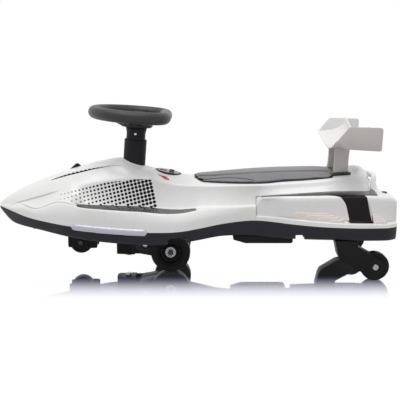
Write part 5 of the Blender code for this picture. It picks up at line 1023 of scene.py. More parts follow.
def panelBack(v):
    # front edge of the band, with the panel's big upper corner
    b = sideBand
    line = b["topFront"] + (b["footFront"] - b["topFront"]) * v
    return nose + line - b["corner"] * quarterRound(1 - min(v / b["cornerShare"], 1))


def bandBack(v):
    return nose + sideBand["topEnd"] + (sideBand["footEnd"] - sideBand["topEnd"]) * v


def ledgeRow(x):
    return rowWhere(rearGrid, x, lineAt("cowlBaseWidth", x) + 0.0035, 0, 1, podFirst - arcRows)


def ribRings(side, group, start, end, top, out):
    r = ribs
    spots = [start + r["round"] * k / 8 for k in range(8)]
    spots += [start + r["round"] + (end - start - 2 * r["round"]) * k / 10 for k in range(10)]
    spots += [end - r["round"] * (1 - k / 8) for k in range(9)]
    rings = []
    for x in spots:
        near = min(max((x - start) / r["round"], 0.004), 1)
        far = min(max((end - x) / r["round"], 0.004), 1)
        lift = math.sqrt(1 - (1 - (near if group == "front" else far)) ** 2)
        fade = far ** 0.7 if group == "front" else 1.0
        y = gridPoint(rearGrid, x, rowWhere(rearGrid, x, top, 1, podFirst, podLast + 12))[0]
        low = lineAt("podFoot", x) - 0.0005
        high = low + (top - low) * lift
        reach = y + max(out * fade * (0.25 + 0.75 * lift), 0.0004)
        soft = 0.0008 * lift
        ring = [(y - 0.004, low), (reach + 0.0003, low), (reach, high - 2 * soft),
                (reach - soft * 0.5, high - soft * 0.6), (reach - 1.6 * soft, high), (y - 0.004, high)]
        rings.append([Vector((x, side * u, v)) for u, v in ring])
    return rings


def makeRibs(side, hand):
    # stepped layers on the recess wall, each one lower, further along and further out; they are the shell's
    # white, painted darker and warmer as shade in the recess
    r = ribs
    parts = []
    for group in ("front", "back"):
        for i in range(r["count"]):
            if group == "front":
                start, end = r["frontStart"] + r["frontStep"] * i, r["frontEnd"] + r["frontEndStep"] * i
            else:
                start, end = sideBand["footEnd"] - 0.0045, r["backEnd"] + r["backEndStep"] * i
            rings = ribRings(side, group, nose + start, nose + end, r["top"] - r["pitch"] * i,
                             r["reach"] * (i + 1) + 0.0012)
            parts.append(ringObject("rib", rings, "ribPeach", 40))
    mount(joinedUp("ribs_" + hand, parts), "chassis")


def makeTrim(side, hand):
    f, b, p, s = footPlate, sideBand, podPanel, ledgeStrip
    plate = skinPlate("footPlate_" + hand, frontGrid, (baseRow - 1.4, lipRow + 2.8),
                      lambda v: nose + f["front"] + 0.01 * v, lambda v: nose + f["end"] - 0.004 * v, side,
                      f["thickness"], 0.0004, "ribbedGloss", (0.012, 0.9), (90, 10))
    mount(plate, "chassis", "foot_plate_" + hand)
    # the dark glossy strip along the ledge under the cowl is a black insert, and towards the tail it is painted
    # shade of the white deck
    strip = skinPlate("ledgeStrip_" + hand, rearGrid, (ledgeRow, podFirst - arcRows - 0.6),
                      lambda v: nose + s["front"], lambda v: nose + s["end"], side, s["thickness"], 0.0003,
                      "darkGloss", (0.004, 0.8), (72, 3), 0.0002)
    mount(strip, "chassis")
    band = skinPlate("sideBand_" + hand, rearGrid, (podFirst - arcRows - 0.5, podLast + 8.5),
                     lambda v: panelBack(v) + b["gap"], lambda v: bandBack(v) - b["gap"], side,
                     b["thickness"], 0.0003, "bandGloss", 0.0, (18, 40))
    mount(band, "chassis", "side_band_" + hand)
    # the front panel rises out of the shell, so that its front edge doesn't show
    rise = lambda u: (p["thickness"] + p["sunk"]) * min(u / p["taper"], 1) ** 1.4 - p["sunk"]
    for name, front, back, thick, count, edge in (
            ("podPanel_", lambda v: nose + p["front"], panelBack, rise, 60, 0.0007),
            ("tailPanel_", bandBack, lambda v: nose + p["end"] - p["tailCut"] * max(1 - v / 0.3, 0) ** 2,
             p["thickness"], 18, 0.0009)):
        panel = skinPlate(name + hand, rearGrid, (podFirst - 3.2, podLast + 0.6), front, back, side, thick,
                          0.0002, "whiteMoulding", 0.0, (count, 44), edge)
        mount(panel, "chassis")
    makeRibs(side, hand)


lightStrip = {"front": 0.2105, "length": 0.184, "height": 0.0155, "reach": 0.0046, "rim": 0.0011,
              "sunk": 0.00242}


def lightSection(x, full, grow, reach, side):
    # section of the strip, wrapped over the joint of shell and tray
    half = (lightStrip["height"] / 2 + grow) * full
    width, belt = lineAt("beltWidth", x), lineAt("belt", x)
    count = frontGrid["yz"].shape[1]
    above = gridPoint(frontGrid, x, rowWhere(frontGrid, x, belt + half, 1, lipRow + 12, count - 8))[0]
    below = gridPoint(trayGrid, x, rowWhere(trayGrid, x, belt - half, 1, 0, trayShape["sideRows"]))[0]
    front = max(above, width, below) + reach
    soft = min(half, 0.0042)
    ring = [(above + 0.0002, belt + half), (width + 0.0002, belt), (below + 0.0002, belt - half)]
    for start, level in ((-90, belt - half + soft), (0, belt + half - soft)):
        for k in range(7):
            angle = math.radians(start + 90 * k / 6)
            ring.append((front - soft * 0.55 * (1 - math.cos(angle)), level + soft * math.sin(angle)))
    return [Vector((x, side * y, z)) for y, z in ring]


def makeLight(side, hand):
    s = lightStrip
    for name, grow, sunk, look, nodes in (("lightLens_", -s["rim"], 0, "milkyLens", ("light_strip_" + hand,)),
                                          ("lightRim_", 0, s["sunk"], "satinSilver", ())):
        first, last = nose + s["front"] - grow, nose + s["front"] + s["length"] + grow
        r = s["height"] / 2 + grow
        ends = [r * (1 - math.cos(math.pi / 2 * k / 8)) for k in range(9)]
        spots = [first + end for end in ends]
        spots += [first + r + (last - first - 2 * r) * k / 40 for k in range(1, 40)]
        spots += [last - end for end in reversed(ends)]
        rings = []
        for x in spots:
            edge = min(x - first, last - x)
            full = math.sqrt(max(1 - max(1 - edge / r, 0) ** 2, 0.03))
            rings.append(lightSection(x, full, grow, s["reach"] - sunk, side))
        mount(ringObject(name + hand, rings, look, 50), "chassis", *nodes)


for side, hand in hands:
    makeTrim(side, hand)
    makeLight(side, hand)
print("plates, bands, ribs and lights ready")

# dots on the side walls: a turned square grid, small in front and larger towards the back
dots = {"corner": (-0.1037, 0.2356), "step": (-0.00895, -0.00206), "drop": (0.002, -0.0086), "columns": 26,
        "rows": (-7, 8), "small": 0.0013, "large": 0.0043, "front": -0.33, "lift": 0.0001}


def makeDots():
    d = dots
    topRow, footRow = wallFirst - 1, baseRow - arcRows + 1
    item = roundBody("dot", [(0, 0), (0.93, 0), (1, -0.2), (1, -1), (0, -1)], *atOrigin, "dotFilm", 14)
    item.data.transform(Matrix.Diagonal((1, 1, 0.05, 1)))
    for side, hand in hands:
        spots = []
        for i in range(d["columns"]):
            for j in range(*d["rows"]):
                x, z = [d["corner"][k] + d["step"][k] * i + d["drop"][k] * j for k in (0, 1)]
                if x < d["front"] + 0.0042 * max(j + 7 - i * 0.24, 0):
                    continue
                share = 1 - i / (d["columns"] - 1)
                radius = d["small"] + (d["large"] - d["small"]) * min(share * 1.06, 1) ** 0.85
                top, foot = [gridPoint(frontGrid, x, row)[1] for row in (topRow, footRow)]
                if not foot - radius * 0.5 < z < top + radius * 0.6:
                    continue
                row = rowWhere(frontGrid, x, min(max(z, foot), top), 1, topRow, baseRow)
                point, out = surfacePoint(frontGrid, x, row, side)
                point.z = z
                spots.append((point + out * d["lift"], out, (1, 0, 0), radius))
        film = scattered("wallDots_" + hand, spots, twin(item), "dotFilm", "chassis")
        for vertex in film.data.vertices:          # dots are cut off along the wall's shoulder and foot
            for row, sign in ((topRow, 1), (footRow, -1)):
                if (vertex.co.z - gridPoint(frontGrid, vertex.co.x, row)[1]) * sign > 0:
                    point, out = surfacePoint(frontGrid, vertex.co.x, row, side)
                    vertex.co = point + out * d["lift"]
    erase(item)


makeDots()

# hood: tapered slots, each a dark strip of painted shade under slanted louvres, and the small fin
hoodVent = {"front": -0.358, "back": -0.179, "width": 0.0072, "pitch": 0.0105, "y": (0.04, 0.048, 0.047)}
fin = ((0.1855, 0.0012, 0.0006), (0.19, 0.0038, 0.003), (0.195, 0.005, 0.0062), (0.2005, 0.0052, 0.009),
       (0.2035, 0.005, 0.0094), (0.207, 0.0045, 0.0074), (0.2115, 0.0032, 0.0022), (0.213, 0.002, 0.0006))


def ventPlace(t):
    v = hoodVent
    x = v["front"] + (v["back"] - v["front"]) * t
    full = math.sin(math.pi * min(t * 1.25, 1) ** 0.8) * 0.75 + 0.25 * math.sin(math.pi * t)
    return x, bend(*v["y"], t), v["width"] / 2 * full


def onHood(x, y, side):
    return surfacePoint(frontGrid, x, rowWhere(frontGrid, x, y, 0, 0, deckLast), side)


def makeVents():
    v = hoodVent
    for side, hand in hands:
        rings = []
        for k in range(61):
            x, y, half = ventPlace(k / 60)
            half = max(half, 0.0002)
            ring = []
            for u, lift in ((-1, 0.0006), (-0.7, 0.0007), (0.7, 0.0007), (1, 0.0006), (1, -0.001),
                            (-1, -0.001)):
                point, out = onHood(x, y + half * u, side)
                ring.append(point + out * (lift if half > 0.0004 or lift < 0 else 0.0001))
            rings.append(ring)
        # the slot's floor is a dark strip: painted shade of the slot's depth
        mount(ringObject("hoodSlot_" + hand, rings, "dotFilm", 30), "chassis")
        spots = []
        count = int((v["back"] - v["front"]) / v["pitch"])
        for k in range(1, count - 2):
            x, y, half = ventPlace(k / count)
            point, out = onHood(x, y, side)
            spots.append((point + out * 0.0006, out, (1, side * 0.9, 0), half * 2.2))
        outline = softened(box(-0.62, 0.62, -0.13, 0.13), 0.12, 2)
        slat = pushed("slat", outline, -0.3, 0.32, "XY", "whiteMoulding", 0.06, 1)
        scattered("hoodLouvres_" + hand, spots, slat, "whiteMoulding", "chassis")


def makeFin():
    # through sections of (distance behind the nose, half width, height)
    knots = np.array(fin)
    rings = []
    for t in np.linspace(0, len(knots) - 1, 36):
        i = min(int(t), len(knots) - 2)
        distance, half, height = knots[i] * (1 - t + i) + knots[i + 1] * (t - i)
        x = nose + distance
        low = lineAt("top", x) - 0.0008
        ring = [(-half, low), (half, low)]
        for k in range(9):
            angle = math.pi * k / 8
            flat = math.copysign(abs(math.cos(angle)) ** 0.7, math.cos(angle))
            ring.append((half * 0.62 * flat, low + 0.0008 + height * (0.55 + 0.45 * math.sin(angle) ** 0.8)))
        rings.append([Vector((x, y, z)) for y, z in ring])
    mount(ringObject("hoodFin", rings, "blackNylon", 45), "chassis", "hood_fin")


makeVents()
makeFin()
print("dots, vents and fin ready")

# moulded creases on the nose: a brow line and the wave below it, as low beads on the surface, painted darker as
# the shade along each crease
creases = {"width": 0.0044, "height": 0.0003, "steps": 44, "sunk": 0.0008, "lines": (
    ((-0.47, 0.0322, 0.162), (-0.4431, 0.0424, 0.1731), (-0.4141, 0.0562, 0.1829), (-0.3807, 0.0683, 0.1934),
     (-0.3536, 0.0762, 0.2025), (-0.3328, 0.0801, 0.2096)),
    ((-0.4398, 0.046, 0.1725), (-0.4197, 0.0677, 0.1715), (-0.3979, 0.0871, 0.1676),
     (-0.3754, 0.099, 0.1701), (-0.3566, 0.1049, 0.1783), (-0.3428, 0.1112, 0.1845),
     (-0.3315, 0.1174, 0.1882), (-0.3094, 0.1311, 0.1901), (-0.2932, 0.1407, 0.1882),
     (-0.282, 0.1507, 0.1841)))}


def creaseRings(line, side):
    c = creases
    rows = np.arange(14, 74, 0.25)
    knots = np.array(line)
    last = len(knots) - 1
    spots = []
    for t in np.linspace(0, last, c["steps"]):
        k = min(int(t), last - 1)
        p = between(knots[max(k - 1, 0)], knots[k], knots[k + 1], knots[min(k + 2, last)], t - k)
        row = min(rows, key=lambda r: float(np.hypot(*(gridPoint(frontGrid, p[0], r) - p[1:]))))
        spots.append(surfacePoint(frontGrid, p[0], row, side))
    rings = []
    last = len(spots) - 1
    for k, (point, out) in enumerate(spots):
        across = (spots[min(k + 1, last)][0] - spots[max(k - 1, 0)][0]).normalized().cross(out).normalized()
        taper = min(1, 0.12 + 5 * min(k, last - k) / len(spots))
        half, high = c["width"] / 2 * taper, c["height"] * taper
        section = ((-1, -c["sunk"]), (1, -c["sunk"]), (1, 0.00002), (0.5, high), (-0.5, high), (-1, 0.00002))
        rings.append([point + across * half * w + out * h for w, h in section])
    return rings


for side, hand in hands:
    beads = [ringObject("crease", creaseRings(line, side), "creaseShade", 70) for line in creases["lines"]]
    mount(joinedUp("noseCreases_" + hand, beads), "chassis")
print("creases ready")

# control panel on the deck
panel = {"place": (nose + 0.44, 0, 0.24707), "turn": 0.2006, "length": 0.067, "width": 0.06,
         "buttonPlace": 0.008, "buttonSpacing": 0.027, "holeRadius": 0.0069, "keyRadius": 0.0063,
         "switchPlace": -0.014, "switchLength": 0.016, "switchWidth": 0.011, "gap": 0.0004, "tip": 0.003}
flashes = ((-0.027, -0.005, 0.045, 0.05), (-0.017, 0.001, 0.051, 0.058))     # front, back, inner, outer
panelMatrix = Matrix.Translation(panel["place"]) @ Matrix.Rotation(panel["turn"], 4, "Y")
panelUp = panelMatrix.to_3x3() @ upward


def oval(length, width, count=72):
    return [(length / 2 * c, width / 2 * s) for c, s in circle(count)]


def ovalBody(name, steps, look):
    # closed body through ovals of (grow, height); the last one closes back on the first
    rings = []
    for grow, height in steps:
        outline = oval(panel["length"] + 2 * grow, panel["width"] + 2 * grow)
        rings.append([panelMatrix @ Vector((u, v, height)) for u, v in outline])
    return ringObject(name, rings, look, 40)


def buttonPlace(side):
    return panelMatrix @ Vector((panel["buttonPlace"], side * panel["buttonSpacing"] / 2, 0))


def makePanelBody():
    p = panel
    base = ovalBody("panelBase", [(-0.002, -0.01), (0.0006, -0.003), (0.0006, 0.0002), (0.0003, 0.001),
                                  (-0.0005, 0.0014), (-0.0036, 0.0015), (-0.0042, 0.0009)], "hubBlack")
    tools = [roundBody("tool", box(0, p["holeRadius"], -0.02, 0.02), panelUp, buttonPlace(side),
                       "satinSilver", 48) for side in (-1, 1)]
    half, wide = p["switchLength"] / 2 + p["gap"], p["switchWidth"] / 2 + p["gap"]
    hole = softened(box(p["switchPlace"] - half, p["switchPlace"] + half, -wide, wide), 0.001)
    tools.append(pushed("tool", hole, -0.02, 0.02, "XY", "satinSilver", matrix=panelMatrix))
    faceTools = [twin(tool) for tool in tools]
    mount(carved(base, *tools), "chassis", "control_panel")
    face = ovalBody("panelFace", [(-0.0044, -0.001), (-0.0044, 0.0011), (-0.0047, 0.0014), (-0.012, 0.0015)],
                    "panelFace")
    mount(carved(face, *faceTools), "chassis")


def makeKeys():
    ringProfile = softened(box(0.0068, 0.0082, -0.001, 0.0021), [0, 0, 0.0005, 0.0005])
    r = panel["keyRadius"]
    profile = [(0, -0.006), (r, -0.006), (r, 0.0036)]
    profile += [(r - 0.001 * (1 - math.cos(a)), 0.0036 + 0.001 * math.sin(a)) for a in (0.4, 0.8, 1.2, 1.57)]
    profile += [(0.004, 0.0045), (0.002, 0.0042), (0, 0.0041)]
    for side, name in ((-1, "music"), (1, "horn")):
        centre = buttonPlace(side)
        mount(roundBody("buttonRing_" + name, ringProfile, panelUp, centre, "brightSteel", 48), "chassis")
        key = roundBody(name + "Key", profile, panelUp, centre, "hubBlack", 48)
        mount(key, name + "_key", name + "_button")


def makeRocker():
    p = panel
    low, tip, half = -0.004, p["tip"], p["switchLength"] / 2
    outline = [(0.0022 - half, low), (half - 0.0022, low), (half - 0.0008, tip - 0.0014),
               (half - 0.0014, tip)]
    outline += [(half * share, tip - dip) for share, dip in ((0.6, 0.0006), (0.25, 0.0011), (0, 0.0012),
                                                             (-0.25, 0.0011), (-0.6, 0.0006))]
    outline += [(0.0014 - half, tip), (0.0008 - half, tip - 0.0014)]
    rocker = pushed("rockerSwitch", [(p["switchPlace"] + u, v) for u, v in outline], -p["switchWidth"] / 2,
                    p["switchWidth"] / 2, "XZ", "blackNylon", 0.0004, 2, panelMatrix)
    bar = pushed("mark", oval(0.0009, 0.0052, 16), tip - 0.0011, tip - 0.0004, "XY", "warmPlastic",
                 matrix=panelMatrix @ Matrix.Translation((p["switchPlace"] - 0.0045, 0, 0)))
    ring = roundBody("mark", box(0.0013, 0.0021, 0, 0.0008), panelUp,
                     panelMatrix @ Vector((p["switchPlace"] + 0.0045, 0, tip - 0.0011)), "warmPlastic", 24)
    mount(rocker, "rocker", "power_switch")
    mount(joinedUp("rockerMarks", [bar, ring]), "rocker")


def makeFlashes():
    # crimson flashes beside the panel
    def rowAt(y):
        return lambda x: rowWhere(frontGrid, x, y, 0, 0, deckLast)

    for side, hand in hands:
        for k, (front, back, inner, outer) in enumerate(flashes):
            x0, x1 = panel["place"][0] + front, panel["place"][0] + back
            bar = skinPlate("flash%d_%s" % (k + 1, hand), frontGrid, (rowAt(inner), rowAt(outer)),
                            lambda v: x0 + 0.009 * v, lambda v: x1 + 0.004 * v, side, 0.0006, 0.0003,
                            "redPlastic", (0.0015, 0.9), (14, 4), 0.0002)
            mount(bar, "chassis")


makePanelBody()
makeKeys()
makeRocker()
makeFlashes()
print("control panel ready")

# padded seat: a tight cover blown up by a cloth simulation, then seams, piping and stitches
seat = {"front": 0.508, "end": 0.85, "half": 0.082, "thickness": 0.021, "shrink": 0.0016, "voxel": 0.0042,
        "cap": 0.005, "seam": 0.5, "seamDepth": 0.0019, "seamWidth": 0.003, "pipe": 0.0012, "stitch": 0.0046,
        "gussetLength": 0.15}
cloth = {"quality": 5, "mass": 0.25, "tension_stiffness": 18, "compression_stiffness": 18,
         "bending_stiffness": 0.6, "use_pressure": True, "uniform_pressure_force": 4.0,
         "vertex_group_mass": "held"}
blowFrames = 20
seatFront = nose + seat["front"]
seatEnd = nose + seat["end"]


def seatSize(x):
    # half width and thickness of the pad
    share = min(max((x - nose - seat["front"]) / (seat["end"] - seat["front"]), 0), 1)
    tip = math.sqrt(max(1 - (1 - min(share / 0.07, 1)) ** 2, 0))
    spread = 0.62 + 0.38 * math.sin(math.pi / 2 * min(share / 0.62, 1))
    half = min(max(seat["half"] * spread * tip, 0.03), lineAt("shoulderWidth", x) - 0.004)
    rise = seat["thickness"] * (0.26 + 0.74 * math.sin(math.pi * share / 1.06) ** 0.75)
    return half, rise


def crown(share):
    # the pad's height at a share of its half width
    return (1 - share ** 2.6) * 0.72 + 0.28


def makeSeatForm():
    shrink = seat["shrink"]
    rings = []
    first, last = seatFront + 0.0006, seatEnd + 0.004
    spots = [first, first + 0.002, first + 0.005] + stations(first + 0.009, last - 0.003, 0.004)[:-1]
    for x in spots + [last - 0.002, last]:
        half, rise = seatSize(x)
        half -= shrink
        rise = max(rise - shrink, 0.0028)
        top = [(half * t, deckHeight(x, half * t) + 0.0006 + rise * crown(t)) for t in np.linspace(0, 1, 22)]
        edge = half - 0.002
        right = top + [(edge * t, deckHeight(x, edge * t) + 0.0006) for t in np.linspace(1, 0, 12)]
        rings.append(bothSides(x, right, right[-2:0:-1]))
    return ringObject("seatCover", rings, "seatLeather", 60)


def simulated(piece, cap, held):
    # blown up by cloth pressure for some frames; no point moves further than the cap
    before = [v.co.copy() for v in piece.data.vertices]
    group = piece.vertex_groups.new(name="held")
    group.add([i for i, p in enumerate(before) if held(p)], 1.0, "REPLACE")
    step = added(piece, "CLOTH")
    for key, value in cloth.items():
        setattr(step.settings, key, value)
    step.settings.effector_weights.gravity = 0.0
    step.point_cache.frame_start = 1
    step.point_cache.frame_end = blowFrames
    scene = bpy.context.scene
    for frameNumber in range(1, blowFrames + 1):
        scene.frame_set(frameNumber)
    graph = bpy.context.evaluated_depsgraph_get()
    mesh = bpy.data.meshes.new_from_object(piece.evaluated_get(graph))
    after = [v.co.copy() for v in mesh.vertices]
    bpy.data.meshes.remove(mesh)
    piece.modifiers.clear()
    piece.vertex_groups.clear()
    scene.frame_set(1)
    for vertex, a, b in zip(piece.data.vertices, before, after):
        move = b - a
        vertex.co = a + move * (min(move.length, cap) / max(move.length, 1e-9))


def shapeCover(cover):
    # keeps the cover in the pad's space and presses the two seams in
    s = seat
    for vertex in cover.data.vertices:
        p = vertex.co
        x = min(max(p.x, seatFront), seatEnd)
        half, rise = seatSize(x)
        p.x = min(max(p.x, seatFront - 0.0008), seatEnd)
        p.y = math.copysign(min(abs(p.y), half + 0.0008), p.y)
        share = min(abs(p.y) / half, 1)
        ground = deckHeight(x, p.y) + 0.0005
        p.z = min(max(p.z, ground), ground + rise * crown(share) + 0.0022)
        if p.z > ground + 0.3 * rise and p.x < seatEnd - 0.006:
            away = (share - s["seam"]) * half
            p.z -= s["seamDepth"] * math.exp(-(away / s["seamWidth"]) ** 2) * min(rise / s["thickness"], 1)


def treeOf(piece):
    bm = bmesh.new()
    bm.from_mesh(piece.data)
    made = BVHTree.FromBMesh(bm)
    bm.free()
    return made


def onTop(tree, x, y, lift=0.0):
    # point of the pad below a place above it, lifted off by a little, and its outward direction
    point, facing = tree.ray_cast(Vector((x, y, 0.4)), -upward)[:2]
    if point is None:
        point, facing = tree.find_nearest(onDeck(x, y, 0.004))[:2]
    return point + facing * lift, facing


def pipe(path, radius, sides=8):
    # closed-ended round cord along a path
    rings = []
    for k, point in enumerate(path):
        along = (path[min(k + 1, len(path) - 1)] - path[max(k - 1, 0)]).normalized()
        out = along.cross(upward).normalized()
        up = out.cross(along)
        full = radius * (0.35 if k in (0, len(path) - 1) else 1)
        rings.append([point + out * full * c + up * full * s for c, s in circle(sides)])
    return ringObject("cord", rings, "seamBlack", 60)


def sideCords(tree, side):
    # the seam, the piping along the edge and the gusset's seam of one side
    s = seat
    path = [onTop(tree, x, side * seatSize(x)[0] * s["seam"], 0.0001)[0]
            for x in np.linspace(seatFront + 0.01, seatEnd - 0.004, 90)]
    cords = [pipe(path, 0.0007, 6)]
    path = []
    for x in np.linspace(seatFront + 0.003, seatEnd - 0.002, 110):
        half = seatSize(x)[0] - 0.0002
        path.append(Vector((x, side * half, deckHeight(x, half) + 0.0016)))
    cords.append(pipe(path, s["pipe"]))
    path = []
    start, end = seatFront + 0.006, seatFront + s["gussetLength"]
    for t in np.linspace(0, 1, 50):
        x = start + (end - start) * t
        share = 0.93 - 0.14 * math.sin(math.pi * t) ** 0.8
        path.append(onTop(tree, x, side * seatSize(x)[0] * share, 0.0002)[0])
    return cords + [pipe(path, 0.0008, 6)]


def makeSeat():
    s = seat
    cover = makeSeatForm()
    added(cover, "REMESH", mode="VOXEL", voxel_size=s["voxel"])
    applied(cover)
    simulated(cover, s["cap"], lambda p: p.z < deckHeight(p.x, p.y) + 0.0022)
    added(cover, "SUBSURF", levels=1, render_levels=1)
    applied(cover)
    shapeCover(cover)
    cover.data.materials.clear()
    cover.data.materials.append(looks["seatLeather"])
    smoothed(cover, 60)
    mount(cover, "chassis", "seat_pad")
    tree = treeOf(cover)
    stitches = []
    cords = []
    for side in (-1, 1):
        x = seatFront + 0.012
        while x < seatEnd - 0.008:
            for away in (-1, 1):
                point, facing = onTop(tree, x, side * (seatSize(x)[0] * s["seam"] + away * 0.0034), 0.0001)
                stitches.append((point, facing, (1, 0, 0), 1.0))
            x += s["stitch"]
        cords += sideCords(tree, side)
    half = seatSize(seatFront + 0.003)[0] - 0.0002
    path = []
    for t in np.linspace(-1, 1, 30):
        deck = deckHeight(seatFront, half * t)
        path.append(Vector((seatFront + 0.003 - 0.003 * (1 - t * t), half * t, deck + 0.0016)))
    cords.append(pipe(path, s["pipe"]))
    half = seatSize(seatEnd)[0] - 0.0002
    cords.append(pipe([onDeck(seatEnd + 0.0002, half * t, 0.0018) for t in np.linspace(-1, 1, 40)], 0.0016))
    mount(joinedUp("seatPiping", cords), "chassis")
    outline = softened(box(-0.0013, 0.0013, -0.0003, 0.0003), 0.00025, 1)
    thread = pushed("thread", outline, -0.0002, 0.0003, "XY", "seamGrey")
    scattered("seatStitches", stitches, thread, "seamGrey", "chassis")


makeSeat()
print("seat ready")

# backrest: foot plate, two posts and the winged blade with its end plates
backrest = {"front": 0.849, "length": 0.109, "centre": 0.3115, "rise": 0.03, "half": 0.144, "wall": 0.004,
            "sweep": 0.0105, "postFront": 0.861, "postLength": 0.038, "postWidth": 0.014, "postFoot": 0.2496,
            "spacing": 0.09, "footHalf": 0.068, "footEnd": 0.9015, "footThick": 0.0062, "cover": 0.0006,
            "shadeSkinSunk": 0.0008}


def bladeLines(y):
    # upper and lower line of the blade at y, from its front edge back and up
    b = backrest
    front = nose + b["front"]
    z = b["centre"] + b["rise"] * min(abs(y) / b["half"], 1) ** 1.6
    lean = b["sweep"] * (1 - (y / b["half"]) ** 2)
    upper = [(front - 0.003 + lean * 0.4, z + 0.0005), (front + 0.02, z + 0.0015), (front + 0.045, z + 0.006),
             (front + 0.064, z + 0.018), (front + 0.072, z + 0.033)]
    lower = [(u + 0.001, v - b["wall"]) for u, v in upper[:3]]
    lower += [(upper[3][0] + 0.0035, upper[3][1] - 0.0022), (upper[4][0] + b["wall"], upper[4][1] - 0.0005)]
    return throughPoints(upper, 7), throughPoints(lower, 7)


def bladeUnder(x, y):
    return float(np.interp(x, *bladeLines(y)[1].T))


def halfRound(a, b, out):
    # points of a round edge from a to b that bulges towards out
    return [(a + b) / 2 - (b - a) / 2 * c + out * s for c, s in circle(12)[1:6]]


def makeBlade():
    b = backrest
    inner = b["half"] - b["wall"] * 0.5
    bulge = b["wall"] / 2 * 0.8
    rings = []
    for y in np.linspace(-inner, inner, 61):
        upper, lower = bladeLines(y)
        tip = halfRound(upper[-1], lower[-1], np.array((0.0, bulge)))
        nib = halfRound(lower[0], upper[0], np.array((-bulge, 0.0)))
        rings.append([Vector((u, y, v)) for u, v in list(upper) + tip + list(lower[::-1]) + nib])
    mount(ringObject("backrestBlade", rings, "whiteMoulding", 50), "chassis", "backrest_wing")


def makeEndPlates(side, hand):
    b = backrest
    front = nose + b["front"]
    back = front + b["length"]
    outline = softened([(front - 0.001, 0.34), (front + 0.028, 0.375), (back, 0.373), (back - 0.0025, 0.3162),
                        (front + 0.0185, 0.3215)], [0.006, 0.01, 0.009, 0.006, 0.016], 6)
    # the end plates stay white inside; their outer faces get a thin skin painted darker, as painted shade
    sunk = b["half"] - b["shadeSkinSunk"]
    for name, low, high, look, edge, segments in (
            ("backrestEnd_", sunk - b["wall"], b["half"], "whiteMoulding", 0.0013, 3),
            ("backrestCover_", sunk, b["half"] + b["cover"], "warmPlastic", 0.0006, 2)):
        mount(pushed(name + hand, outline, *sorted((side * low, side * high)), "XZ", look, edge, segments),
              "chassis")


def makePost(side, hand):
    b = backrest
    cx = nose + b["postFront"] + b["postLength"] / 2
    cy = side * b["spacing"] / 2
    # the posts are white moulding painted darker, as painted shade
    rings = []
    for t in [k / 24 for k in range(25)]:
        flare = 0.0 if t > 0.16 else 0.0006 * (1 - t / 0.16)
        half = b["postLength"] / 2 - 0.0012 * math.sin(math.pi * min(max((t - 0.1) / 0.8, 0), 1))
        wide = b["postWidth"] / 2 - 0.0004
        ring = []
        for u, v in softened(box(-half, half, -wide, wide), [0.0032, 0.0045, 0.0045, 0.0032], 4):
            x = min(cx + u - 0.0036 * (1 - t), nose + b["postFront"] + b["postLength"] + 0.0002)
            top = bladeUnder(x, cy + v) - 0.0002
            ring.append(Vector((x, cy + v * (1 + flare * 20), b["postFoot"] + (top - b["postFoot"]) * t)))
        rings.append(ring)
    mount(ringObject("backrestPost_" + hand, rings, "warmPlastic", 40), "chassis", "backrest_post_" + hand)


def layer(x, half, count, low, high):
    # closed ring across the deck, between two heights above it
    line = np.linspace(-half, half, count)
    return [onDeck(x, y, low) for y in line] + [onDeck(x, y, high) for y in line[::-1]]


def makeSeatBase():
    # board under the pad, strip behind it and the foot of the posts
    b = backrest
    rings = [layer(x, seatSize(x)[0] - 0.0004, 33, 0.0002, 0.0012)
             for x in stations(seatFront, seatEnd + 0.001, 0.004)]
    mount(ringObject("seatBoard", rings, "blackNylon", 40), "chassis")
    rings = [layer(x, 0.078, 29, 0.0005, 0.0042)
             for x in stations(seatEnd - 0.0015, seatEnd + 0.0022, 0.0009)]
    mount(bevelled(ringObject("seatStrip", rings, "blackNylon", 40), 0.0006, 2, 50), "chassis")
    rings = []
    first, last = seatEnd + 0.003, nose + b["footEnd"]
    spots = [first, first + 0.0012] + stations(first + 0.004, last - 0.006, 0.004)
    for x in spots + [last - 0.003, last - 0.001, last]:
        drop = roundedEnd(x, last, 0.006) * 0.8 + roundedEnd(x, first, 0.0014) * 0.6
        half = b["footHalf"] - roundedEnd(x, last, 0.014) - roundedEnd(x, first, 0.002) * 0.5
        ring = [onDeck(x, half * t, 0.0005) for t in np.linspace(-1, 1, 29)]
        for t in np.linspace(1, -1, 29):
            edge = max(abs(t) - 0.93, 0) / 0.07
            high = (b["footThick"] - drop) * (1 - 0.45 * edge ** 2)
            ring.append(onDeck(x, half * t, 0.0005 + max(high, 0.0006)))
        rings.append(ring)
    mount(ringObject("backrestFoot", rings, "darkGloss", 40), "chassis", "backrest_foot")


handle = {"front": 0.9617, "thickness": 0.013, "half": 0.07, "top": 0.2435, "bar": 0.012, "leg": 0.014,
          "lean": 0.02, "ground": 0.209, "radius": 0.0034, "outerRadius": 0.016, "innerRadius": 0.007}


def handleLine(half, top, rounding):
    # points up one leg, over the bar and down the other leg
    h = handle
    corners = [(-half, h["ground"]), (h["lean"] - half, top), (half - h["lean"], top), (half, h["ground"])]
    points = softened(corners, [0, rounding, rounding, 0], 10, closed=False)
    left, right = points[:12], points[12:]
    bar = [(left[-1][0] + (right[0][0] - left[-1][0]) * k / 16, top) for k in range(1, 16)]
    foot, knee = left[:2]
    leg = [(foot[0] + (knee[0] - foot[0]) * k / 6, foot[1] + (knee[1] - foot[1]) * k / 6) for k in range(6)]
    return leg + left[1:] + bar + right[:-1] + [(-y, z) for y, z in reversed(leg)]


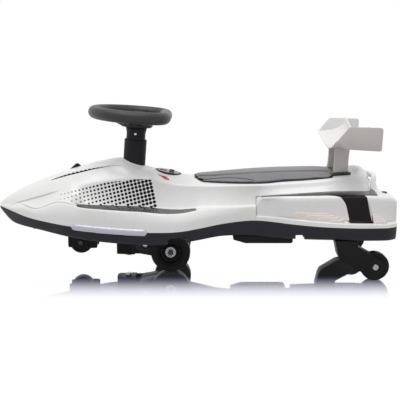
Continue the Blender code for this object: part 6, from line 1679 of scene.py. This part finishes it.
def makeHandle():
    h = handle
    outer = handleLine(h["half"], h["top"], h["outerRadius"])
    inner = handleLine(h["half"] - h["leg"], h["top"] - h["bar"], h["innerRadius"])
    rings = []
    for (y, z), (v, w) in zip(outer, inner):
        size = math.hypot(y - v, z - w)
        ring = []
        for u, x in softened(box(0, size, 0, h["thickness"]), h["radius"], 4):
            across, height = y + (v - y) * u / size, z + (w - z) * u / size
            bow = 3.5 * min(abs(across), 0.05) ** 2 + 0.153 * max(abs(across) - 0.05, 0)
            ring.append(Vector((nose + h["front"] + x - bow, across, height)))
        rings.append(ring)
    mount(ringObject("rearHandle", rings, "whiteMoulding", 50), "chassis", "rear_handle")


makeBlade()
for side, hand in hands:
    makeEndPlates(side, hand)
    makePost(side, hand)
makeSeatBase()
makeHandle()
print("backrest and handle ready")

# steering column, collar, hub and rim
column = {"radius": 0.0285, "wall": 0.0032, "top": 0.331, "depth": 0.026, "flutes": 60, "flute": 0.0003,
          "collarTop": 0.36, "collarDepth": 0.02, "screwHeight": 0.3465}
rim = {"height": 0.394, "radius": 0.109, "tube": 0.0155, "flat": 0.072, "corner": 0.3, "sides": 56,
       "groove": 0.0005, "grooveSides": (21, 49), "seam": (0.0765, 0.044)}
hub = {"depth": 0.034, "radius": 0.041}
spokes = ((math.pi, -0.021), (math.pi / 2, -0.007), (-math.pi / 2, -0.007))      # direction and sag
rimMatrix = Matrix.Translation(onColumn(rim["height"])) @ Matrix.Rotation(rake, 4, "Y")


def makeSleeve():
    c = column
    deck = lineAt("top", axisX)
    foot = onColumn(deck - c["depth"])
    rise = (c["top"] - deck + c["depth"]) / columnAxis.z
    turn = upward.rotation_difference(columnAxis).to_matrix()
    # distance along the column, depth of the flutes, share of the radius
    profile = [(0, 0, 1), (0.006, 1, 1), (rise - 0.003, 1, 1), (rise - 0.0022, 0.4, 1), (rise - 0.0016, 0, 1),
               (rise - 0.0006, 0, 0.985), (rise, 0, 0.955), (rise, 0, 0.9), (rise - 0.0008, 0, 0.883),
               (rise - 0.012, 0, 0.883)]
    rings = []
    for along, fluted, share in profile:
        ring = []
        for k, (u, v) in enumerate(circle(c["flutes"] * 6)):
            radius = c["radius"] * share - c["flute"] * fluted * max(math.cos(math.pi * k / 3), 0)
            ring.append(foot + turn @ Vector((radius * u, radius * v, along)))
        rings.append(ring)
    mount(ringObject("columnSleeve", rings, "sleeveBlack", 40), "chassis", "column_sleeve")
    middle = onColumn(deck).x
    rings = []
    for grow, lift in ((-0.001, 0.0004), (0.0004, 0.0012), (0.0019, 0.001), (0.0026, 0.0001),
                       (0.0022, -0.002)):
        radius = c["radius"] + grow
        ring = []
        for u, v in circle(96):
            x, y = middle + u * radius, v * radius
            ring.append(onDeck(x + (deckHeight(x, y) - deck) * math.tan(rake), y, lift))
        rings.append(ring)
    mount(ringObject("sleeveSkirt", rings, "whiteMoulding", 50), "chassis")


def screwHead(name, radius, depth):
    # domed head with a cross recess, its top at the origin and facing +Z
    profile = [(0, -depth), (radius, -depth), (radius, -depth * 0.55), (radius * 0.93, -depth * 0.3),
               (radius * 0.7, -depth * 0.1), (radius * 0.4, 0), (0, 0)]
    head = roundBody(name, profile, *atOrigin, "zinc", 40, 30)
    w, s = radius * 0.13, radius * 0.55
    arms = [pushed("arm", box(-u, u, -v, v), -depth * 0.6, depth, "XY", "zinc") for u, v in ((s, w), (w, s))]
    return carved(head, *arms)


def place(piece, point, facing, roll=0.0):
    # sets a piece made at the origin on a point, its +Z along the facing
    turn = upward.rotation_difference(Vector(facing)).to_matrix().to_4x4()
    piece.data.transform(Matrix.Translation(Vector(point)) @ turn @ Matrix.Rotation(roll, 4, "Z"))
    return piece


def makeCollar():
    c = column
    low = c["top"] - c["collarDepth"]
    top = (c["collarTop"] - low) / columnAxis.z - 0.0004
    radius = c["radius"] - c["wall"] - 0.001
    centre = onColumn(c["screwHeight"])
    profile = softened([(0, 0), (radius, 0), (radius, 0.018), (radius, 0.0195), (radius, top - 0.012),
                        (radius + 0.0026, top), (0, top)], [0, 0.001, 0, 0, 0.006, 0.0006, 0])
    body = roundBody("steeringCollar", profile, columnAxis, onColumn(low), "sleeveBlack", 96)
    hole = box(0, 0.0048, -0.03, 0.0022 - radius)
    tool = roundBody("screwTool", hole, (0, 1, 0), centre, "sleeveBlack", 32)
    mount(carved(body, tool), "steering", "steering_collar")
    spot = centre - Vector((0, radius + 0.0004, 0))
    mount(place(screwHead("collarScrew", 0.0036, 0.002), spot, (0, -1, 0)), "steering", "collar_screw")


def rimPath():
    # centre line: an arc and a straight rider side with rounded corners
    radius, flat = rim["radius"], rim["flat"]
    corner = math.acos(flat / radius)
    edge = radius * math.sin(corner)
    first = corner + rim["corner"]
    angles = [first + 2 * (math.pi - first) * k / 110 for k in range(111)]
    path = [Vector((radius * math.cos(angle), radius * math.sin(angle), 0)) for angle in angles]
    low, high = Vector((flat, -edge, 0)), Vector((flat, edge, 0))
    start, end = path[-1], path[0]
    run = Vector((0, (low - start).length, 0))
    path += [bend(start, low, low + run, k / 20) for k in range(1, 21)]
    path += [(low + run).lerp(high - run, k / 12) for k in range(1, 12)]
    path += [bend(high - run, high, end, k / 20) for k in range(20)]
    return path


def rimRing(path, i, radius, groove=0.0, shift=0.0):
    # ring round the rim's centre line, with a groove at two of its sides
    along = (path[(i + 1) % len(path)] - path[i - 1]).normalized()
    out = along.cross(upward).normalized()
    ring = []
    for k, (c, s) in enumerate(circle(rim["sides"])):
        r = radius - (groove if k in rim["grooveSides"] else 0)
        ring.append(rimMatrix @ (path[i] + along * shift + out * r * c + upward * r * s))
    return ring


def makeRim():
    path = rimPath()
    rings = [rimRing(path, i, rim["tube"], rim["groove"]) for i in range(len(path))]
    mount(ringObject("steeringRim", rings, "gripSkin", 60, wrap=True), "steering", "steering_rim")
    # a thin bead at each seam of the rim, painted light as the highlight along the seam
    seams = []
    for side in (-1, 1):
        goal = Vector((rim["seam"][0], side * rim["seam"][1], 0))
        spot = min(range(len(path)), key=lambda i: (path[i] - goal).length)
        rings = [rimRing(path, spot, radius, shift=shift)
                 for shift, radius in ((-0.0016, 0.015), (-0.0012, 0.016), (0.0012, 0.016), (0.0016, 0.015))]
        seams.append(ringObject("seam", rings, "trimSilver", 60))
    mount(joinedUp("rimSeams", seams), "steering")


def makeHub():
    radius, depth = hub["radius"], hub["depth"]
    profile = softened([(0, -depth), (0.0255, -depth), (0.028, -0.0322), (0.0385, -0.0312), (0.0412, -0.028),
                        (0.0415, -0.008), (radius - 0.002, 0.001), (radius - 0.007, 0.003), (0.024, 0.0042),
                        (0.0228, 0.002), (0.0215, 0.0042), (0.01, 0.005), (0, 0.005)],
                       [0, 0.001, 0.001, 0.0012, 0.002, 0.004, 0.002, 0.003, 0.0004, 0.0004, 0.0004, 0.002,
                        0])
    parts = [roundBody("bowl", profile, *atOrigin, "hubBlack", 96, 28)]
    root, tip = radius - 0.012, rim["radius"] - rim["tube"] + 0.0012
    for angle, sag in spokes:
        turn = Matrix.Rotation(angle, 4, "Z")
        rings = []
        for k in range(19):
            t = k / 18
            half = bend(0.021, 0.012, 0.017, t)
            section = box(-half, half, bend(-0.032, sag, -0.0045, t), bend(-0.002, 0.0005, 0.0035, t))
            rings.append([turn @ Vector((root + (tip - root) * t, v, w))
                          for v, w in softened(section, [0.0035, 0.0035, 0.0025, 0.0025], 4)])
        parts.append(ringObject("spoke", rings, "hubBlack", 35))
    made = joinedUp("steeringHub", parts)
    made.data.transform(rimMatrix)
    mount(made, "steering", "steering_hub")
    screws = []
    for angle, sag in spokes:
        turn = rimMatrix @ Matrix.Rotation(angle, 4, "Z") @ Matrix.Translation((0.066, 0, -0.0122))
        screw = screwHead("spokeScrew", 0.003, 0.0018)
        screw.data.transform(turn @ Matrix.Rotation(math.pi, 4, "X"))
        screws.append(screw)
    mount(joinedUp("spokeScrews", screws), "steering")


makeSleeve()
makeCollar()
makeRim()
makeHub()
print("column and steering wheel ready")

# drive unit under the column, drive wheels, guard roller and rear wheels
axle = (-0.05275, 0.05)
motor = (-0.11915, 0.064)
cheekFace = 0.0455
driveWheel = {"inner": 0.0475, "outer": 0.0775, "radius": 0.05, "seat": 0.034, "bore": 0.034,
              "bearing": 0.0132, "corner": 0.0055, "grooves": 5, "groove": 0.0008}
rearWheel = {"x": 0.44975, "z": 0.035, "inner": 0.131, "outer": 0.155, "radius": 0.035, "seat": 0.0217,
             "bore": 0.0219, "corner": 0.005, "grooves": 3, "groove": 0.0006}
guard = {"x": -0.28925, "z": 0.0625, "radius": 0.03, "half": 0.015}


def hexagon(radius, start=0.0):
    return [(radius * c, radius * s) for c, s in circle(6, start)]


def hexHead(name, radius, height, look, socket=0.0, flange=0.0):
    # bolt head on the origin, its top at +height, with a socket and a round flange if wanted
    parts = [pushed(name, hexagon(radius), 0, height, "XY", look, 0.0006)]
    if socket:
        tool = pushed("socket", hexagon(socket, 1.2 / math.pi), height * 0.35, height * 2, "XY", look)
        parts[0] = carved(parts[0], tool)
    if flange:
        profile = [(0, -0.0004), (flange, -0.0004), (flange, 0.0004), (flange - 0.0006, 0.0009), (0, 0.0009)]
        parts.append(roundBody("flange", profile, *atOrigin, look, 48))
    return joinedUp(name, parts)


def screwSet(name, spots, radius, depth, body):
    # cross-head screws at (point, facing) pairs
    made = [place(screwHead("screw", radius, depth), point, facing, 0.7 * k)
            for k, (point, facing) in enumerate(spots)]
    mount(joinedUp(name, made), body)


def ringsOn(name, centre, side, level, radii, height, look):
    # flat-topped concentric ribs on a face square to Y
    parts = []
    for low, high in radii:
        profile = [(low, -0.0004), (high, -0.0004), (high, height - 0.0003), (high - 0.0003, height),
                   (low + 0.0003, height), (low, height - 0.0003)]
        parts.append(roundBody(name, profile, (0, side, 0), (centre[0], side * level, centre[1]), look, 72))
    return joinedUp(name, parts)


def starOf(count, start, outline, low, high, edge, centre, side):
    # ribs round a centre, on a face square to Y
    return [place(pushed("rib", outline, low, high, "XY", "blackNylon", edge, 1), centre, (0, side, 0),
                  2 * math.pi * (k + start) / count) for k in range(count)]


def makeDriveUnit():
    dressed("steering_fork", "blackNylon", 0.001, 3)
    dressed("drive_motor", "zinc", 0.0008)
    dressed("shaft_nut", "zinc", 0.0005)
    dressed("column_bush", "blackNylon", 0.0005)
    dressed("steering_shaft", "zinc", 0.0004)
    spots = []
    for side, hand in hands:
        across = (0, side, 0)
        centre = (motor[0], side * cheekFace, motor[1])
        dressed("gearbox_" + hand, "blackNylon", 0.0009, 3)
        plate = softened(box(0, 0.0248, -0.0004, 0.0004), [0, 0, 0.0004, 0], 2)
        # the cheek plate is painted lighter than the tray, as painted light
        mount(roundBody("cheekPlate_" + hand, plate, across, centre, "cheekGrey"), "steering")
        mount(ringsOn("cheekRings_" + hand, motor, side, cheekFace, ((0.0205, 0.0225), (0.0105, 0.0122)),
                      0.0009, "blackNylon"), "steering")
        parts = starOf(12, 0, box(0.0118, 0.0208, -0.0006, 0.0006), -0.0003, 0.0006, 0.0002, centre, side)
        mount(joinedUp("cheekRibs_" + hand, parts), "steering")
        head = hexHead("cheekBolt_" + hand, 0.0062, 0.0028, "zinc", 0.0027, 0.0068)
        mount(place(head, (motor[0], side * (cheekFace + 0.0003), motor[1]), across), "steering",
              "cheek_bolt_" + hand)
        spots += [((x, side * 0.0403, z), across)
                  for x, z in ((-0.086, 0.0815), (-0.08, 0.0345), (-0.033, 0.07), (-0.033, 0.03))]
    screwSet("gearboxScrews", spots, 0.0028, 0.0015, "steering")


def makeFrontAxle():
    x, z = axle
    outer = driveWheel["outer"]
    parts = [roundBody("rod", box(0, 0.005, -outer, outer), (0, 1, 0), (x, 0, z), "darkSteel", 40)]
    washer = softened(box(0, 0.007, 0.0006, 0.0022), [0, 0.0004, 0.0006, 0], 2)
    for side in (-1, 1):
        parts.append(roundBody("washer", washer, (0, side, 0), (x, side * outer, z), "darkSteel", 48))
    head = hexHead("head", 0.006, 0.0034, "darkSteel", 0.0026)
    parts.append(place(head, (x, -outer - 0.0022, z), (0, -1, 0)))
    mount(joinedUp("frontAxle", parts), "steering", "front_axle")
    nut = hexHead("axleNut", 0.0062, 0.003, "darkSteel")
    mount(place(nut, (x, outer + 0.0022, z), (0, 1, 0)), "steering", "axle_nut")


def tyreProfile(wheel):
    # cross-section of a tyre with grooves round its tread
    radius, inner, outer, corner = [wheel[key] for key in ("radius", "inner", "outer", "corner")]
    grooves = wheel["grooves"]
    outline = [(wheel["bore"], inner), (radius - 0.0012, inner), (radius, inner + 0.0012)]
    for k in range(grooves):
        middle = inner + (outer - inner) * (0.26 + 0.48 * k / (grooves - 1))
        outline += [(radius, middle - 0.0007), (radius - wheel["groove"], middle - 0.0004),
                    (radius - wheel["groove"], middle + 0.0004), (radius, middle + 0.0007)]
    outline += [(radius, outer - 0.0012), (radius - 0.0012, outer), (wheel["bore"], outer)]
    return softened(outline, [0.0006, corner, corner] + [0] * 4 * grooves + [corner, corner, 0.0006], 5)


def makeDriveWheels():
    w = driveWheel
    centre = (axle[0], 0, axle[1])
    face, dish, near = [w["outer"] - sunk for sunk in (0.0026, 0.0086, 0.0028)]
    back, low, high = w["inner"] + 0.0026, w["bearing"] + 0.0001, w["seat"] - 0.0002
    bowl = softened([(low, back), (high, back), (high, face), (0.029, face), (0.0262, dish), (0.0205, dish),
                     (0.0175, face), (low, face)],
                    [0, 0.0006, 0.0006, 0.0008, 0.0012, 0.0012, 0.0008, 0.0003])
    for side, hand in hands:
        body = "drive_wheel_" + hand
        across = (0, side, 0)
        mount(roundBody("driveTyre_" + hand, tyreProfile(w), across, centre, "tyreRubber", 112), body,
              "drive_tyre_" + hand)
        mount(ringsOn("tyreRings_" + hand, axle, side, w["outer"], ((0.0352, 0.0362), (0.0405, 0.0411)),
                      0.0003, "tyreRubber"), body)
        parts = [roundBody("bowl", bowl, across, centre, "blackNylon", 96)]
        parts += starOf(10, 0.5, box(0.018, 0.0275, -0.0009, 0.0009), -0.001, 0.0048, 0.0003,
                        (axle[0], side * dish, axle[1]), side)
        mount(joinedUp("driveHub_" + hand, parts), body, "drive_hub_" + hand)
        parts = [roundBody("race", softened(box(low, high, near - 0.006, near), 0.0003, 2), across, centre,
                           "brightSteel") for low, high in ((0.0112, w["bearing"]), (0.0056, 0.0078))]
        cage = box(0.0079, 0.0111, near - 0.003, near - 0.0024)
        parts.append(roundBody("cage", cage, across, centre, "brightSteel"))
        ball = [(0.00165 * s, -0.00165 * c) for c, s in circle(16)[:9]]
        for c, s in circle(9):
            spot = (axle[0] + 0.0095 * c, side * (near - 0.0022), axle[1] + 0.0095 * s)
            parts.append(roundBody("ball", ball, across, spot, "brightSteel", 16))
        mount(joinedUp("driveBearing_" + hand, parts), body, "drive_bearing_" + hand)


def makeRearWheels():
    w = rearWheel
    x, z = w["x"], w["z"]
    middle = (w["inner"] + w["outer"]) / 2
    half = [(0.0043, 0.0113), (0.0085, 0.0113), (0.01, 0.008), (0.018, 0.008), (0.019, 0.0105),
            (w["seat"], 0.0105)]
    profile = softened([(r, middle - d) for r, d in half] + [(r, middle + d) for r, d in half[::-1]],
                       [0] + [0.0006] * 10 + [0], 2)
    for side, hand in hands:
        body = "rear_wheel_" + hand
        across, centre = (0, side, 0), (x, 0, z)
        mount(roundBody("rearTyre_" + hand, tyreProfile(w), across, centre, "tyreRubber", 96), body,
              "rear_tyre_" + hand)
        mount(roundBody("rearHub_" + hand, profile, across, centre, "blackNylon", 80), body,
              "rear_hub_" + hand)
        dressed("rear_leg_" + hand, "blackNylon", 0.0016, 3)
        mount(ringsOn("legRing_" + hand, (x, z), side, 0.162, ((0.0125, 0.015),), 0.0007, "blackNylon"),
              "chassis")
        head = hexHead("head", 0.0064, 0.0036, "brightSteel", 0.003, 0.007)
        shank = roundBody("shank", box(0, 0.0039, 0.12, 0.1624), across, centre, "brightSteel", 32)
        nut = hexHead("nut", 0.0066, 0.0034, "brightSteel")
        parts = [place(head, (x, side * 0.1622, z), across), shank, place(nut, (x, side * 0.1202, z), across)]
        mount(joinedUp("rearBolt_" + hand, parts), "chassis", "rear_bolt_" + hand)


def makeGuard():
    radius, edge = guard["radius"], guard["half"]
    across = ((0, 1, 0), (guard["x"], 0, guard["z"]))
    half = [(0.0046, edge), (0.012, edge), (0.013, edge - 0.0012), (0.021, edge - 0.0012), (0.022, edge),
            (radius, edge), (radius, 0.0012)]
    soft = [0, 0.0004, 0.0004, 0.0004, 0.0004, 0.004, 0]
    profile = softened([(r, -d) for r, d in half] + [(radius - 0.0008, 0)] + half[::-1],
                       soft + [0.0003] + soft[::-1])
    mount(roundBody("guardWheel", profile, *across, "tyreRubber", 96), "guard_roller", "guard_wheel")
    dressed("guard_bracket", "blackNylon", 0.0011, 3)
    rod = [(0, -0.021), (0.004, -0.021), (0.004, 0.0222), (0.0034, 0.0226), (0, 0.0226)]
    head = softened([(0, -0.0238), (0.0058, -0.0238), (0.0067, -0.0226), (0.0067, -0.0208), (0, -0.0208)],
                    [0, 0.0005, 0.0005, 0.0004, 0], 2)
    parts = [roundBody("rod", rod, *across, "darkSteel", 40),
             roundBody("head", head, *across, "darkSteel", 48)]
    mount(joinedUp("guardAxle", parts), "chassis", "guard_axle")
    spots = [((x, y, 0.1037), (0, 0, -1)) for x in (-0.318, -0.252) for y in (-0.0255, 0.0255)]
    screwSet("guardScrews", spots, 0.003, 0.0018, "chassis")


makeDriveUnit()
makeFrontAxle()
makeDriveWheels()
makeRearWheels()
makeGuard()
print("drive unit and wheels ready")

# battery box, battery, charging inlet, pedal and the screws of the mouldings
trayRows = trayGrid["yz"].shape[1] - 1
pedalMiddle = 0.13671
tailScrew = (0.478, 0.098)


def fromBelow(tree, x, y):
    # point and outward direction on a piece's underside
    point, facing = tree.ray_cast(Vector((x, y, 0.02)), upward)[:2]
    return point, facing if facing.z < 0 else -facing


def tapered(x, wide, root, narrow, tip, radius):
    return softened([(x - wide, root), (x + wide, root), (x + narrow, tip), (x - narrow, tip)],
                    [0, 0, radius, radius], 2)


def makeBattery():
    tree = treeOf(dressed("battery_box", "blackNylon", 0.0012, 3))
    parts = []
    for k in range(7):
        x = 0.143 + 0.0155 * k
        low = fromBelow(tree, x, 0)[0].z
        outline = tapered(x, 0.0012, low + 0.001, 0.0009, low - 0.001, 0.0004)
        parts.append(pushed("rib", outline, -0.07, 0.07, "XZ", "blackNylon"))
    mount(joinedUp("boxRibs", parts), "chassis")
    spots = []
    for x in (0.139, 0.247):
        for y in (-0.081, 0.081):
            point, out = fromBelow(tree, x, y)
            spots.append((point + out * 0.0006, out))
    screwSet("boxScrews", spots, 0.0034, 0.0018, "chassis")
    dressed("battery", "batteryCase", 0.0012)
    tabs = [pushed("tab", softened(box(0.172, 0.18, y - 0.003, y + 0.003), 0.0008, 2), 0.17, 0.1712, "XY",
                   "zinc") for y in (-0.034, 0.034)]
    mount(joinedUp("batteryTabs", tabs), "chassis")


def makeInlet():
    across = ((0, 1, 0), (0.15275, 0, 0.119))
    profile = softened([(0, 0.083), (0.0072, 0.083), (0.0072, 0.1062), (0.0104, 0.1062), (0.0104, 0.108),
                        (0.006, 0.1084), (0.0042, 0.1072), (0.0035, 0.107), (0.0035, 0.093), (0, 0.093)],
                       [0, 0.0004, 0, 0.0003, 0.0007, 0.0005, 0.0003, 0.0003, 0, 0], 2)
    mount(roundBody("chargingInlet", profile, *across, "blackNylon"), "chassis", "charging_socket")
    pin = softened([(0, 0.0929), (0.001, 0.0929), (0.001, 0.103), (0, 0.1034)], [0, 0, 0.0005, 0], 2)
    mount(roundBody("inletPin", pin, *across, "zinc", 24), "chassis")


def makePedal():
    tree = treeOf(dressed("accelerator_pedal", "blackNylon", 0.0009, 3))
    bars = []
    for k in range(7):
        x = -0.164 + 0.0085 * k
        top = onTop(tree, x, pedalMiddle)[0].z
        outline = tapered(x, 0.0016, top - 0.0006, 0.0009, top + 0.0014, 0.0006)
        bars.append(pushed("bar", outline, pedalMiddle - 0.0165, pedalMiddle + 0.0165, "XZ", "blackNylon",
                           0.0004, 1))
    mount(joinedUp("pedalBars", bars), "pedal")
    dressed("pedal_bracket", "blackNylon", 0.0007)


def makeBodyScrews():
    # countersunk screws under the floor, rings on the tail's ledges and sunk holes along the tray's side, each
    # hole a dark disc of painted shade
    spots = []
    for x in (-0.43, -0.34, 0.035, 0.115, 0.285, 0.335, 0.44):
        y, z = gridPoint(trayGrid, x, trayRows * 0.93)
        spots += [((x, side * y, z - 0.0005), (0, 0, -1)) for side in (-1, 1)]
    screwSet("trayScrews", spots, 0.0036, 0.002, "chassis")
    ring = [(0.0046, -0.001), (0.0068, -0.001), (0.0068, 0.002), (0.0062, 0.0026), (0.0052, 0.0026),
            (0.0046, 0.0016)]
    x, y = tailScrew
    z = gridPoint(rearGrid, x, rearShape["deckRows"] * 0.75)[1]
    rings = [roundBody("ring", profile, (0, 0, 1), (x, side * y, z), "blackNylon", count) for side in (-1, 1)
             for profile, count in ((ring, 48), (box(0, 0.0047, -0.001, 0.0002), 32))]
    mount(joinedUp("tailScrewRings", rings), "chassis")
    profile = [(0, -0.001), (0.0026, -0.001), (0.0026, 0.0002), (0.0021, 0.0004), (0.0018, 0.0001),
               (0, 0.0001)]
    # each hole is a dark disc: painted shade inside the hole
    holes = []
    for side in (-1, 1):
        for x, row in ((-0.4428, 8.5), (-0.3909, 12), (0.1681, 9.1)):
            point, out = surfacePoint(trayGrid, x, row, side)
            out = Vector((out.x, side * abs(out.y), -abs(out.z)))
            holes.append(roundBody("hole", profile, out, point, "blackNylon", 24))
    mount(joinedUp("trayHoles", holes), "chassis")


makeBattery()
makeInlet()
makePedal()
makeBodyScrews()
print("underside, pedal and screws ready")
